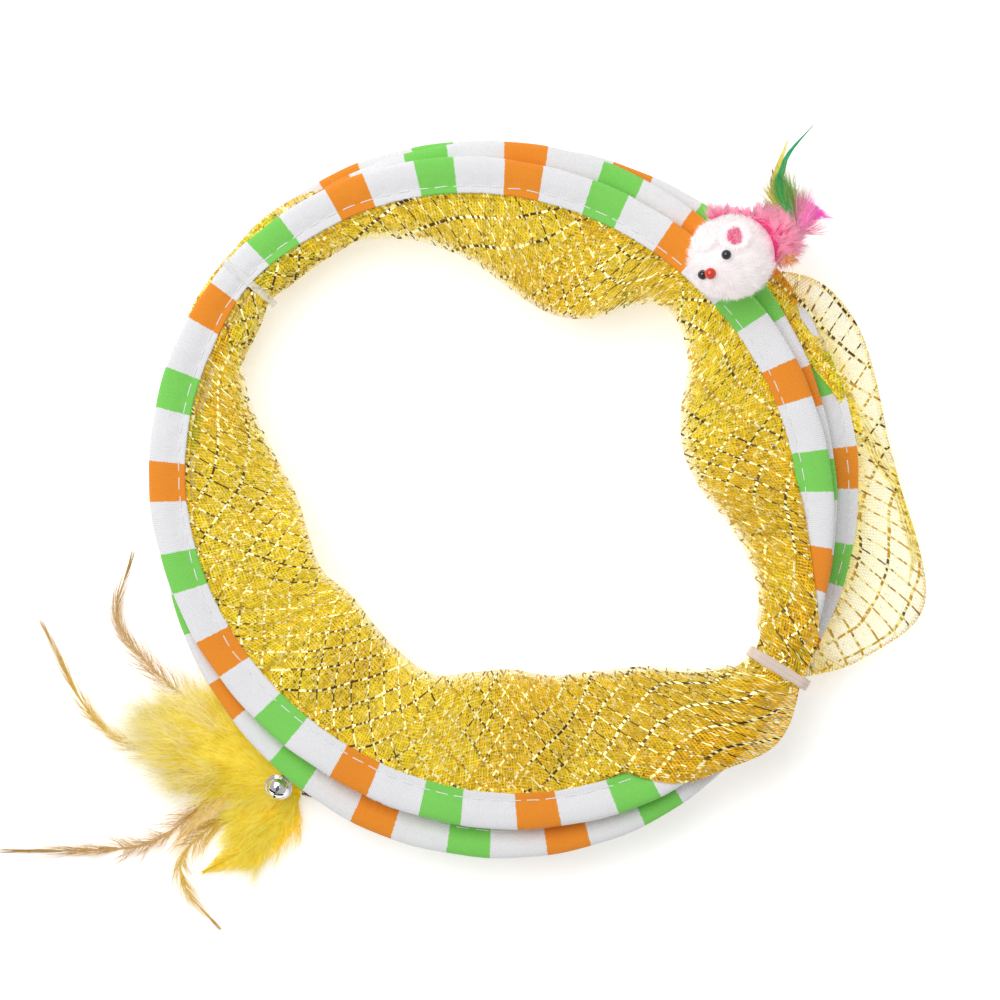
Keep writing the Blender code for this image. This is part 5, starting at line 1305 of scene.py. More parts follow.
# Layers of barbs for each kind of feather: spacing, forward way, thickness and clump in metres, reach in
# shares of the feather's half width, and the stretch of the quill that carries them
BARB_LAYERS = {
    "hackle": (
        {"spacing": 0.24 * MM, "reach": 0.16, "forward": 3.2 * MM, "thick": 0.12 * MM,
         "stretch": (0.06, 1.0), "uneven": 0.25, "clump": 0.0, "lift": 0.15 * MM},
        {"spacing": 0.45 * MM, "reach": 1.70, "forward": 11.0 * MM, "thick": 0.10 * MM,
         "stretch": (0.08, 0.97), "uneven": 0.5, "clump": 3.2 * MM, "lift": 0.8 * MM},
        {"spacing": 0.32 * MM, "reach": 2.1, "forward": 11.0 * MM, "thick": 0.075 * MM,
         "stretch": (0.0, 0.36), "uneven": 0.5, "clump": 2.4 * MM, "lift": 2.2 * MM},
    ),
    "leaf": (
        {"spacing": 0.20 * MM, "reach": 1.0, "forward": 4.0 * MM, "thick": 0.17 * MM,
         "stretch": (0.05, 1.0), "uneven": 0.10, "clump": 3.0 * MM, "lift": 0.4 * MM},
        {"spacing": 0.8 * MM, "reach": 1.3, "forward": 6.0 * MM, "thick": 0.07 * MM,
         "stretch": (0.0, 0.7), "uneven": 0.4, "clump": 0.0, "lift": 1.0 * MM},
    ),
    "vane": (
        {"spacing": 0.13 * MM, "reach": 1.0, "forward": 7.0 * MM, "thick": 0.20 * MM,
         "stretch": (0.02, 1.0), "uneven": 0.06, "clump": 1.9 * MM, "lift": 0.5 * MM},
        {"spacing": 0.09 * MM, "reach": 1.22, "forward": 10.0 * MM, "thick": 0.085 * MM,
         "stretch": (0.0, 0.86), "uneven": 0.30, "clump": 1.5 * MM, "lift": 2.6 * MM},
    ),
    "tail": (
        {"spacing": 0.16 * MM, "reach": 0.86, "forward": 5.0 * MM, "thick": 0.15 * MM,
         "stretch": (0.10, 1.0), "uneven": 0.10, "clump": 0.0, "lift": 0.3 * MM},
        {"spacing": 0.060 * MM, "reach": 1.5, "forward": 9.0 * MM, "thick": 0.12 * MM,
         "stretch": (0.0, 0.36), "uneven": 0.6, "clump": 1.3 * MM, "lift": 2.2 * MM},
    ),
    "fan": (
        {"spacing": 0.030 * MM, "reach": 1.3, "forward": 8.0 * MM, "thick": 0.10 * MM,
         "stretch": (0.0, 0.85), "uneven": 0.7, "clump": 0.7 * MM, "lift": 2.4 * MM},
    ),
}
BARB_ROWS = 5
QUILL_ROWS = 120
QUILL_SIDES = 8


def barbs_of_layer(layer, path, length, feather, random):
    """Paths and thicknesses of one layer of barbs on both sides of a quill.

    Barbs of a clump lean together and share a length, which splits the vane's edge into points. A barb's
    reach is that of the feather's outline at the place that its tip comes to.
    """
    start, end = layer["stretch"]
    count = int(length * (end - start) / layer["spacing"])
    share = np.tile(np.linspace(start, end, count), 2)
    side = np.repeat([-1.0, 1.0], count)
    share = share + random.uniform(-0.3, 0.3, 2 * count) * layer["spacing"] / length
    size = 1.0 + layer["uneven"] * random.uniform(-1.0, 0.6, 2 * count)
    forward = np.full(2 * count, layer["forward"] / length) * (0.75 + 0.5 * random.random(2 * count))
    if layer["clump"]:
        place = share * length / layer["clump"] + side * 0.25
        clump = np.floor(place).astype(int) - int(np.floor(place.min()))
        sizes = 1.0 + 1.6 * layer["uneven"] * random.uniform(-1.0, 0.7, clump.max() + 1)
        size = size * sizes[clump]
        forward = forward + 0.75 * (0.5 - (place - np.floor(place))) * layer["clump"] / length
    forward = np.minimum(forward, np.maximum(1.02 - share, 0.0))
    keys = np.linspace(0.0, 1.0, len(feather["width_shares"]))
    half = np.interp(share + forward, keys, feather["width_shares"]) * feather["width"]
    lift = layer["lift"] * random.uniform(-0.5, 1.0, 2 * count)
    paths = barb_paths(path, share, side, half * layer["reach"] * size, forward, lift, BARB_ROWS)
    return paths, np.full(2 * count, layer["thick"]), share


def build_feather(name, root, feather, looks, seed):
    """Make one feather: a tapering quill along its route, and layers of barbs on both sides of it."""
    length = feather["length"]
    offsets = np.vstack([np.zeros(3), feather["route_shares"]]) * length
    path = spline(offsets + np.asarray(root), QUILL_ROWS)
    radius = 0.34 * MM * (1.0 - 0.85 * np.linspace(0.0, 1.0, QUILL_ROWS))
    tube = tube_points(path[None], radius, QUILL_SIDES)
    quill = grid_mesh(f"{name}_quill", tube, (False, True), caps=True)
    point_values(quill, "out", np.zeros(tube.shape[:3]))
    point_values(quill, "tone", np.full(tube.shape[:3], 0.5))
    random = np.random.default_rng(seed)
    made = [barbs_of_layer(layer, path, length, feather, random) for layer in BARB_LAYERS[feather["kind"]]]
    paths = np.concatenate([one[0] for one in made])
    thick = np.concatenate([one[1] for one in made])
    tone = np.clip(np.concatenate([one[2] for one in made]) + random.normal(0.0, 0.06, len(thick)), 0.0, 1.0)
    barbs = build_hair(f"{name}_barbs", paths, thick, looks, tone=tone)
    return add_piece(quill, looks), barbs


# Plush mouse

MOUSE_ANGLE = math.radians(40.1)
HEAD_SIZES = (32.4 * MM, 31.2 * MM, 25.2 * MM)
HEAD_TURN = math.radians(219.0)
BACK_SIZES = (26.4 * MM, 23.6 * MM, 22.4 * MM)
BACK_TURN = math.radians(12.0)
SNOUT_GROWTH = 0.16
SNOUT_DIRECTION = np.array([0.8, 0.0, 0.6])
PRESSED_GAP = 0.6 * MM
HEAD_CLEARANCE = 14.8 * MM
NEAR_EYE_SHARES = (-0.077, 0.0)
FAR_EYE_SHARES = (-0.340, -0.219)
NOSE_SHARES = (-0.244, -0.198)
NEAR_EAR_SHARES = (0.015, 0.201)
FAR_EAR_SHARES = (-0.306, 0.188)
EYE_RADIUS = 1.8 * MM
NOSE_RADIUS = 2.1 * MM
EAR_LENGTH = 8.6 * MM
EAR_WIDTH = 6.8 * MM
EAR_THICKNESS = 2.4 * MM
EAR_SINK = 1.2 * MM
TAIL_SEAT = 0.85 * MM
# The dyes of a feather are those of its down, its vane and its tip
TAIL_FEATHERS = [
    {
        "name": "tail_feather_green", "aim": (15.0, 16.0), "kind": "tail",
        "dyes": ((0.06, 0.46, 0.11), (0.012, 0.34, 0.11), (0.02, 0.38, 0.22)), "slot": "green_feather",
        "length": 40.0 * MM, "width": 5.2 * MM,
        "route_shares": (
            (-0.055, 0.185, 0.030), (-0.132, 0.398, 0.040), (-0.115, 0.522, 0.030),
            (-0.048, 0.688, -0.005), (0.148, 0.915, -0.065),
        ),
        "width_shares": (0.30, 0.36, 0.30, 0.24, 0.15, 0.02),
    },
    {
        "name": "tail_feather_yellow", "aim": (25.0, 8.0), "kind": "tail",
        "dyes": ((0.52, 0.50, 0.08), (0.74, 0.62, 0.10), (0.82, 0.74, 0.24)), "slot": "yellow_feather",
        "length": 30.0 * MM, "width": 3.6 * MM,
        "route_shares": ((-0.153, 0.300, 0.020), (-0.207, 0.580, 0.013), (-0.077, 0.990, -0.053)),
        "width_shares": (0.30, 0.50, 0.44, 0.08),
    },
    {
        "name": "tail_feather_magenta", "aim": (36.0, 0.0), "kind": "tail",
        "dyes": ((0.42, 0.36, 0.08), (0.46, 0.13, 0.13), (0.66, 0.03, 0.30)), "slot": "magenta_feather",
        "length": 19.0 * MM, "width": 5.2 * MM,
        "route_shares": ((-0.221, 0.442, 0.021), (-0.342, 0.942, -0.032)),
        "width_shares": (0.30, 0.42, 0.50, 0.46, 0.05),
    },
    {
        "name": "tail_feather_pink", "aim": (4.0, 1.0), "kind": "fan",
        "dyes": ((0.85, 0.30, 0.45), (0.88, 0.14, 0.62), (0.90, 0.30, 0.72)), "slot": "magenta_feather",
        "length": 12.7 * MM, "width": 6.4 * MM,
        "route_shares": ((0.260, 0.400, -0.016), (0.559, 0.827, -0.094)),
        "width_shares": (0.20, 0.60, 0.40),
    },
]


def turned(vectors, angle):
    """Vectors turned about Z."""
    x, y, z = vectors[..., 0], vectors[..., 1], vectors[..., 2]
    cosine, sine = math.cos(angle), math.sin(angle)
    return np.stack([x * cosine - y * sine, x * sine + y * cosine, z], axis=-1)


def mouse_hang():
    """Point on the flat top of the top casing where the mouse's knot sits."""
    return hoop_points(len(HOOPS) - 1, MOUSE_ANGLE, 0.255 * 2.0 * CASING_HALF, CASING_RISE)


def head_centre():
    """Middle of the head, whose belly is pressed flat on the casing."""
    return mouse_hang() + np.array([-0.043, 0.340, 0.0]) * HEAD_SIZES[0] + 11.6 * MM * UP


def back_centre():
    """Middle of the back, beside the head and outside the hoop."""
    middle = head_centre() + np.array([0.367, 0.194, 0.0]) * HEAD_SIZES[0]
    middle[2] = mouse_hang()[2] + PRESSED_GAP + BACK_SIZES[2] / 2.0
    return middle


def plush_form(direction, centre, sizes, turn, growth, inset):
    """Points and outward directions of a plump egg, by direction from its middle.

    An ellipsoid, swollen towards the snout by the fourth power of how far a direction faces it, drawn
    in by the length of the pile, and pressed flat where it rests.
    """
    half = np.array(sizes) / 2.0 - inset
    swell = 1.0 + growth * np.clip(direction @ SNOUT_DIRECTION, 0.0, 1.0) ** 4
    local = direction * half * swell[..., None]
    normal = unit(direction / half)
    points = centre + turned(local, turn)
    seat = mouse_hang()[2] + PRESSED_GAP
    flat = points[..., 2] < seat
    points[..., 2] = np.maximum(points[..., 2], seat)
    normal = turned(normal, turn)
    normal[flat] = (0.0, 0.0, -1.0)
    return points, normal


def head_form(direction, inset=0.0):
    """Points and outward directions of the head."""
    return plush_form(direction, head_centre(), HEAD_SIZES, HEAD_TURN, SNOUT_GROWTH, inset)


def back_form(direction, inset=0.0):
    """Points and outward directions of the back, which the head presses in to a hollow beside it."""
    points, normal = plush_form(direction, back_centre(), BACK_SIZES, BACK_TURN, 0.0, inset)
    middle = head_centre()[:2]
    away = points[..., :2] - middle
    near = np.linalg.norm(away, axis=-1, keepdims=True)
    points[..., :2] = middle + away * np.maximum(1.0, HEAD_CLEARANCE / near)
    return points, normal


def round_directions(rows, columns):
    """Directions of a globe's grid, with rows that stop just short of its poles."""
    rise = np.linspace(-0.5 * math.pi + 0.03, 0.5 * math.pi - 0.03, rows)[:, None]
    spin = np.arange(columns) * TURN / columns
    level = np.cos(rise)
    up = np.broadcast_to(np.sin(rise), (rows, columns))
    return np.stack([level * np.cos(spin), level * np.sin(spin), up], axis=-1)


def scattered_directions(count, random):
    """Directions spread evenly over a globe on a golden spiral, each shaken a little."""
    step = np.arange(count)
    up = 1.0 - 2.0 * (step + 0.5) / count
    spin = step * math.pi * (3.0 - math.sqrt(5.0))
    level = np.sqrt(1.0 - up**2)
    even = np.stack([level * np.cos(spin), level * np.sin(spin), up], axis=-1)
    return unit(even + random.normal(0.0, 0.6 / math.sqrt(count), even.shape))


def above_head(shares):
    """Point of the head's upper surface over a place, in shares of its length, and the outward direction."""
    half = np.array(HEAD_SIZES) / 2.0
    local = turned(np.array([shares[0], shares[1], 0.0]) * HEAD_SIZES[0], -HEAD_TURN)
    across, side = local[:2] / half[:2]
    rise = math.sqrt(max(0.03, 1.0 - across**2 - side**2))
    facing = unit(np.array([across, side, rise])) @ SNOUT_DIRECTION
    swell = 1.0 + SNOUT_GROWTH * max(0.0, facing) ** 4
    normal = unit(np.array([across / half[0], side / half[1], rise / half[2]]))
    point = np.array([local[0], local[1], rise * half[2] * swell])
    return head_centre() + turned(point, HEAD_TURN), turned(normal, HEAD_TURN)


def bead_place(shares, radius, rise=0.3):
    """Middle of a bead that stands off the head by a share of its radius."""
    point, normal = above_head(shares)
    return point + normal * radius * rise, normal


def build_bead(name, shares, radius, look, rise=0.3):
    """Make one bead: a ball with a fine bore, whose edges are rounded, lying level across the head.

    The outline runs over the ball and back through the bore, and is turned round the bore's axis.
    """
    centre, normal = bead_place(shares, radius, rise)
    axis = unit(np.cross(normal, UP) + np.array([1e-6, 0.0, 0.0]))
    first = unit(np.cross(axis, normal))
    second = np.cross(axis, first)
    fall = np.linspace(0.26, math.pi - 0.26, 34)
    ball = np.stack([np.sin(fall), np.cos(fall)], axis=-1) * radius
    bore = 0.20 * radius
    back = np.stack([np.full(8, bore), np.linspace(-0.93, 0.93, 8) * radius], axis=-1)
    outline = np.concatenate([ball, back])
    spin = -np.arange(40) * TURN / 40
    ring = first * np.cos(spin)[:, None] + second * np.sin(spin)[:, None]
    points = centre + outline[:, None, :1] * ring + outline[:, None, 1:] * axis
    return add_piece(grid_mesh(name, points[None], (True, True)), [look])


def ear_frame(shares):
    """Middle of an ear and its own three directions: across, along and facing."""
    point, normal = above_head(shares)
    back = np.array([math.cos(BACK_TURN), math.sin(BACK_TURN), 0.0])
    facing = unit(normal * 0.9 - back * 0.1)
    side = unit(np.cross(facing, back))
    return point + normal * (EAR_THICKNESS * 0.2 - EAR_SINK), np.stack([side, np.cross(facing, side), facing])


def ear_surface(across, along, up):
    """A place on an ear: an oval disc cupped by the square of the distance from its middle."""
    cup = 0.45 * (across**2 + along**2)
    narrow = 1.0 - 0.16 * along
    half = EAR_THICKNESS / 2.0
    return np.stack([across * EAR_WIDTH / 2.0 * narrow, along * EAR_LENGTH / 2.0, (up + cup) * half], axis=-1)


def build_ear(name, shares, looks, seed):
    """Make one ear: a cupped felt disc with a rounded rim, a nap inside it and a fringe of fur round it.

    The looks are those of the disc and fringe, and of the nap.
    """
    middle, axes = ear_frame(shares)
    reach = np.concatenate([np.linspace(0.04, 0.94, 12), [0.985, 1.0, 0.985], np.linspace(0.94, 0.04, 12)])
    up = np.concatenate([np.full(12, 0.45), [0.32, 0.0, -0.32], np.full(12, -0.45)])
    spin = -np.arange(36) * TURN / 36
    disc = ear_surface(reach[:, None] * np.cos(spin), reach[:, None] * np.sin(spin), up[:, None])
    shell = grid_mesh(f"{name}_felt", (middle + disc @ axes)[None], (False, True), caps=True)
    random = np.random.default_rng(seed)

    def grow(part, count, inner, outer, lean, longest, look, narrow=1.0):
        """Hairs on the ring between two radii, which lean outwards and bend back to the head."""
        radius = np.sqrt(random.uniform(inner**2, outer**2, count))
        turn = random.random(count) * TURN
        along = radius * np.sin(turn) * narrow
        roots = middle + ear_surface(radius * np.cos(turn), along, np.full(count, 0.3)) @ axes
        out = np.stack([np.cos(turn), np.sin(turn), np.zeros(count)], axis=-1) @ axes
        aims = unit(axes[2] + lean * out + random.normal(0.0, 0.40, (count, 3)))
        bends = random.normal(0.0, 0.2, (count, 3)) - 0.45 * lean * axes[2]
        paths = hair_paths(roots, aims, random.uniform(0.5, 1.0, count) * longest, bends, 4)
        soft = unit(axes[2] + 0.3 * lean * out)
        return build_hair(f"{name}_{part}", paths, 0.08 * MM, [look], soft, random.random(count))

    nap = grow("nap", 700, 0.0, 0.98, 0.0, 1.6 * MM, looks[1], 0.62)
    fringe = grow("fringe", 1100, 0.86, 1.1, 1.0, 2.6 * MM, looks[0])
    return add_piece(shell, looks[:1]), nap, fringe


def build_pile(name, form, pile, count, radius, comb, keep, look, seed, locks, shag):
    """Make the pile of a plush form: hairs that stand off it, combed along a direction, each bent a little.

    The hairs nearest to the same one of some scattered directions make a lock, and share a lean, a tone
    and a part of their length. Shag says how much the locks differ.
    """
    random = np.random.default_rng(seed)
    direction = scattered_directions(count, random)
    lock = np.argmax(direction @ scattered_directions(locks, random).T, axis=1)
    roots, normal = form(direction, pile)
    kept = keep(roots, normal)
    roots, normal, lock = roots[kept], normal[kept], lock[kept]
    number = len(roots)
    flow = comb(roots)
    flow = flow - normal * np.sum(flow * normal, axis=1, keepdims=True)
    lean = random.normal(0.0, 0.5 * shag, (locks, 3))[lock]
    aims = unit(normal * 0.95 + flow * 0.55 + lean + random.normal(0.0, 0.20, (number, 3)))
    bends = flow * 0.25 + random.normal(0.0, 0.12, (number, 3)) + 0.5 * lean
    lengths = pile * (random.uniform(0.85, 1.35, number) + shag * random.uniform(-0.2, 0.6, locks)[lock])
    paths = hair_paths(roots - normal * 0.3 * MM, aims, lengths, bends, 4)
    tone = (1.0 - 0.7 * shag) * random.random(number) + 0.7 * shag * random.random(locks)[lock]
    return build_hair(name, paths, radius, [look], normal, tone)


def build_head(settings, look):
    """Make the head: its stuffed form and the short white pile, left out where the beads and the near ear
    sit.
    """
    pile = settings.head_pile
    points = head_form(round_directions(48, 72), pile)[0]
    body = add_piece(grid_mesh("mouse_head_plush", points[None], (False, True), caps=True), [look])
    nose = above_head(NOSE_SHARES)[0]
    beads = (
        (NEAR_EYE_SHARES, EYE_RADIUS), (FAR_EYE_SHARES, 0.7 * EYE_RADIUS), (NOSE_SHARES, NOSE_RADIUS),
    )
    spots = [(bead_place(shares, size)[0], size * 1.15) for shares, size in beads]
    spots.append((ear_frame(NEAR_EAR_SHARES)[0], EAR_WIDTH * 0.42))

    def keep(roots, normal):
        """True for hairs that are clear of the flat belly, the beads and the near ear."""
        clear = normal[:, 2] > -0.92
        for middle, size in spots:
            clear &= np.linalg.norm(roots + normal * pile * 0.6 - middle, axis=1) > size
        return clear

    def comb(roots):
        """The white pile lies away from the nose."""
        return unit(roots - nose) * 0.8

    fur = build_pile("mouse_head_pile", head_form, pile, 10000, 0.088 * MM, comb, keep, look, 601, 900, 0.25)
    return body, fur


def build_back(settings, look):
    """Make the back: its stuffed form and a long shaggy pink pile in locks."""
    pile = settings.back_pile
    points = back_form(round_directions(40, 60), pile)[0]
    body = add_piece(grid_mesh("mouse_back_plush", points[None], (False, True), caps=True), [look])
    middle = head_centre()

    def keep(roots, normal):
        """True for hairs that grow outside the head's outline."""
        return np.linalg.norm((roots - middle)[:, :2], axis=1) > HEAD_CLEARANCE + 0.5 * MM

    def comb(roots):
        """The pink pile lies towards the tail."""
        return np.broadcast_to(unit(np.array([0.55, 0.5, 0.2])), roots.shape)

    fur = build_pile("mouse_back_pile", back_form, pile, 8500, 0.12 * MM, comb, keep, look, 611, 420, 0.8)
    return body, fur


def build_fringe(look):
    """Make the fringe of pink hairs that stands up behind the top of the head, on an arc of its outline."""
    random = np.random.default_rng(621)
    count, locks = 1500, 40
    turn = np.radians(random.uniform(38.0, 122.0, count))
    out = np.stack([np.cos(turn), np.sin(turn), np.zeros(count)], axis=1)
    reach = HEAD_SIZES[0] / 2.0 * random.uniform(0.90, 0.99, count)
    roots = head_centre() + out * reach[:, None]
    roots[:, 2] += random.uniform(-1.0, 6.0, count) * MM * np.sqrt(1.0 - (reach / HEAD_SIZES[0] * 2.0) ** 2)
    aims = unit(out * 1.0 + np.array([-0.25, 0.25, 0.25]) + random.normal(0.0, 0.35, (count, 3)))
    lock = np.floor(np.degrees(turn) / 2.6).astype(int) - 14
    lean = random.normal(0.0, 0.20, (locks, 3))[lock]
    lengths = random.uniform(1.6, 2.8, count) * MM * random.uniform(0.7, 1.4, locks)[lock]
    lengths = lengths * (0.55 + 0.45 * smooth_step(0.0, 0.7, turn - turn.min()))
    bends = random.normal(0.0, 0.12, (count, 3)) + lean
    paths = hair_paths(roots, aims + lean, lengths, bends, 4)
    tone = 0.4 * random.random(count) + 0.6 * random.random(locks)[lock]
    return build_hair("mouse_back_fringe", paths, 0.12 * MM, [look], unit(out + 0.8 * UP), tone)


def tail_root(aim):
    """Root of a tail feather: just off the back's surface, in a direction round and up in degrees."""
    around, up = np.radians(aim)
    direction = np.array([math.cos(up) * math.cos(around), math.cos(up) * math.sin(around), math.sin(up)])
    local = turned(direction, -BACK_TURN)
    reach = 1.0 / np.linalg.norm(local / (np.array(BACK_SIZES) / 2.0))
    return back_centre() + direction * (reach + TAIL_SEAT - 3.0 * MM)


def build_wisps(name, count, headings, lengths, looks, seed):
    """Make loose down at the roots of the tail: curls that fan out level between two headings, in tufts."""
    random = np.random.default_rng(seed)
    tufts = 9
    tuft = random.integers(0, tufts, count)
    heading = np.radians(random.uniform(*headings, tufts)[tuft] + random.normal(0.0, 5.0, count))
    root = tail_root((15.0, 10.0))
    roots = root + random.normal(0.0, 0.9 * MM, (count, 3))
    aims = unit(np.stack([np.cos(heading), np.sin(heading), random.normal(0.0, 0.12, count)], axis=-1))
    size = random.uniform(*lengths, count) * random.uniform(0.7, 1.1, tufts)[tuft]
    bends = random.normal(0.0, 0.14, (tufts, 3))[tuft] + random.normal(0.0, 0.08, (count, 3))
    paths = hair_paths(roots, aims, size, bends, 6)
    return build_hair(name, paths, 0.10 * MM, looks, tone=random.random(count))


def build_bundle(look):
    """Make the bundle of thread ends behind the mouse, where its elastic is knotted to the gauze."""
    random = np.random.default_rng(655)
    count = 240
    heading = np.array([0.62, -0.62, 0.35])
    root = back_form(unit(turned(heading, -BACK_TURN))[None], 2.6 * MM)[0][0]
    roots = root + random.normal(0.0, 1.0 * MM, (count, 3))
    aims = unit(heading + random.normal(0.0, 0.55, (count, 3)))
    bends = random.normal(0.0, 0.35, (count, 3))
    paths = hair_paths(roots, aims, random.uniform(1.6, 4.2, count) * MM, bends, 5)
    return build_hair("mouse_thread_bundle", paths, 0.20 * MM, [look], tone=random.random(count))


def build_knot(look):
    """Make the elastic knot: three turns of thread that cross each other round one middle."""
    middle = mouse_hang() + 1.4 * MM * UP
    turn = np.linspace(0.0, TURN, 61)[:-1]
    ring = np.stack([np.cos(turn), np.sin(turn), 0.35 * np.sin(2.0 * turn)], axis=-1) * 0.75 * MM
    paths = []
    for tilt in (0.0, 1.05, 2.1):
        rolled = np.stack([
            ring[:, 0],
            ring[:, 1] * math.cos(tilt) - ring[:, 2] * math.sin(tilt),
            ring[:, 1] * math.sin(tilt) + ring[:, 2] * math.cos(tilt),
        ], axis=-1)
        paths.append(middle + turned(rolled, tilt))
    points = tube_points(np.stack(paths), 0.32 * MM, 8)
    return add_piece(grid_mesh("mouse_elastic_knot", points, (False, True), caps=True), [look])


# Feather tuft

TUFT_ANGLE = math.radians(239.0)
TUFT_REACH = 8.3 * MM
TUFT_HEIGHT = 4.2 * MM
BINDING_RADIUS = 2.4 * MM
BINDING_LENGTH = 6.0 * MM
BINDING_HEADING = math.radians(172.0)
BINDING_SHIFT_SHARE = 0.07
THREAD_RADIUS = 0.6 * MM
PLUME_START = 0.8 * MM
PLUME_LENGTH = 54.0 * MM
PLUME_WIDTH = 38.0 * MM
PLUME_HEIGHT = 12.8 * MM
PLUME_LIFT = 2.2 * MM
PLUME_CLEARANCE = 0.8 * MM
QUILL_HEIGHT = 1.45 * MM
PLUME_STATIONS = 80
# The plume by shares of its own length, width and height: middle x and y, half width, bottom and top
PLUME_SHARES = (
    (0.0, 0.0, 0.058, 0.010, 0.320),
    (-0.120, 0.046, 0.210, 0.010, 0.350),
    (-0.250, 0.131, 0.355, 0.010, 0.410),
    (-0.417, 0.222, 0.460, 0.010, 0.730),
    (-0.602, 0.294, 0.500, 0.0, 1.0),
    (-0.769, 0.343, 0.420, 0.0, 0.880),
    (-0.907, 0.369, 0.250, 0.015, 0.570),
    (-0.981, 0.376, 0.080, 0.080, 0.300),
)
TUFT_FEATHERS = [
    {
        "name": "tuft_hackle_top", "root_shares": (-0.069, 0.078, 0.0), "kind": "hackle",
        "length": 100.0 * MM, "width": 5.2 * MM,
        "route_shares": (
            (-0.174, 0.154, 0.0), (-0.354, 0.264, 0.0), (-0.509, 0.394, 0.011),
            (-0.634, 0.574, 0.025), (-0.579, 0.792, 0.045),
        ),
        "width_shares": (0.12, 0.31, 0.46, 0.50, 0.42, 0.06),
    },
    {
        "name": "tuft_hackle_long", "root_shares": (-0.084, 0.038, 0.0), "kind": "hackle",
        "length": 110.0 * MM, "width": 5.2 * MM,
        "route_shares": (
            (-0.260, 0.087, 0.0), (-0.496, 0.115, 0.001), (-0.660, 0.233, 0.014), (-0.808, 0.513, 0.032),
        ),
        "width_shares": (0.12, 0.31, 0.50, 0.42, 0.06),
    },
    {
        "name": "tuft_hackle_left", "root_shares": (-0.091, -0.003, 0.0), "kind": "hackle",
        "length": 108.0 * MM, "width": 5.2 * MM,
        "route_shares": (
            (-0.224, -0.020, 0.0), (-0.446, -0.169, 0.0), (-0.631, -0.201, 0.003), (-0.948, -0.204, 0.023),
        ),
        "width_shares": (0.12, 0.31, 0.50, 0.42, 0.06),
    },
    {
        "name": "tuft_hackle_low", "root_shares": (-0.080, -0.036, 0.0), "kind": "hackle",
        "length": 66.0 * MM, "width": 5.2 * MM,
        "route_shares": (
            (-0.345, -0.120, -0.002), (-0.588, -0.324, -0.003),
            (-0.573, -0.521, 0.002), (-0.400, -0.721, 0.023),
        ),
        "width_shares": (0.12, 0.27, 0.50, 0.35, 0.06),
    },
    {
        "name": "tuft_leaf_feather", "root_shares": (-0.480, 0.000, 0.110), "kind": "leaf",
        "length": 25.0 * MM, "width": 6.6 * MM,
        "route_shares": ((-0.300, -0.260, -0.004), (-0.760, -0.720, 0.004)),
        "width_shares": (0.15, 0.50, 0.06),
    },
    {
        "name": "tuft_vane_feather", "root_shares": (-0.039, -0.074, 0.036), "kind": "vane",
        "length": 42.0 * MM, "width": 14.8 * MM,
        "route_shares": ((-0.176, -0.186, 0.005), (-0.452, -0.426, 0.0), (-0.810, -0.617, -0.019)),
        "width_shares": (0.11, 0.46, 0.50, 0.03),
    },
]


def tuft_hang():
    """Point outside the bottom hoop where the tuft turns on its tether."""
    angle = np.array([TUFT_ANGLE])
    reach = seen_from_net(0, angle, 1)[0][0] + TUFT_REACH
    return net_point(reach, TUFT_ANGLE, TUFT_HEIGHT)


def binding_direction():
    """Direction in which the quills leave the binding."""
    return np.array([math.cos(BINDING_HEADING), math.sin(BINDING_HEADING), 0.0])


def quill_end():
    """Point on the floor under the far end of the binding."""
    end = tuft_hang() + binding_direction() * BINDING_LENGTH * (0.5 + BINDING_SHIFT_SHARE)
    end[2] = 0.0
    return end


def press_out(points):
    """Move points that would lie inside the lower hoops out to their edge."""
    across = points[..., 0] - NET_MIDDLE[0]
    up = points[..., 1] - NET_MIDDLE[1]
    angle = np.arctan2(up, across)
    least = np.max([seen_from_net(index, angle, 1)[0] for index in range(3)], axis=0) + PLUME_CLEARANCE
    inside = (np.hypot(across, up) < least) & (points[..., 2] < 18.0 * MM)
    moved = points.copy()
    moved[..., 0] = np.where(inside, NET_MIDDLE[0] + least * np.cos(angle), points[..., 0])
    moved[..., 1] = np.where(inside, NET_MIDDLE[1] + least * np.sin(angle), points[..., 1])
    return moved


def plume_stations(count):
    """Middle line, level side, half width, bottom and top of the plume, at even steps from its start."""
    sizes = np.array([PLUME_LENGTH, PLUME_LENGTH, PLUME_WIDTH, PLUME_HEIGHT, PLUME_HEIGHT])
    start = quill_end() + binding_direction() * PLUME_START
    shift = np.array([start[0], start[1], 0.0, PLUME_LIFT, PLUME_LIFT])
    stations = spline(np.array(PLUME_SHARES) * sizes, count) + shift
    path = np.concatenate([stations[:, :2], np.zeros((count, 1))], axis=1)
    return path, level_sides(path), stations[:, 2], stations[:, 3], stations[:, 4]


def plume_form(along, turn, share):
    """A place in the plume by share of its length, turn round its middle line, and share of its thickness."""
    path, side, half, bottom, top = plume_stations(PLUME_STATIONS)
    at = np.clip(along, 0.0, 1.0) * (PLUME_STATIONS - 1)
    start = np.minimum(at.astype(int), PLUME_STATIONS - 2)
    part = at - start

    def read(values):
        """Values at the places asked for, between the stations."""
        weight = part.reshape(part.shape + (1,) * (values.ndim - 1))
        return values[start] * (1.0 - weight) + values[start + 1] * weight

    low, high = read(bottom), read(top)
    points = read(path) + read(side) * (read(half) * share * np.cos(turn))[..., None]
    points[..., 2] = (low + high) / 2.0 + (high - low) / 2.0 * share * np.sin(turn)
    return points


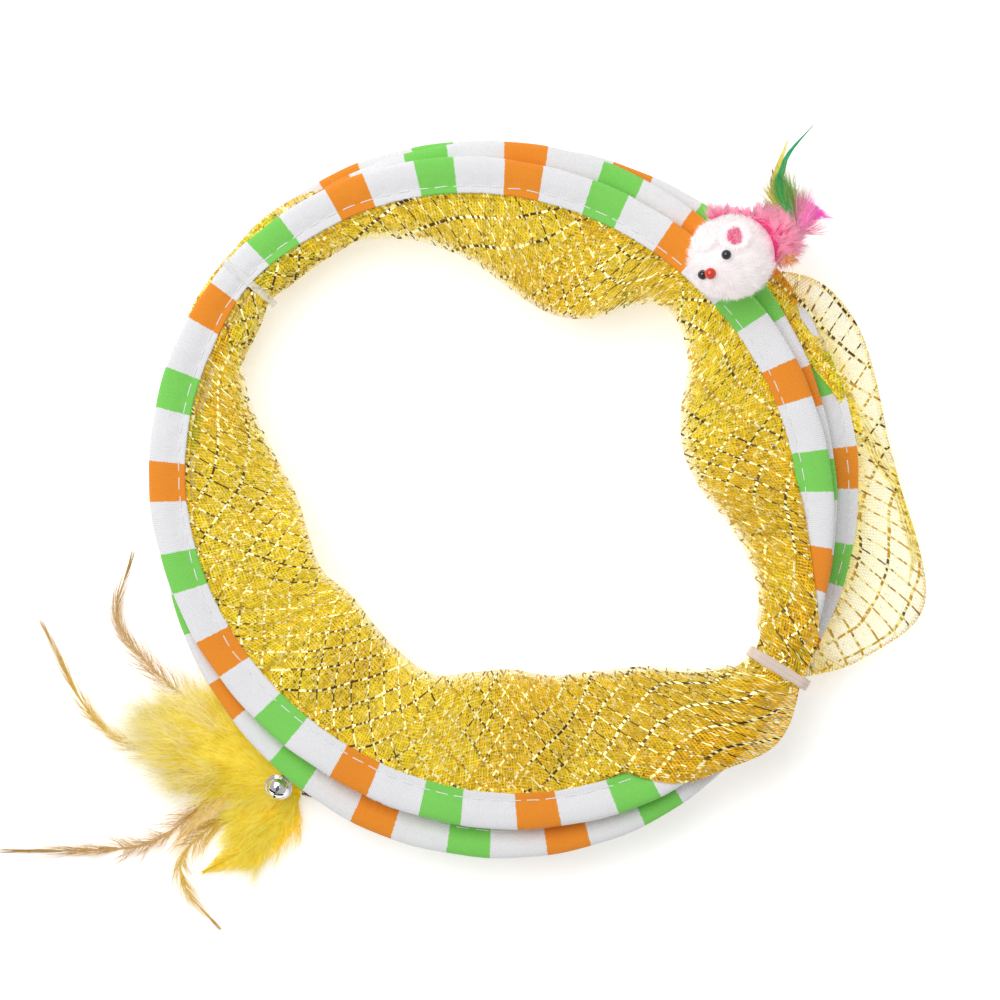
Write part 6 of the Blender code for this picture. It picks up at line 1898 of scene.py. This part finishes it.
def build_plume(look):
    """Make the heart of the plume: its lofted form, drawn in and pressed against the lower hoops."""
    along = np.linspace(0.0, 1.0, 60)[:, None]
    turn = np.arange(40) * TURN / 40
    share = 0.66 * (1.0 - 0.3 * along**3) * (1.0 + 0.10 * np.sin(7.0 * turn + 9.0 * along))
    along, turn, share = np.broadcast_arrays(along, turn, share)
    points = press_out(plume_form(along * 0.97, turn, share))
    mesh = grid_mesh("tuft_plume_heart", points[None], (False, True), caps=True)
    point_values(mesh, "out", along)
    point_values(mesh, "tone", np.full(along.shape, 0.35))
    return add_piece(mesh, [look])


def build_down(name, look, count, seed, stretch, lengths, loose):
    """Make down of the plume: fine hairs in tufts that fan out from the binding, over the plume and past it.

    Each hair starts in the plume and runs away from the binding, sideways by its place across the plume.
    Hairs of a tuft start and end close together.
    """
    random = np.random.default_rng(seed)
    tufts = count // 14
    tuft = random.integers(0, tufts, count)
    tuft_along = stretch[0] + (stretch[1] - stretch[0]) * random.beta(1.25, 1.0, tufts)
    tuft_turn = random.uniform(-0.35, math.pi + 0.35, tufts)
    along = np.clip(tuft_along[tuft] + random.normal(0.0, 0.018, count), 0.0, 1.0)
    turn = tuft_turn[tuft] + random.normal(0.0, 0.10, count)
    share = np.sqrt(random.uniform(0.30, 0.85, count))
    roots = plume_form(along * 0.93, turn, share)
    source = quill_end() + 4.0 * MM * UP
    spread = unit((roots - source) * np.array([1.0, 1.0, 0.7]))
    sideways = plume_form(along, turn, share + 0.2) - roots
    lean = random.normal(0.0, 0.22, (tufts, 3))[tuft] + random.normal(0.0, 0.10 * loose, (count, 3))
    aims = unit(spread + unit(sideways) * 0.55 + lean)
    sizes = random.uniform(*lengths, count) * (0.75 + 0.45 * random.random(tufts)[tuft])
    bends = random.normal(0.0, 0.16 * loose, (count, 3)) + random.normal(0.0, 0.16, (tufts, 3))[tuft]
    paths = hair_paths(roots, aims, sizes, bends, 4)
    paths[..., 2] = np.maximum(paths[..., 2], 0.6 * MM)
    soft = unit(aims * 0.2 + unit(sideways) * 0.4 + UP)
    return build_hair(name, press_out(paths), 0.085 * MM, [look], soft, random.random(count))


def build_low_down(look):
    """Make the down between the plume and the broad feather: hairs that fan out low from the binding."""
    random = np.random.default_rng(703)
    count = 4200
    tufts = 90
    tuft = random.integers(0, tufts, count)
    heading = np.radians(random.uniform(196.0, 240.0, tufts)[tuft] + random.normal(0.0, 2.2, count))
    start = random.uniform(3.0, 31.0, tufts)[tuft] * MM + random.normal(0.0, 1.2 * MM, count)
    level = np.stack([np.cos(heading), np.sin(heading), np.zeros(count)], axis=-1)
    roots = quill_end() + level * start[:, None]
    roots[:, 2] = random.uniform(1.4, 4.2, count) * MM
    aims = unit(level + random.normal(0.0, 0.16, (tufts, 3))[tuft] + random.normal(0.0, 0.10, (count, 3)))
    lengths = random.uniform(5.0, 11.0, count) * MM * random.uniform(0.7, 1.1, tufts)[tuft]
    bends = random.normal(0.0, 0.18, (tufts, 3))[tuft] + random.normal(0.0, 0.10, (count, 3))
    paths = hair_paths(roots, aims, lengths, bends, 4)
    paths[..., 2] = np.maximum(paths[..., 2], 0.6 * MM)
    soft = unit(UP + 0.3 * level)
    return build_hair("tuft_low_down", press_out(paths), 0.085 * MM, [look], soft, random.random(count))


def build_binding(look):
    """Make the binding: thread wound in close turns round the quills."""
    along = binding_direction()
    side = np.array([-along[1], along[0], 0.0])
    start = tuft_hang() + along * BINDING_LENGTH * (BINDING_SHIFT_SHARE - 0.5)
    share = np.linspace(0.0, 1.0, 260)
    turn = share * TURN * 6.0
    radius = (BINDING_RADIUS - 0.55 * MM) * (1.0 - 0.10 * np.cos(share * TURN))
    path = start + along * (share[:, None] * BINDING_LENGTH)
    path = path + side * (np.cos(turn) * radius)[:, None] + UP * (np.sin(turn) * radius)[:, None]
    points = tube_points(path[None], 0.54 * MM, 8, up=along)
    return add_piece(grid_mesh("tuft_thread_binding", points, (False, True), caps=True), [look])


def build_quills(look):
    """Make the bundle of bare quill ends that the binding holds: tapered rods that fan out behind it."""
    along = binding_direction()
    side = np.array([-along[1], along[0], 0.0])
    middle = tuft_hang()
    turn = np.arange(9) * 2.4
    ring = np.sqrt(np.arange(9) / 9.0) * 1.25 * MM
    offset = side * (ring * np.cos(turn))[:, None] + UP * (ring * np.sin(turn))[:, None]
    share = np.linspace(-1.0, 1.0, 24)[None, :, None]
    spread = 1.0 + 0.8 * np.clip(-share, 0.0, 1.0) ** 2 * 1.4
    reach = (3.9 * MM + 0.4 * MM * np.sin(turn))[:, None, None]
    paths = middle + offset[:, None] * spread + along * share * reach
    radius = np.broadcast_to(0.42 * MM * (1.0 - 0.35 * np.clip(-share[..., 0], 0.0, 1.0) ** 3), (9, 24))
    mesh = grid_mesh("tuft_quill_ends", tube_points(paths, radius, 8), (False, True), caps=True)
    point_values(mesh, "out", np.zeros(len(mesh.vertices)))
    point_values(mesh, "tone", np.full(len(mesh.vertices), 0.5))
    return add_piece(mesh, [look])


def twisted_thread(name, path, radius, turns, look):
    """Make a two-ply thread: two strands wound round each other along a path."""
    count = len(path)
    share = np.linspace(0.0, 1.0, count)
    along = unit(np.gradient(path, axis=0))
    side = unit(np.cross(along, np.array([0.02, 0.03, 1.0])))
    over = np.cross(side, along)
    plies = []
    for start in (0.0, math.pi):
        turn = share * TURN * turns + start
        plies.append(path + (side * np.cos(turn)[:, None] + over * np.sin(turn)[:, None]) * radius * 0.46)
    points = tube_points(np.stack(plies), radius * 0.54, 8)
    return add_piece(grid_mesh(name, points, (False, True), caps=True), [look])


def tether_ends():
    """Points where the tether leaves the bottom hoop's edge and where it meets the binding."""
    out = np.array([math.cos(TUFT_ANGLE), math.sin(TUFT_ANGLE), 0.0])
    end = tuft_hang() - out * (BINDING_RADIUS + 0.3 * MM)
    start = tuft_hang() - out * (TUFT_REACH - 0.3 * MM)
    start[2] = hoop_height(0, np.array([TUFT_ANGLE]))[0]
    return start, end


def build_tether(look):
    """Make the thread from the bottom hoop's edge to the binding."""
    start, end = tether_ends()
    share = np.linspace(0.0, 1.0, 40)[:, None]
    return twisted_thread("tuft_twisted_tether", start + (end - start) * share, THREAD_RADIUS, 3.0, look)


# Bell

BELL_PLACE_SHARES = (-0.164, 0.019)
BELL_SEAT_SHARE = 0.350
BELL_STAND = 0.95 * MM
BELL_RADIUS = 4.3 * MM
BELL_WALL = 0.45 * MM
BELL_RIM = 0.7 * MM
BELL_RIM_THICKNESS = 0.55 * MM
BELL_TILT = math.radians(31.0)
BELL_HEADING = math.radians(68.0)
BELL_SLOT_WIDTH = 0.9 * MM
BELL_SLOT_LENGTH = 5.6 * MM
BELL_BALL_RADIUS = 1.3 * MM
BELL_LOOP_RADIUS = 1.3 * MM
BELL_LOOP_WIRE = 0.35 * MM
BELL_SIDES = 72
BELL_HALF_GAP = 0.15 * MM
BELL_LOOP_FOOT = 0.3 * MM


def bell_centre():
    """Middle of the bell, so high that its loop stands just over the plume."""
    middle = quill_end() + np.array([BELL_PLACE_SHARES[0], BELL_PLACE_SHARES[1], 0.0]) * PLUME_LENGTH
    loop_end = BELL_RADIUS + BELL_LOOP_FOOT + 2.0 * (BELL_LOOP_RADIUS + BELL_LOOP_WIRE)
    middle[2] = PLUME_LIFT + BELL_SEAT_SHARE * PLUME_HEIGHT + BELL_STAND + math.cos(BELL_TILT) * loop_end
    return middle


def bell_axes():
    """The bell's own three directions; the last is its axis, towards the slots."""
    lean = np.array([math.cos(BELL_HEADING), math.sin(BELL_HEADING), 0.0])
    axis = unit(UP * math.cos(BELL_TILT) - lean * math.sin(BELL_TILT))
    first = unit(np.cross(UP, axis))
    return np.stack([first, np.cross(axis, first), axis])


def bell_grid(local):
    """A grid of places given in the bell's own directions, in the object's frame."""
    return (bell_centre() + local @ bell_axes())[None]


def bell_half(name, upper, look):
    """Make one half of the bell: a half ball whose wall ends in a rolled rim, turned round the axis.

    The outline runs from the outer pole down to the rim, round it, and up inside to the inner pole.
    """
    fall = np.radians(np.linspace(0.6, 82.0, 22))
    outer = np.stack([np.sin(fall), np.cos(fall)], axis=-1) * BELL_RADIUS
    rim_turn = np.radians(np.linspace(80.0, -90.0, 9))
    half_rim = BELL_RIM_THICKNESS / 2.0
    rim_middle = np.array([BELL_RADIUS + BELL_RIM - half_rim, half_rim + BELL_HALF_GAP])
    rim = rim_middle + np.stack([np.cos(rim_turn), np.sin(rim_turn)], axis=-1) * (half_rim - 0.02 * MM)
    rim[:, 1] = np.maximum(rim[:, 1], BELL_HALF_GAP)
    inner = np.stack([np.sin(fall), np.cos(fall)], axis=-1)[::-1] * (BELL_RADIUS - BELL_WALL)
    foot = np.array([[BELL_RADIUS - BELL_WALL, BELL_HALF_GAP]])
    outline = np.concatenate([outer, rim, foot, inner])
    spin = np.arange(BELL_SIDES) * TURN / BELL_SIDES
    spin = -spin if upper else spin
    height = outline[:, 1] if upper else -outline[:, 1]
    up = np.broadcast_to(height[:, None], (len(outline), BELL_SIDES))
    local = np.stack([outline[:, :1] * np.cos(spin), outline[:, :1] * np.sin(spin), up], axis=-1)
    return add_piece(grid_mesh(name, bell_grid(local), (False, True), caps=True), [look])


def cut_slots(piece):
    """Cut the two crossed slots with round ends through the top of the slotted half."""
    spin = np.linspace(0.0, TURN, 33)[:-1]
    straight = BELL_SLOT_LENGTH / 2.0 - BELL_SLOT_WIDTH / 2.0
    outline = np.stack([
        np.sign(np.cos(spin)) * straight + np.cos(spin) * BELL_SLOT_WIDTH / 2.0,
        np.sin(spin) * BELL_SLOT_WIDTH / 2.0,
    ], axis=-1)
    heights = np.array([BELL_RADIUS * 0.55, BELL_RADIUS * 1.5])
    for quarter in (0, 1):
        level = outline if quarter == 0 else np.stack([-outline[:, 1], outline[:, 0]], axis=-1)
        up = np.broadcast_to(heights[:, None, None], (2, len(spin), 1))
        local = np.concatenate([np.tile(level, (2, 1, 1)), up], axis=-1)
        tool_mesh = grid_mesh("slot_cutter", bell_grid(local), (False, True), caps=True)
        tool = bpy.data.objects.new("slot_cutter", tool_mesh)
        bpy.context.collection.objects.link(tool)
        change = piece.modifiers.new("slot", "BOOLEAN")
        change.operation = "DIFFERENCE"
        change.solver = "EXACT"
        change.object = tool
        bpy.context.view_layer.update()
        finished = piece.evaluated_get(bpy.context.evaluated_depsgraph_get())
        result = bpy.data.meshes.new_from_object(finished)
        piece.modifiers.clear()
        piece.data = result
        bpy.data.objects.remove(tool, do_unlink=True)
    piece.data.name = piece.name


def build_bell_loop(look):
    """Make the bell's wire loop: a small ring that stands on the closed half's pole."""
    spin = np.arange(48) * TURN / 48
    ring = np.arange(12) * TURN / 12
    reach = BELL_LOOP_RADIUS + BELL_LOOP_WIRE * np.cos(ring)
    drop = BELL_RADIUS + BELL_LOOP_RADIUS + BELL_LOOP_WIRE + BELL_LOOP_FOOT
    across = np.broadcast_to(BELL_LOOP_WIRE * np.sin(ring), (len(spin), len(ring)))
    local = np.stack([np.cos(spin)[:, None] * reach, across, np.sin(spin)[:, None] * reach - drop], axis=-1)
    return add_piece(grid_mesh("bell_wire_loop", bell_grid(local), (True, True)), [look])


def build_bell_thread(look):
    """Make the dark thread of the bell: from its loop up beside the rim, over and down into the feathers."""
    lean = np.array([math.cos(BELL_HEADING), math.sin(BELL_HEADING), 0.0])
    loop = bell_centre() - bell_axes()[2] * (BELL_RADIUS + BELL_LOOP_RADIUS * 2.0)
    knot = bell_centre() + lean * (BELL_RADIUS + BELL_RIM + 0.9 * MM)
    corners = [
        loop,
        loop + lean * 2.4 * MM + 1.0 * MM * UP,
        knot - 1.2 * MM * UP,
        knot + lean * 0.8 * MM + np.array([-0.8, 0.0, 0.5]) * MM,
        knot + np.array([1.0, 0.4, 0.1]) * MM,
        knot + np.array([0.7, -0.6, -2.0]) * MM,
    ]
    return twisted_thread("bell_twisted_thread", spline(corners, 90), 0.42 * MM, 9.0, look)


def build_ball(look):
    """Make the bell's loose ball: a pressed steel ball with a fine seam round it."""
    inner = BELL_RADIUS - BELL_WALL
    middle = bell_centre() - (inner - BELL_BALL_RADIUS - 0.6 * MM) * UP
    direction = round_directions(24, 36)
    seam = 1.0 - 0.03 * np.exp(-((direction[..., 2:] / 0.06) ** 2))
    points = middle + direction * BELL_BALL_RADIUS * seam
    return add_piece(grid_mesh("bell_pressed_ball", points[None], (False, True), caps=True), [look])


# Operators

class TunnelOperator:
    """Common part of the tunnel's operators."""

    bl_options = {"REGISTER", "UNDO"}


def carry(pieces, body, node):
    """Let pieces ride on a body, and hide the imported node that they stand in for."""
    for piece in pieces:
        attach(piece, body)
    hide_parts(node)


class CAT_TUNNEL_OT_casings(TunnelOperator, bpy.types.Operator):
    """Make the five striped casings and their seams"""

    bl_idname = "cat_tunnel.casings"
    bl_label = "Striped Casings"

    def execute(self, context):
        settings = context.scene.tunnel_casing
        look = casing_cloth(settings)
        thread = sewing_thread()
        for index in range(len(HOOPS)):
            hoop = f"hoop_{index + 1}"
            carry((build_casing(index, look, settings),), hoop, f"{hoop}_casing")
            seam = build_stitches(index, thread, settings)
            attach(seam, hoop)
        return {"FINISHED"}


class CAT_TUNNEL_OT_gauze(TunnelOperator, bpy.types.Operator):
    """Make the four folded sections of gold gauze"""

    bl_idname = "cat_tunnel.gauze"
    bl_label = "Gold Gauze"

    def execute(self, context):
        settings = context.scene.tunnel_gauze
        look = gold_gauze(settings)
        for section in range(len(HOOPS) - 1):
            piece, length, area = build_gauze(section, look, settings)
            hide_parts(f"net_{section + 1}")
            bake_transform(piece)
        return {"FINISHED"}


class CAT_TUNNEL_OT_springs(TunnelOperator, bpy.types.Operator):
    """Give the spring wires inside the casings their drawn steel"""

    bl_idname = "cat_tunnel.springs"
    bl_label = "Spring Wires"

    def execute(self, context):
        look = plated_metal("drawn_steel", (0.42, 0.42, 0.44), 0.28)
        for index in range(len(HOOPS)):
            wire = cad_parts[f"hoop_{index + 1}_wire"]
            for slot in wire.material_slots:
                slot.material = look
        return {"FINISHED"}


class CAT_TUNNEL_OT_ties(TunnelOperator, bpy.types.Operator):
    """Make the two elastic ties that hold the tunnel flat"""

    bl_idname = "cat_tunnel.ties"
    bl_label = "Elastic Ties"

    def execute(self, context):
        settings = context.scene.tunnel_tie
        looks = (
            elastic_band("clear_elastic", settings.clear, 0.30),
            elastic_band("milky_elastic", settings.colour, 0.85),
        )
        widths = (settings.clear_width, settings.width)
        for number, angle in enumerate(TIE_ANGLES):
            tie = build_tie(number, looks[number], widths[number])
            carry((tie,), "hoop_1", f"tie_{number + 1}")
            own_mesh(tie)
        return {"FINISHED"}


class CAT_TUNNEL_OT_mouse(TunnelOperator, bpy.types.Operator):
    """Make the plush mouse with its beads, ears, knot and tail of feathers"""

    bl_idname = "cat_tunnel.mouse"
    bl_label = "Plush Mouse"

    def execute(self, context):
        settings = context.scene.tunnel_mouse
        white_root = tuple(0.86 * part for part in settings.white)
        white = plush_fur("white_plush", white_root, tuple(settings.white), 0.42)
        deep_pink = (settings.pink[0] * 0.82, settings.pink[1] * 0.14, settings.pink[2] * 0.40)
        pink = plush_fur("pink_plush", deep_pink, tuple(settings.pink), 0.40, 0.5)
        ear = plush_fur("pink_felt", deep_pink, tuple(settings.inner_ear), 0.30)
        black = glossy_bead("black_glass", tuple(settings.black))
        red = glossy_bead("red_glass", tuple(settings.red))
        head = build_head(settings, white)
        carry(head, "mouse", "mouse_head")
        back = (*build_back(settings, pink), build_fringe(pink))
        carry(back, "mouse", "mouse_back")
        near_ear = build_ear("mouse_ear_near", NEAR_EAR_SHARES, (white, ear), 631)
        carry(near_ear, "mouse", "mouse_ear_near")
        far_ear = build_ear("mouse_ear_far", FAR_EAR_SHARES, (white, white), 632)
        carry(far_ear, "mouse", "mouse_ear_far")
        near_eye = build_bead("mouse_eye_bead_near", NEAR_EYE_SHARES, EYE_RADIUS, black)
        carry((near_eye,), "mouse", "mouse_eye_near")
        far_eye = build_bead("mouse_eye_bead_far", FAR_EYE_SHARES, EYE_RADIUS, black, -0.2)
        carry((far_eye,), "mouse", "mouse_eye_far")
        nose = build_bead("mouse_nose_bead", NOSE_SHARES, NOSE_RADIUS, red)
        carry((nose,), "mouse", "mouse_nose")
        knot = build_knot(spun_thread("elastic_thread", (0.55, 0.52, 0.50), (0.85, 0.82, 0.78)))
        carry((knot,), "mouse", "mouse_knot")
        self.add_loose_hair()
        for number, feather in enumerate(TAIL_FEATHERS):
            name = feather["name"]
            look = dyed_feather(name + "_dye", *feather["dyes"])
            made = build_feather(name, tail_root(feather["aim"]), feather, [look], 640 + number)
            carry(made, "mouse", name)
        return {"FINISHED"}

    def add_loose_hair(self):
        """Add the wisps at the roots of the tail and the thread ends behind the mouse."""
        fuchsia = dyed_feather("fuchsia_wisp", (0.90, 0.10, 0.55), (0.92, 0.36, 0.62), (0.95, 0.62, 0.62))
        moss = dyed_feather("moss_wisp", (0.08, 0.36, 0.07), (0.40, 0.44, 0.06), (0.36, 0.18, 0.09))
        thread = dyed_feather("gilt_thread", (0.55, 0.16, 0.03), (0.80, 0.40, 0.05), (0.92, 0.86, 0.70))
        pink_lengths = (6.0 * MM, 14.0 * MM)
        moss_lengths = (12.0 * MM, 22.0 * MM)
        pink = build_wisps("tail_pink_wisps", 1100, (48.0, 148.0), pink_lengths, [fuchsia], 651)
        green = build_wisps("tail_moss_wisps", 700, (70.0, 126.0), moss_lengths, [moss], 652)
        bundle = build_bundle(thread)
        for piece, slot in ((pink, "magenta_feather"), (green, "green_feather"), (bundle, "elastic")):
            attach(piece, "mouse")


class CAT_TUNNEL_OT_tuft(TunnelOperator, bpy.types.Operator):
    """Make the feather tuft: tether, binding, plume, hackles and broad feathers"""

    bl_idname = "cat_tunnel.tuft"
    bl_label = "Feather Tuft"

    def execute(self, context):
        settings = context.scene.tunnel_feather
        threads = context.scene.tunnel_bell
        thread = spun_thread("dark_spun_thread", tuple(threads.thread_dark), tuple(threads.thread_pale))
        tether = build_tether(thread)
        start, end = tether_ends()
        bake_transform(tether)
        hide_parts("tuft_tether")
        carry((build_binding(thread),), "tuft", "tuft_binding")
        yellow, pale = tuple(settings.yellow), tuple(settings.pale)
        tan, gold = tuple(settings.tan), tuple(settings.gold)
        quill = dyed_feather("bare_quill", (0.62, 0.44, 0.20), (0.62, 0.44, 0.20), (0.75, 0.60, 0.35))
        quills = build_quills(quill)
        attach(quills, "tuft")
        down = plush_fur("yellow_down", yellow, pale, 0.26)
        cream = plush_fur("cream_down", yellow, (0.97, 0.86, 0.50), 0.20)
        short, long = (5.0 * MM, 11.5 * MM), (9.0 * MM, 19.0 * MM)
        made = (
            build_plume(down),
            build_down("tuft_plume_down", down, settings.down_count, 701, (0.0, 1.0), short, 1.0),
            build_down("tuft_plume_wisps", cream, 1800, 702, (0.45, 1.0), long, 1.7),
            build_low_down(down),
        )
        carry(made, "tuft", "tuft_plume")
        hackle_tan = dyed_feather("tan_hackle", yellow, tan, tuple(0.8 * part for part in tan), 0.05)
        hackle_gold = dyed_feather("gold_hackle", yellow, gold, tan, 0.05)
        vane = dyed_feather("yellow_vane", yellow, (0.84, 0.66, 0.045), (0.80, 0.60, 0.06), 0.20)
        leaf = dyed_feather("tan_leaf", gold, (0.78, 0.56, 0.18), (0.74, 0.50, 0.17), 0.18)
        looks = {
            "tuft_hackle_top": hackle_tan, "tuft_hackle_long": hackle_gold, "tuft_hackle_left": hackle_tan,
            "tuft_hackle_low": hackle_gold, "tuft_leaf_feather": leaf, "tuft_vane_feather": vane,
        }
        for number, feather in enumerate(TUFT_FEATHERS):
            name = feather["name"]
            root = quill_end() + np.array(feather["root_shares"]) * PLUME_LENGTH + QUILL_HEIGHT * UP
            made = build_feather(name, root, feather, [looks[name]], 720 + number)
            carry(made, "tuft", name)
        return {"FINISHED"}


class CAT_TUNNEL_OT_bell(TunnelOperator, bpy.types.Operator):
    """Make the jingle bell with its slots, loop, thread and loose ball"""

    bl_idname = "cat_tunnel.bell"
    bl_label = "Jingle Bell"

    def execute(self, context):
        settings = context.scene.tunnel_bell
        chrome = plated_metal("bright_chrome", tuple(settings.chrome), 0.07)
        slotted = bell_half("bell_slotted_shell", True, chrome)
        cut_slots(slotted)
        closed = bell_half("bell_closed_shell", False, chrome)
        loop = build_bell_loop(chrome)
        ball = build_ball(plated_metal("pressed_steel", (0.5, 0.5, 0.52), 0.3))
        thread = build_bell_thread(
            spun_thread("bell_spun_thread", tuple(settings.thread_dark), tuple(settings.thread_pale))
        )
        carry((slotted,), "bell", "bell_slotted_half")
        carry((closed,), "bell", "bell_loop_half")
        carry((loop,), "bell", "bell_loop")
        carry((ball,), "ball", "bell_ball")
        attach(thread, "bell")
        return {"FINISHED"}


class CAT_TUNNEL_OT_stage(TunnelOperator, bpy.types.Operator):
    """Make the floor, the lights and the camera"""

    bl_idname = "cat_tunnel.stage"
    bl_label = "Stage"

    def execute(self, context):
        settings = context.scene.tunnel_stage
        scene = context.scene
        build_floor(settings)
        build_lights(settings)
        build_camera(scene, settings)
        scene.view_settings.view_transform = "Standard"
        scene.cycles.transparent_max_bounces = 40
        return {"FINISHED"}


# Stage

FLOOR_SIZE = 6.0
VIEW_MIDDLE = (11.6 * MM, 10.2 * MM, 24.0 * MM)


def build_floor(settings):
    """Make a pale floor with the faintest mottle."""
    half = FLOOR_SIZE / 2.0
    corners = np.array([[-half, -half, 0.0], [half, -half, 0.0], [-half, half, 0.0], [half, half, 0.0]])
    mesh = grid_mesh("floor", corners.reshape(1, 2, 2, 3)[:, :, ::-1])
    made, tree, shader = new_material("floor_paper")
    place = object_place(tree)
    worn = mottled(tree, tuple(settings.floor), place, 0.01, 0.01)
    set_shader(
        tree, shader, Base_Color=worn, Roughness=0.9, Emission_Color=worn, Emission_Strength=settings.glow,
    )
    floor = add_piece(mesh, [made])
    return floor


def build_lights(settings):
    """Make an even sky, darker right overhead where the camera stands, and one large softbox beside it."""
    world = bpy.data.worlds.new("even_sky")
    world.use_nodes = True
    tree = world.node_tree
    background = tree.nodes["Background"]
    direction = add_node(tree, "ShaderNodeTexCoord").outputs["Generated"]
    up = add_node(tree, "ShaderNodeSeparateXYZ", {0: direction}).outputs[2]
    overhead = ease(tree, up, 0.90, 0.985)
    colour = blend_colours(tree, overhead, (1.0, 1.0, 1.0), (0.18, 0.18, 0.20))
    tree.links.new(colour, background.inputs["Color"])
    background.inputs["Strength"].default_value = settings.sky
    bpy.context.scene.world = world
    softbox = bpy.data.lights.new("softbox", "AREA")
    softbox.shape = "SQUARE"
    softbox.size = 1.4
    softbox.energy = settings.light
    lamp = bpy.data.objects.new("softbox", softbox)
    lamp.location = (-0.5, 0.6, 1.5)
    lamp.rotation_euler = (-0.38, -0.32, 0.0)
    bpy.context.collection.objects.link(lamp)


def build_camera(scene, settings):
    """Make a long lens that looks straight down on the tunnel."""
    data = bpy.data.cameras.new("camera")
    data.lens = settings.lens
    data.sensor_width = 36.0
    distance = settings.view_width * settings.lens / data.sensor_width
    camera = bpy.data.objects.new("camera", data)
    camera.location = (VIEW_MIDDLE[0], VIEW_MIDDLE[1], VIEW_MIDDLE[2] + distance)
    bpy.context.collection.objects.link(camera)
    scene.camera = camera


class CAT_TUNNEL_PT_panel(bpy.types.Panel):
    """Buttons for the tunnel's pieces in the order in which they are made"""

    bl_idname = "CAT_TUNNEL_PT_panel"
    bl_label = "Cat Tunnel"
    bl_space_type = "VIEW_3D"
    bl_region_type = "UI"
    bl_category = "Cat Tunnel"

    def draw(self, context):
        """Show the operators and the settings in the sidebar."""
        for operator in OPERATORS:
            self.layout.operator(operator.bl_idname)
        for name in SETTINGS:
            group = getattr(context.scene, name)
            box = self.layout.box()
            for key in group.__annotations__:
                box.prop(group, key)


OPERATORS = (
    CAT_TUNNEL_OT_springs, CAT_TUNNEL_OT_casings, CAT_TUNNEL_OT_gauze, CAT_TUNNEL_OT_ties,
    CAT_TUNNEL_OT_mouse, CAT_TUNNEL_OT_tuft, CAT_TUNNEL_OT_bell, CAT_TUNNEL_OT_stage,
)
SETTINGS = {
    "tunnel_casing": CasingSettings,
    "tunnel_gauze": GauzeSettings,
    "tunnel_tie": TieSettings,
    "tunnel_mouse": MouseSettings,
    "tunnel_feather": FeatherSettings,
    "tunnel_bell": BellSettings,
    "tunnel_stage": StageSettings,
}


def register():
    """Register the classes and hang the settings on the scene."""
    for one in (*SETTINGS.values(), *OPERATORS, CAT_TUNNEL_PT_panel):
        bpy.utils.register_class(one)
    for name, group in SETTINGS.items():
        setattr(bpy.types.Scene, name, bpy.props.PointerProperty(type=group))


def unregister():
    """Take the settings and the classes away again."""
    for name in SETTINGS:
        delattr(bpy.types.Scene, name)
    for one in (CAT_TUNNEL_PT_panel, *OPERATORS, *reversed(SETTINGS.values())):
        bpy.utils.unregister_class(one)


def main():
    """Make every piece in order."""
    register()
    bpy.ops.cat_tunnel.springs()
    bpy.ops.cat_tunnel.casings()
    bpy.ops.cat_tunnel.gauze()
    bpy.ops.cat_tunnel.ties()
    bpy.ops.cat_tunnel.mouse()
    bpy.ops.cat_tunnel.tuft()
    bpy.ops.cat_tunnel.bell()
    bpy.ops.cat_tunnel.stage()


if __name__ == "__main__":
    main()
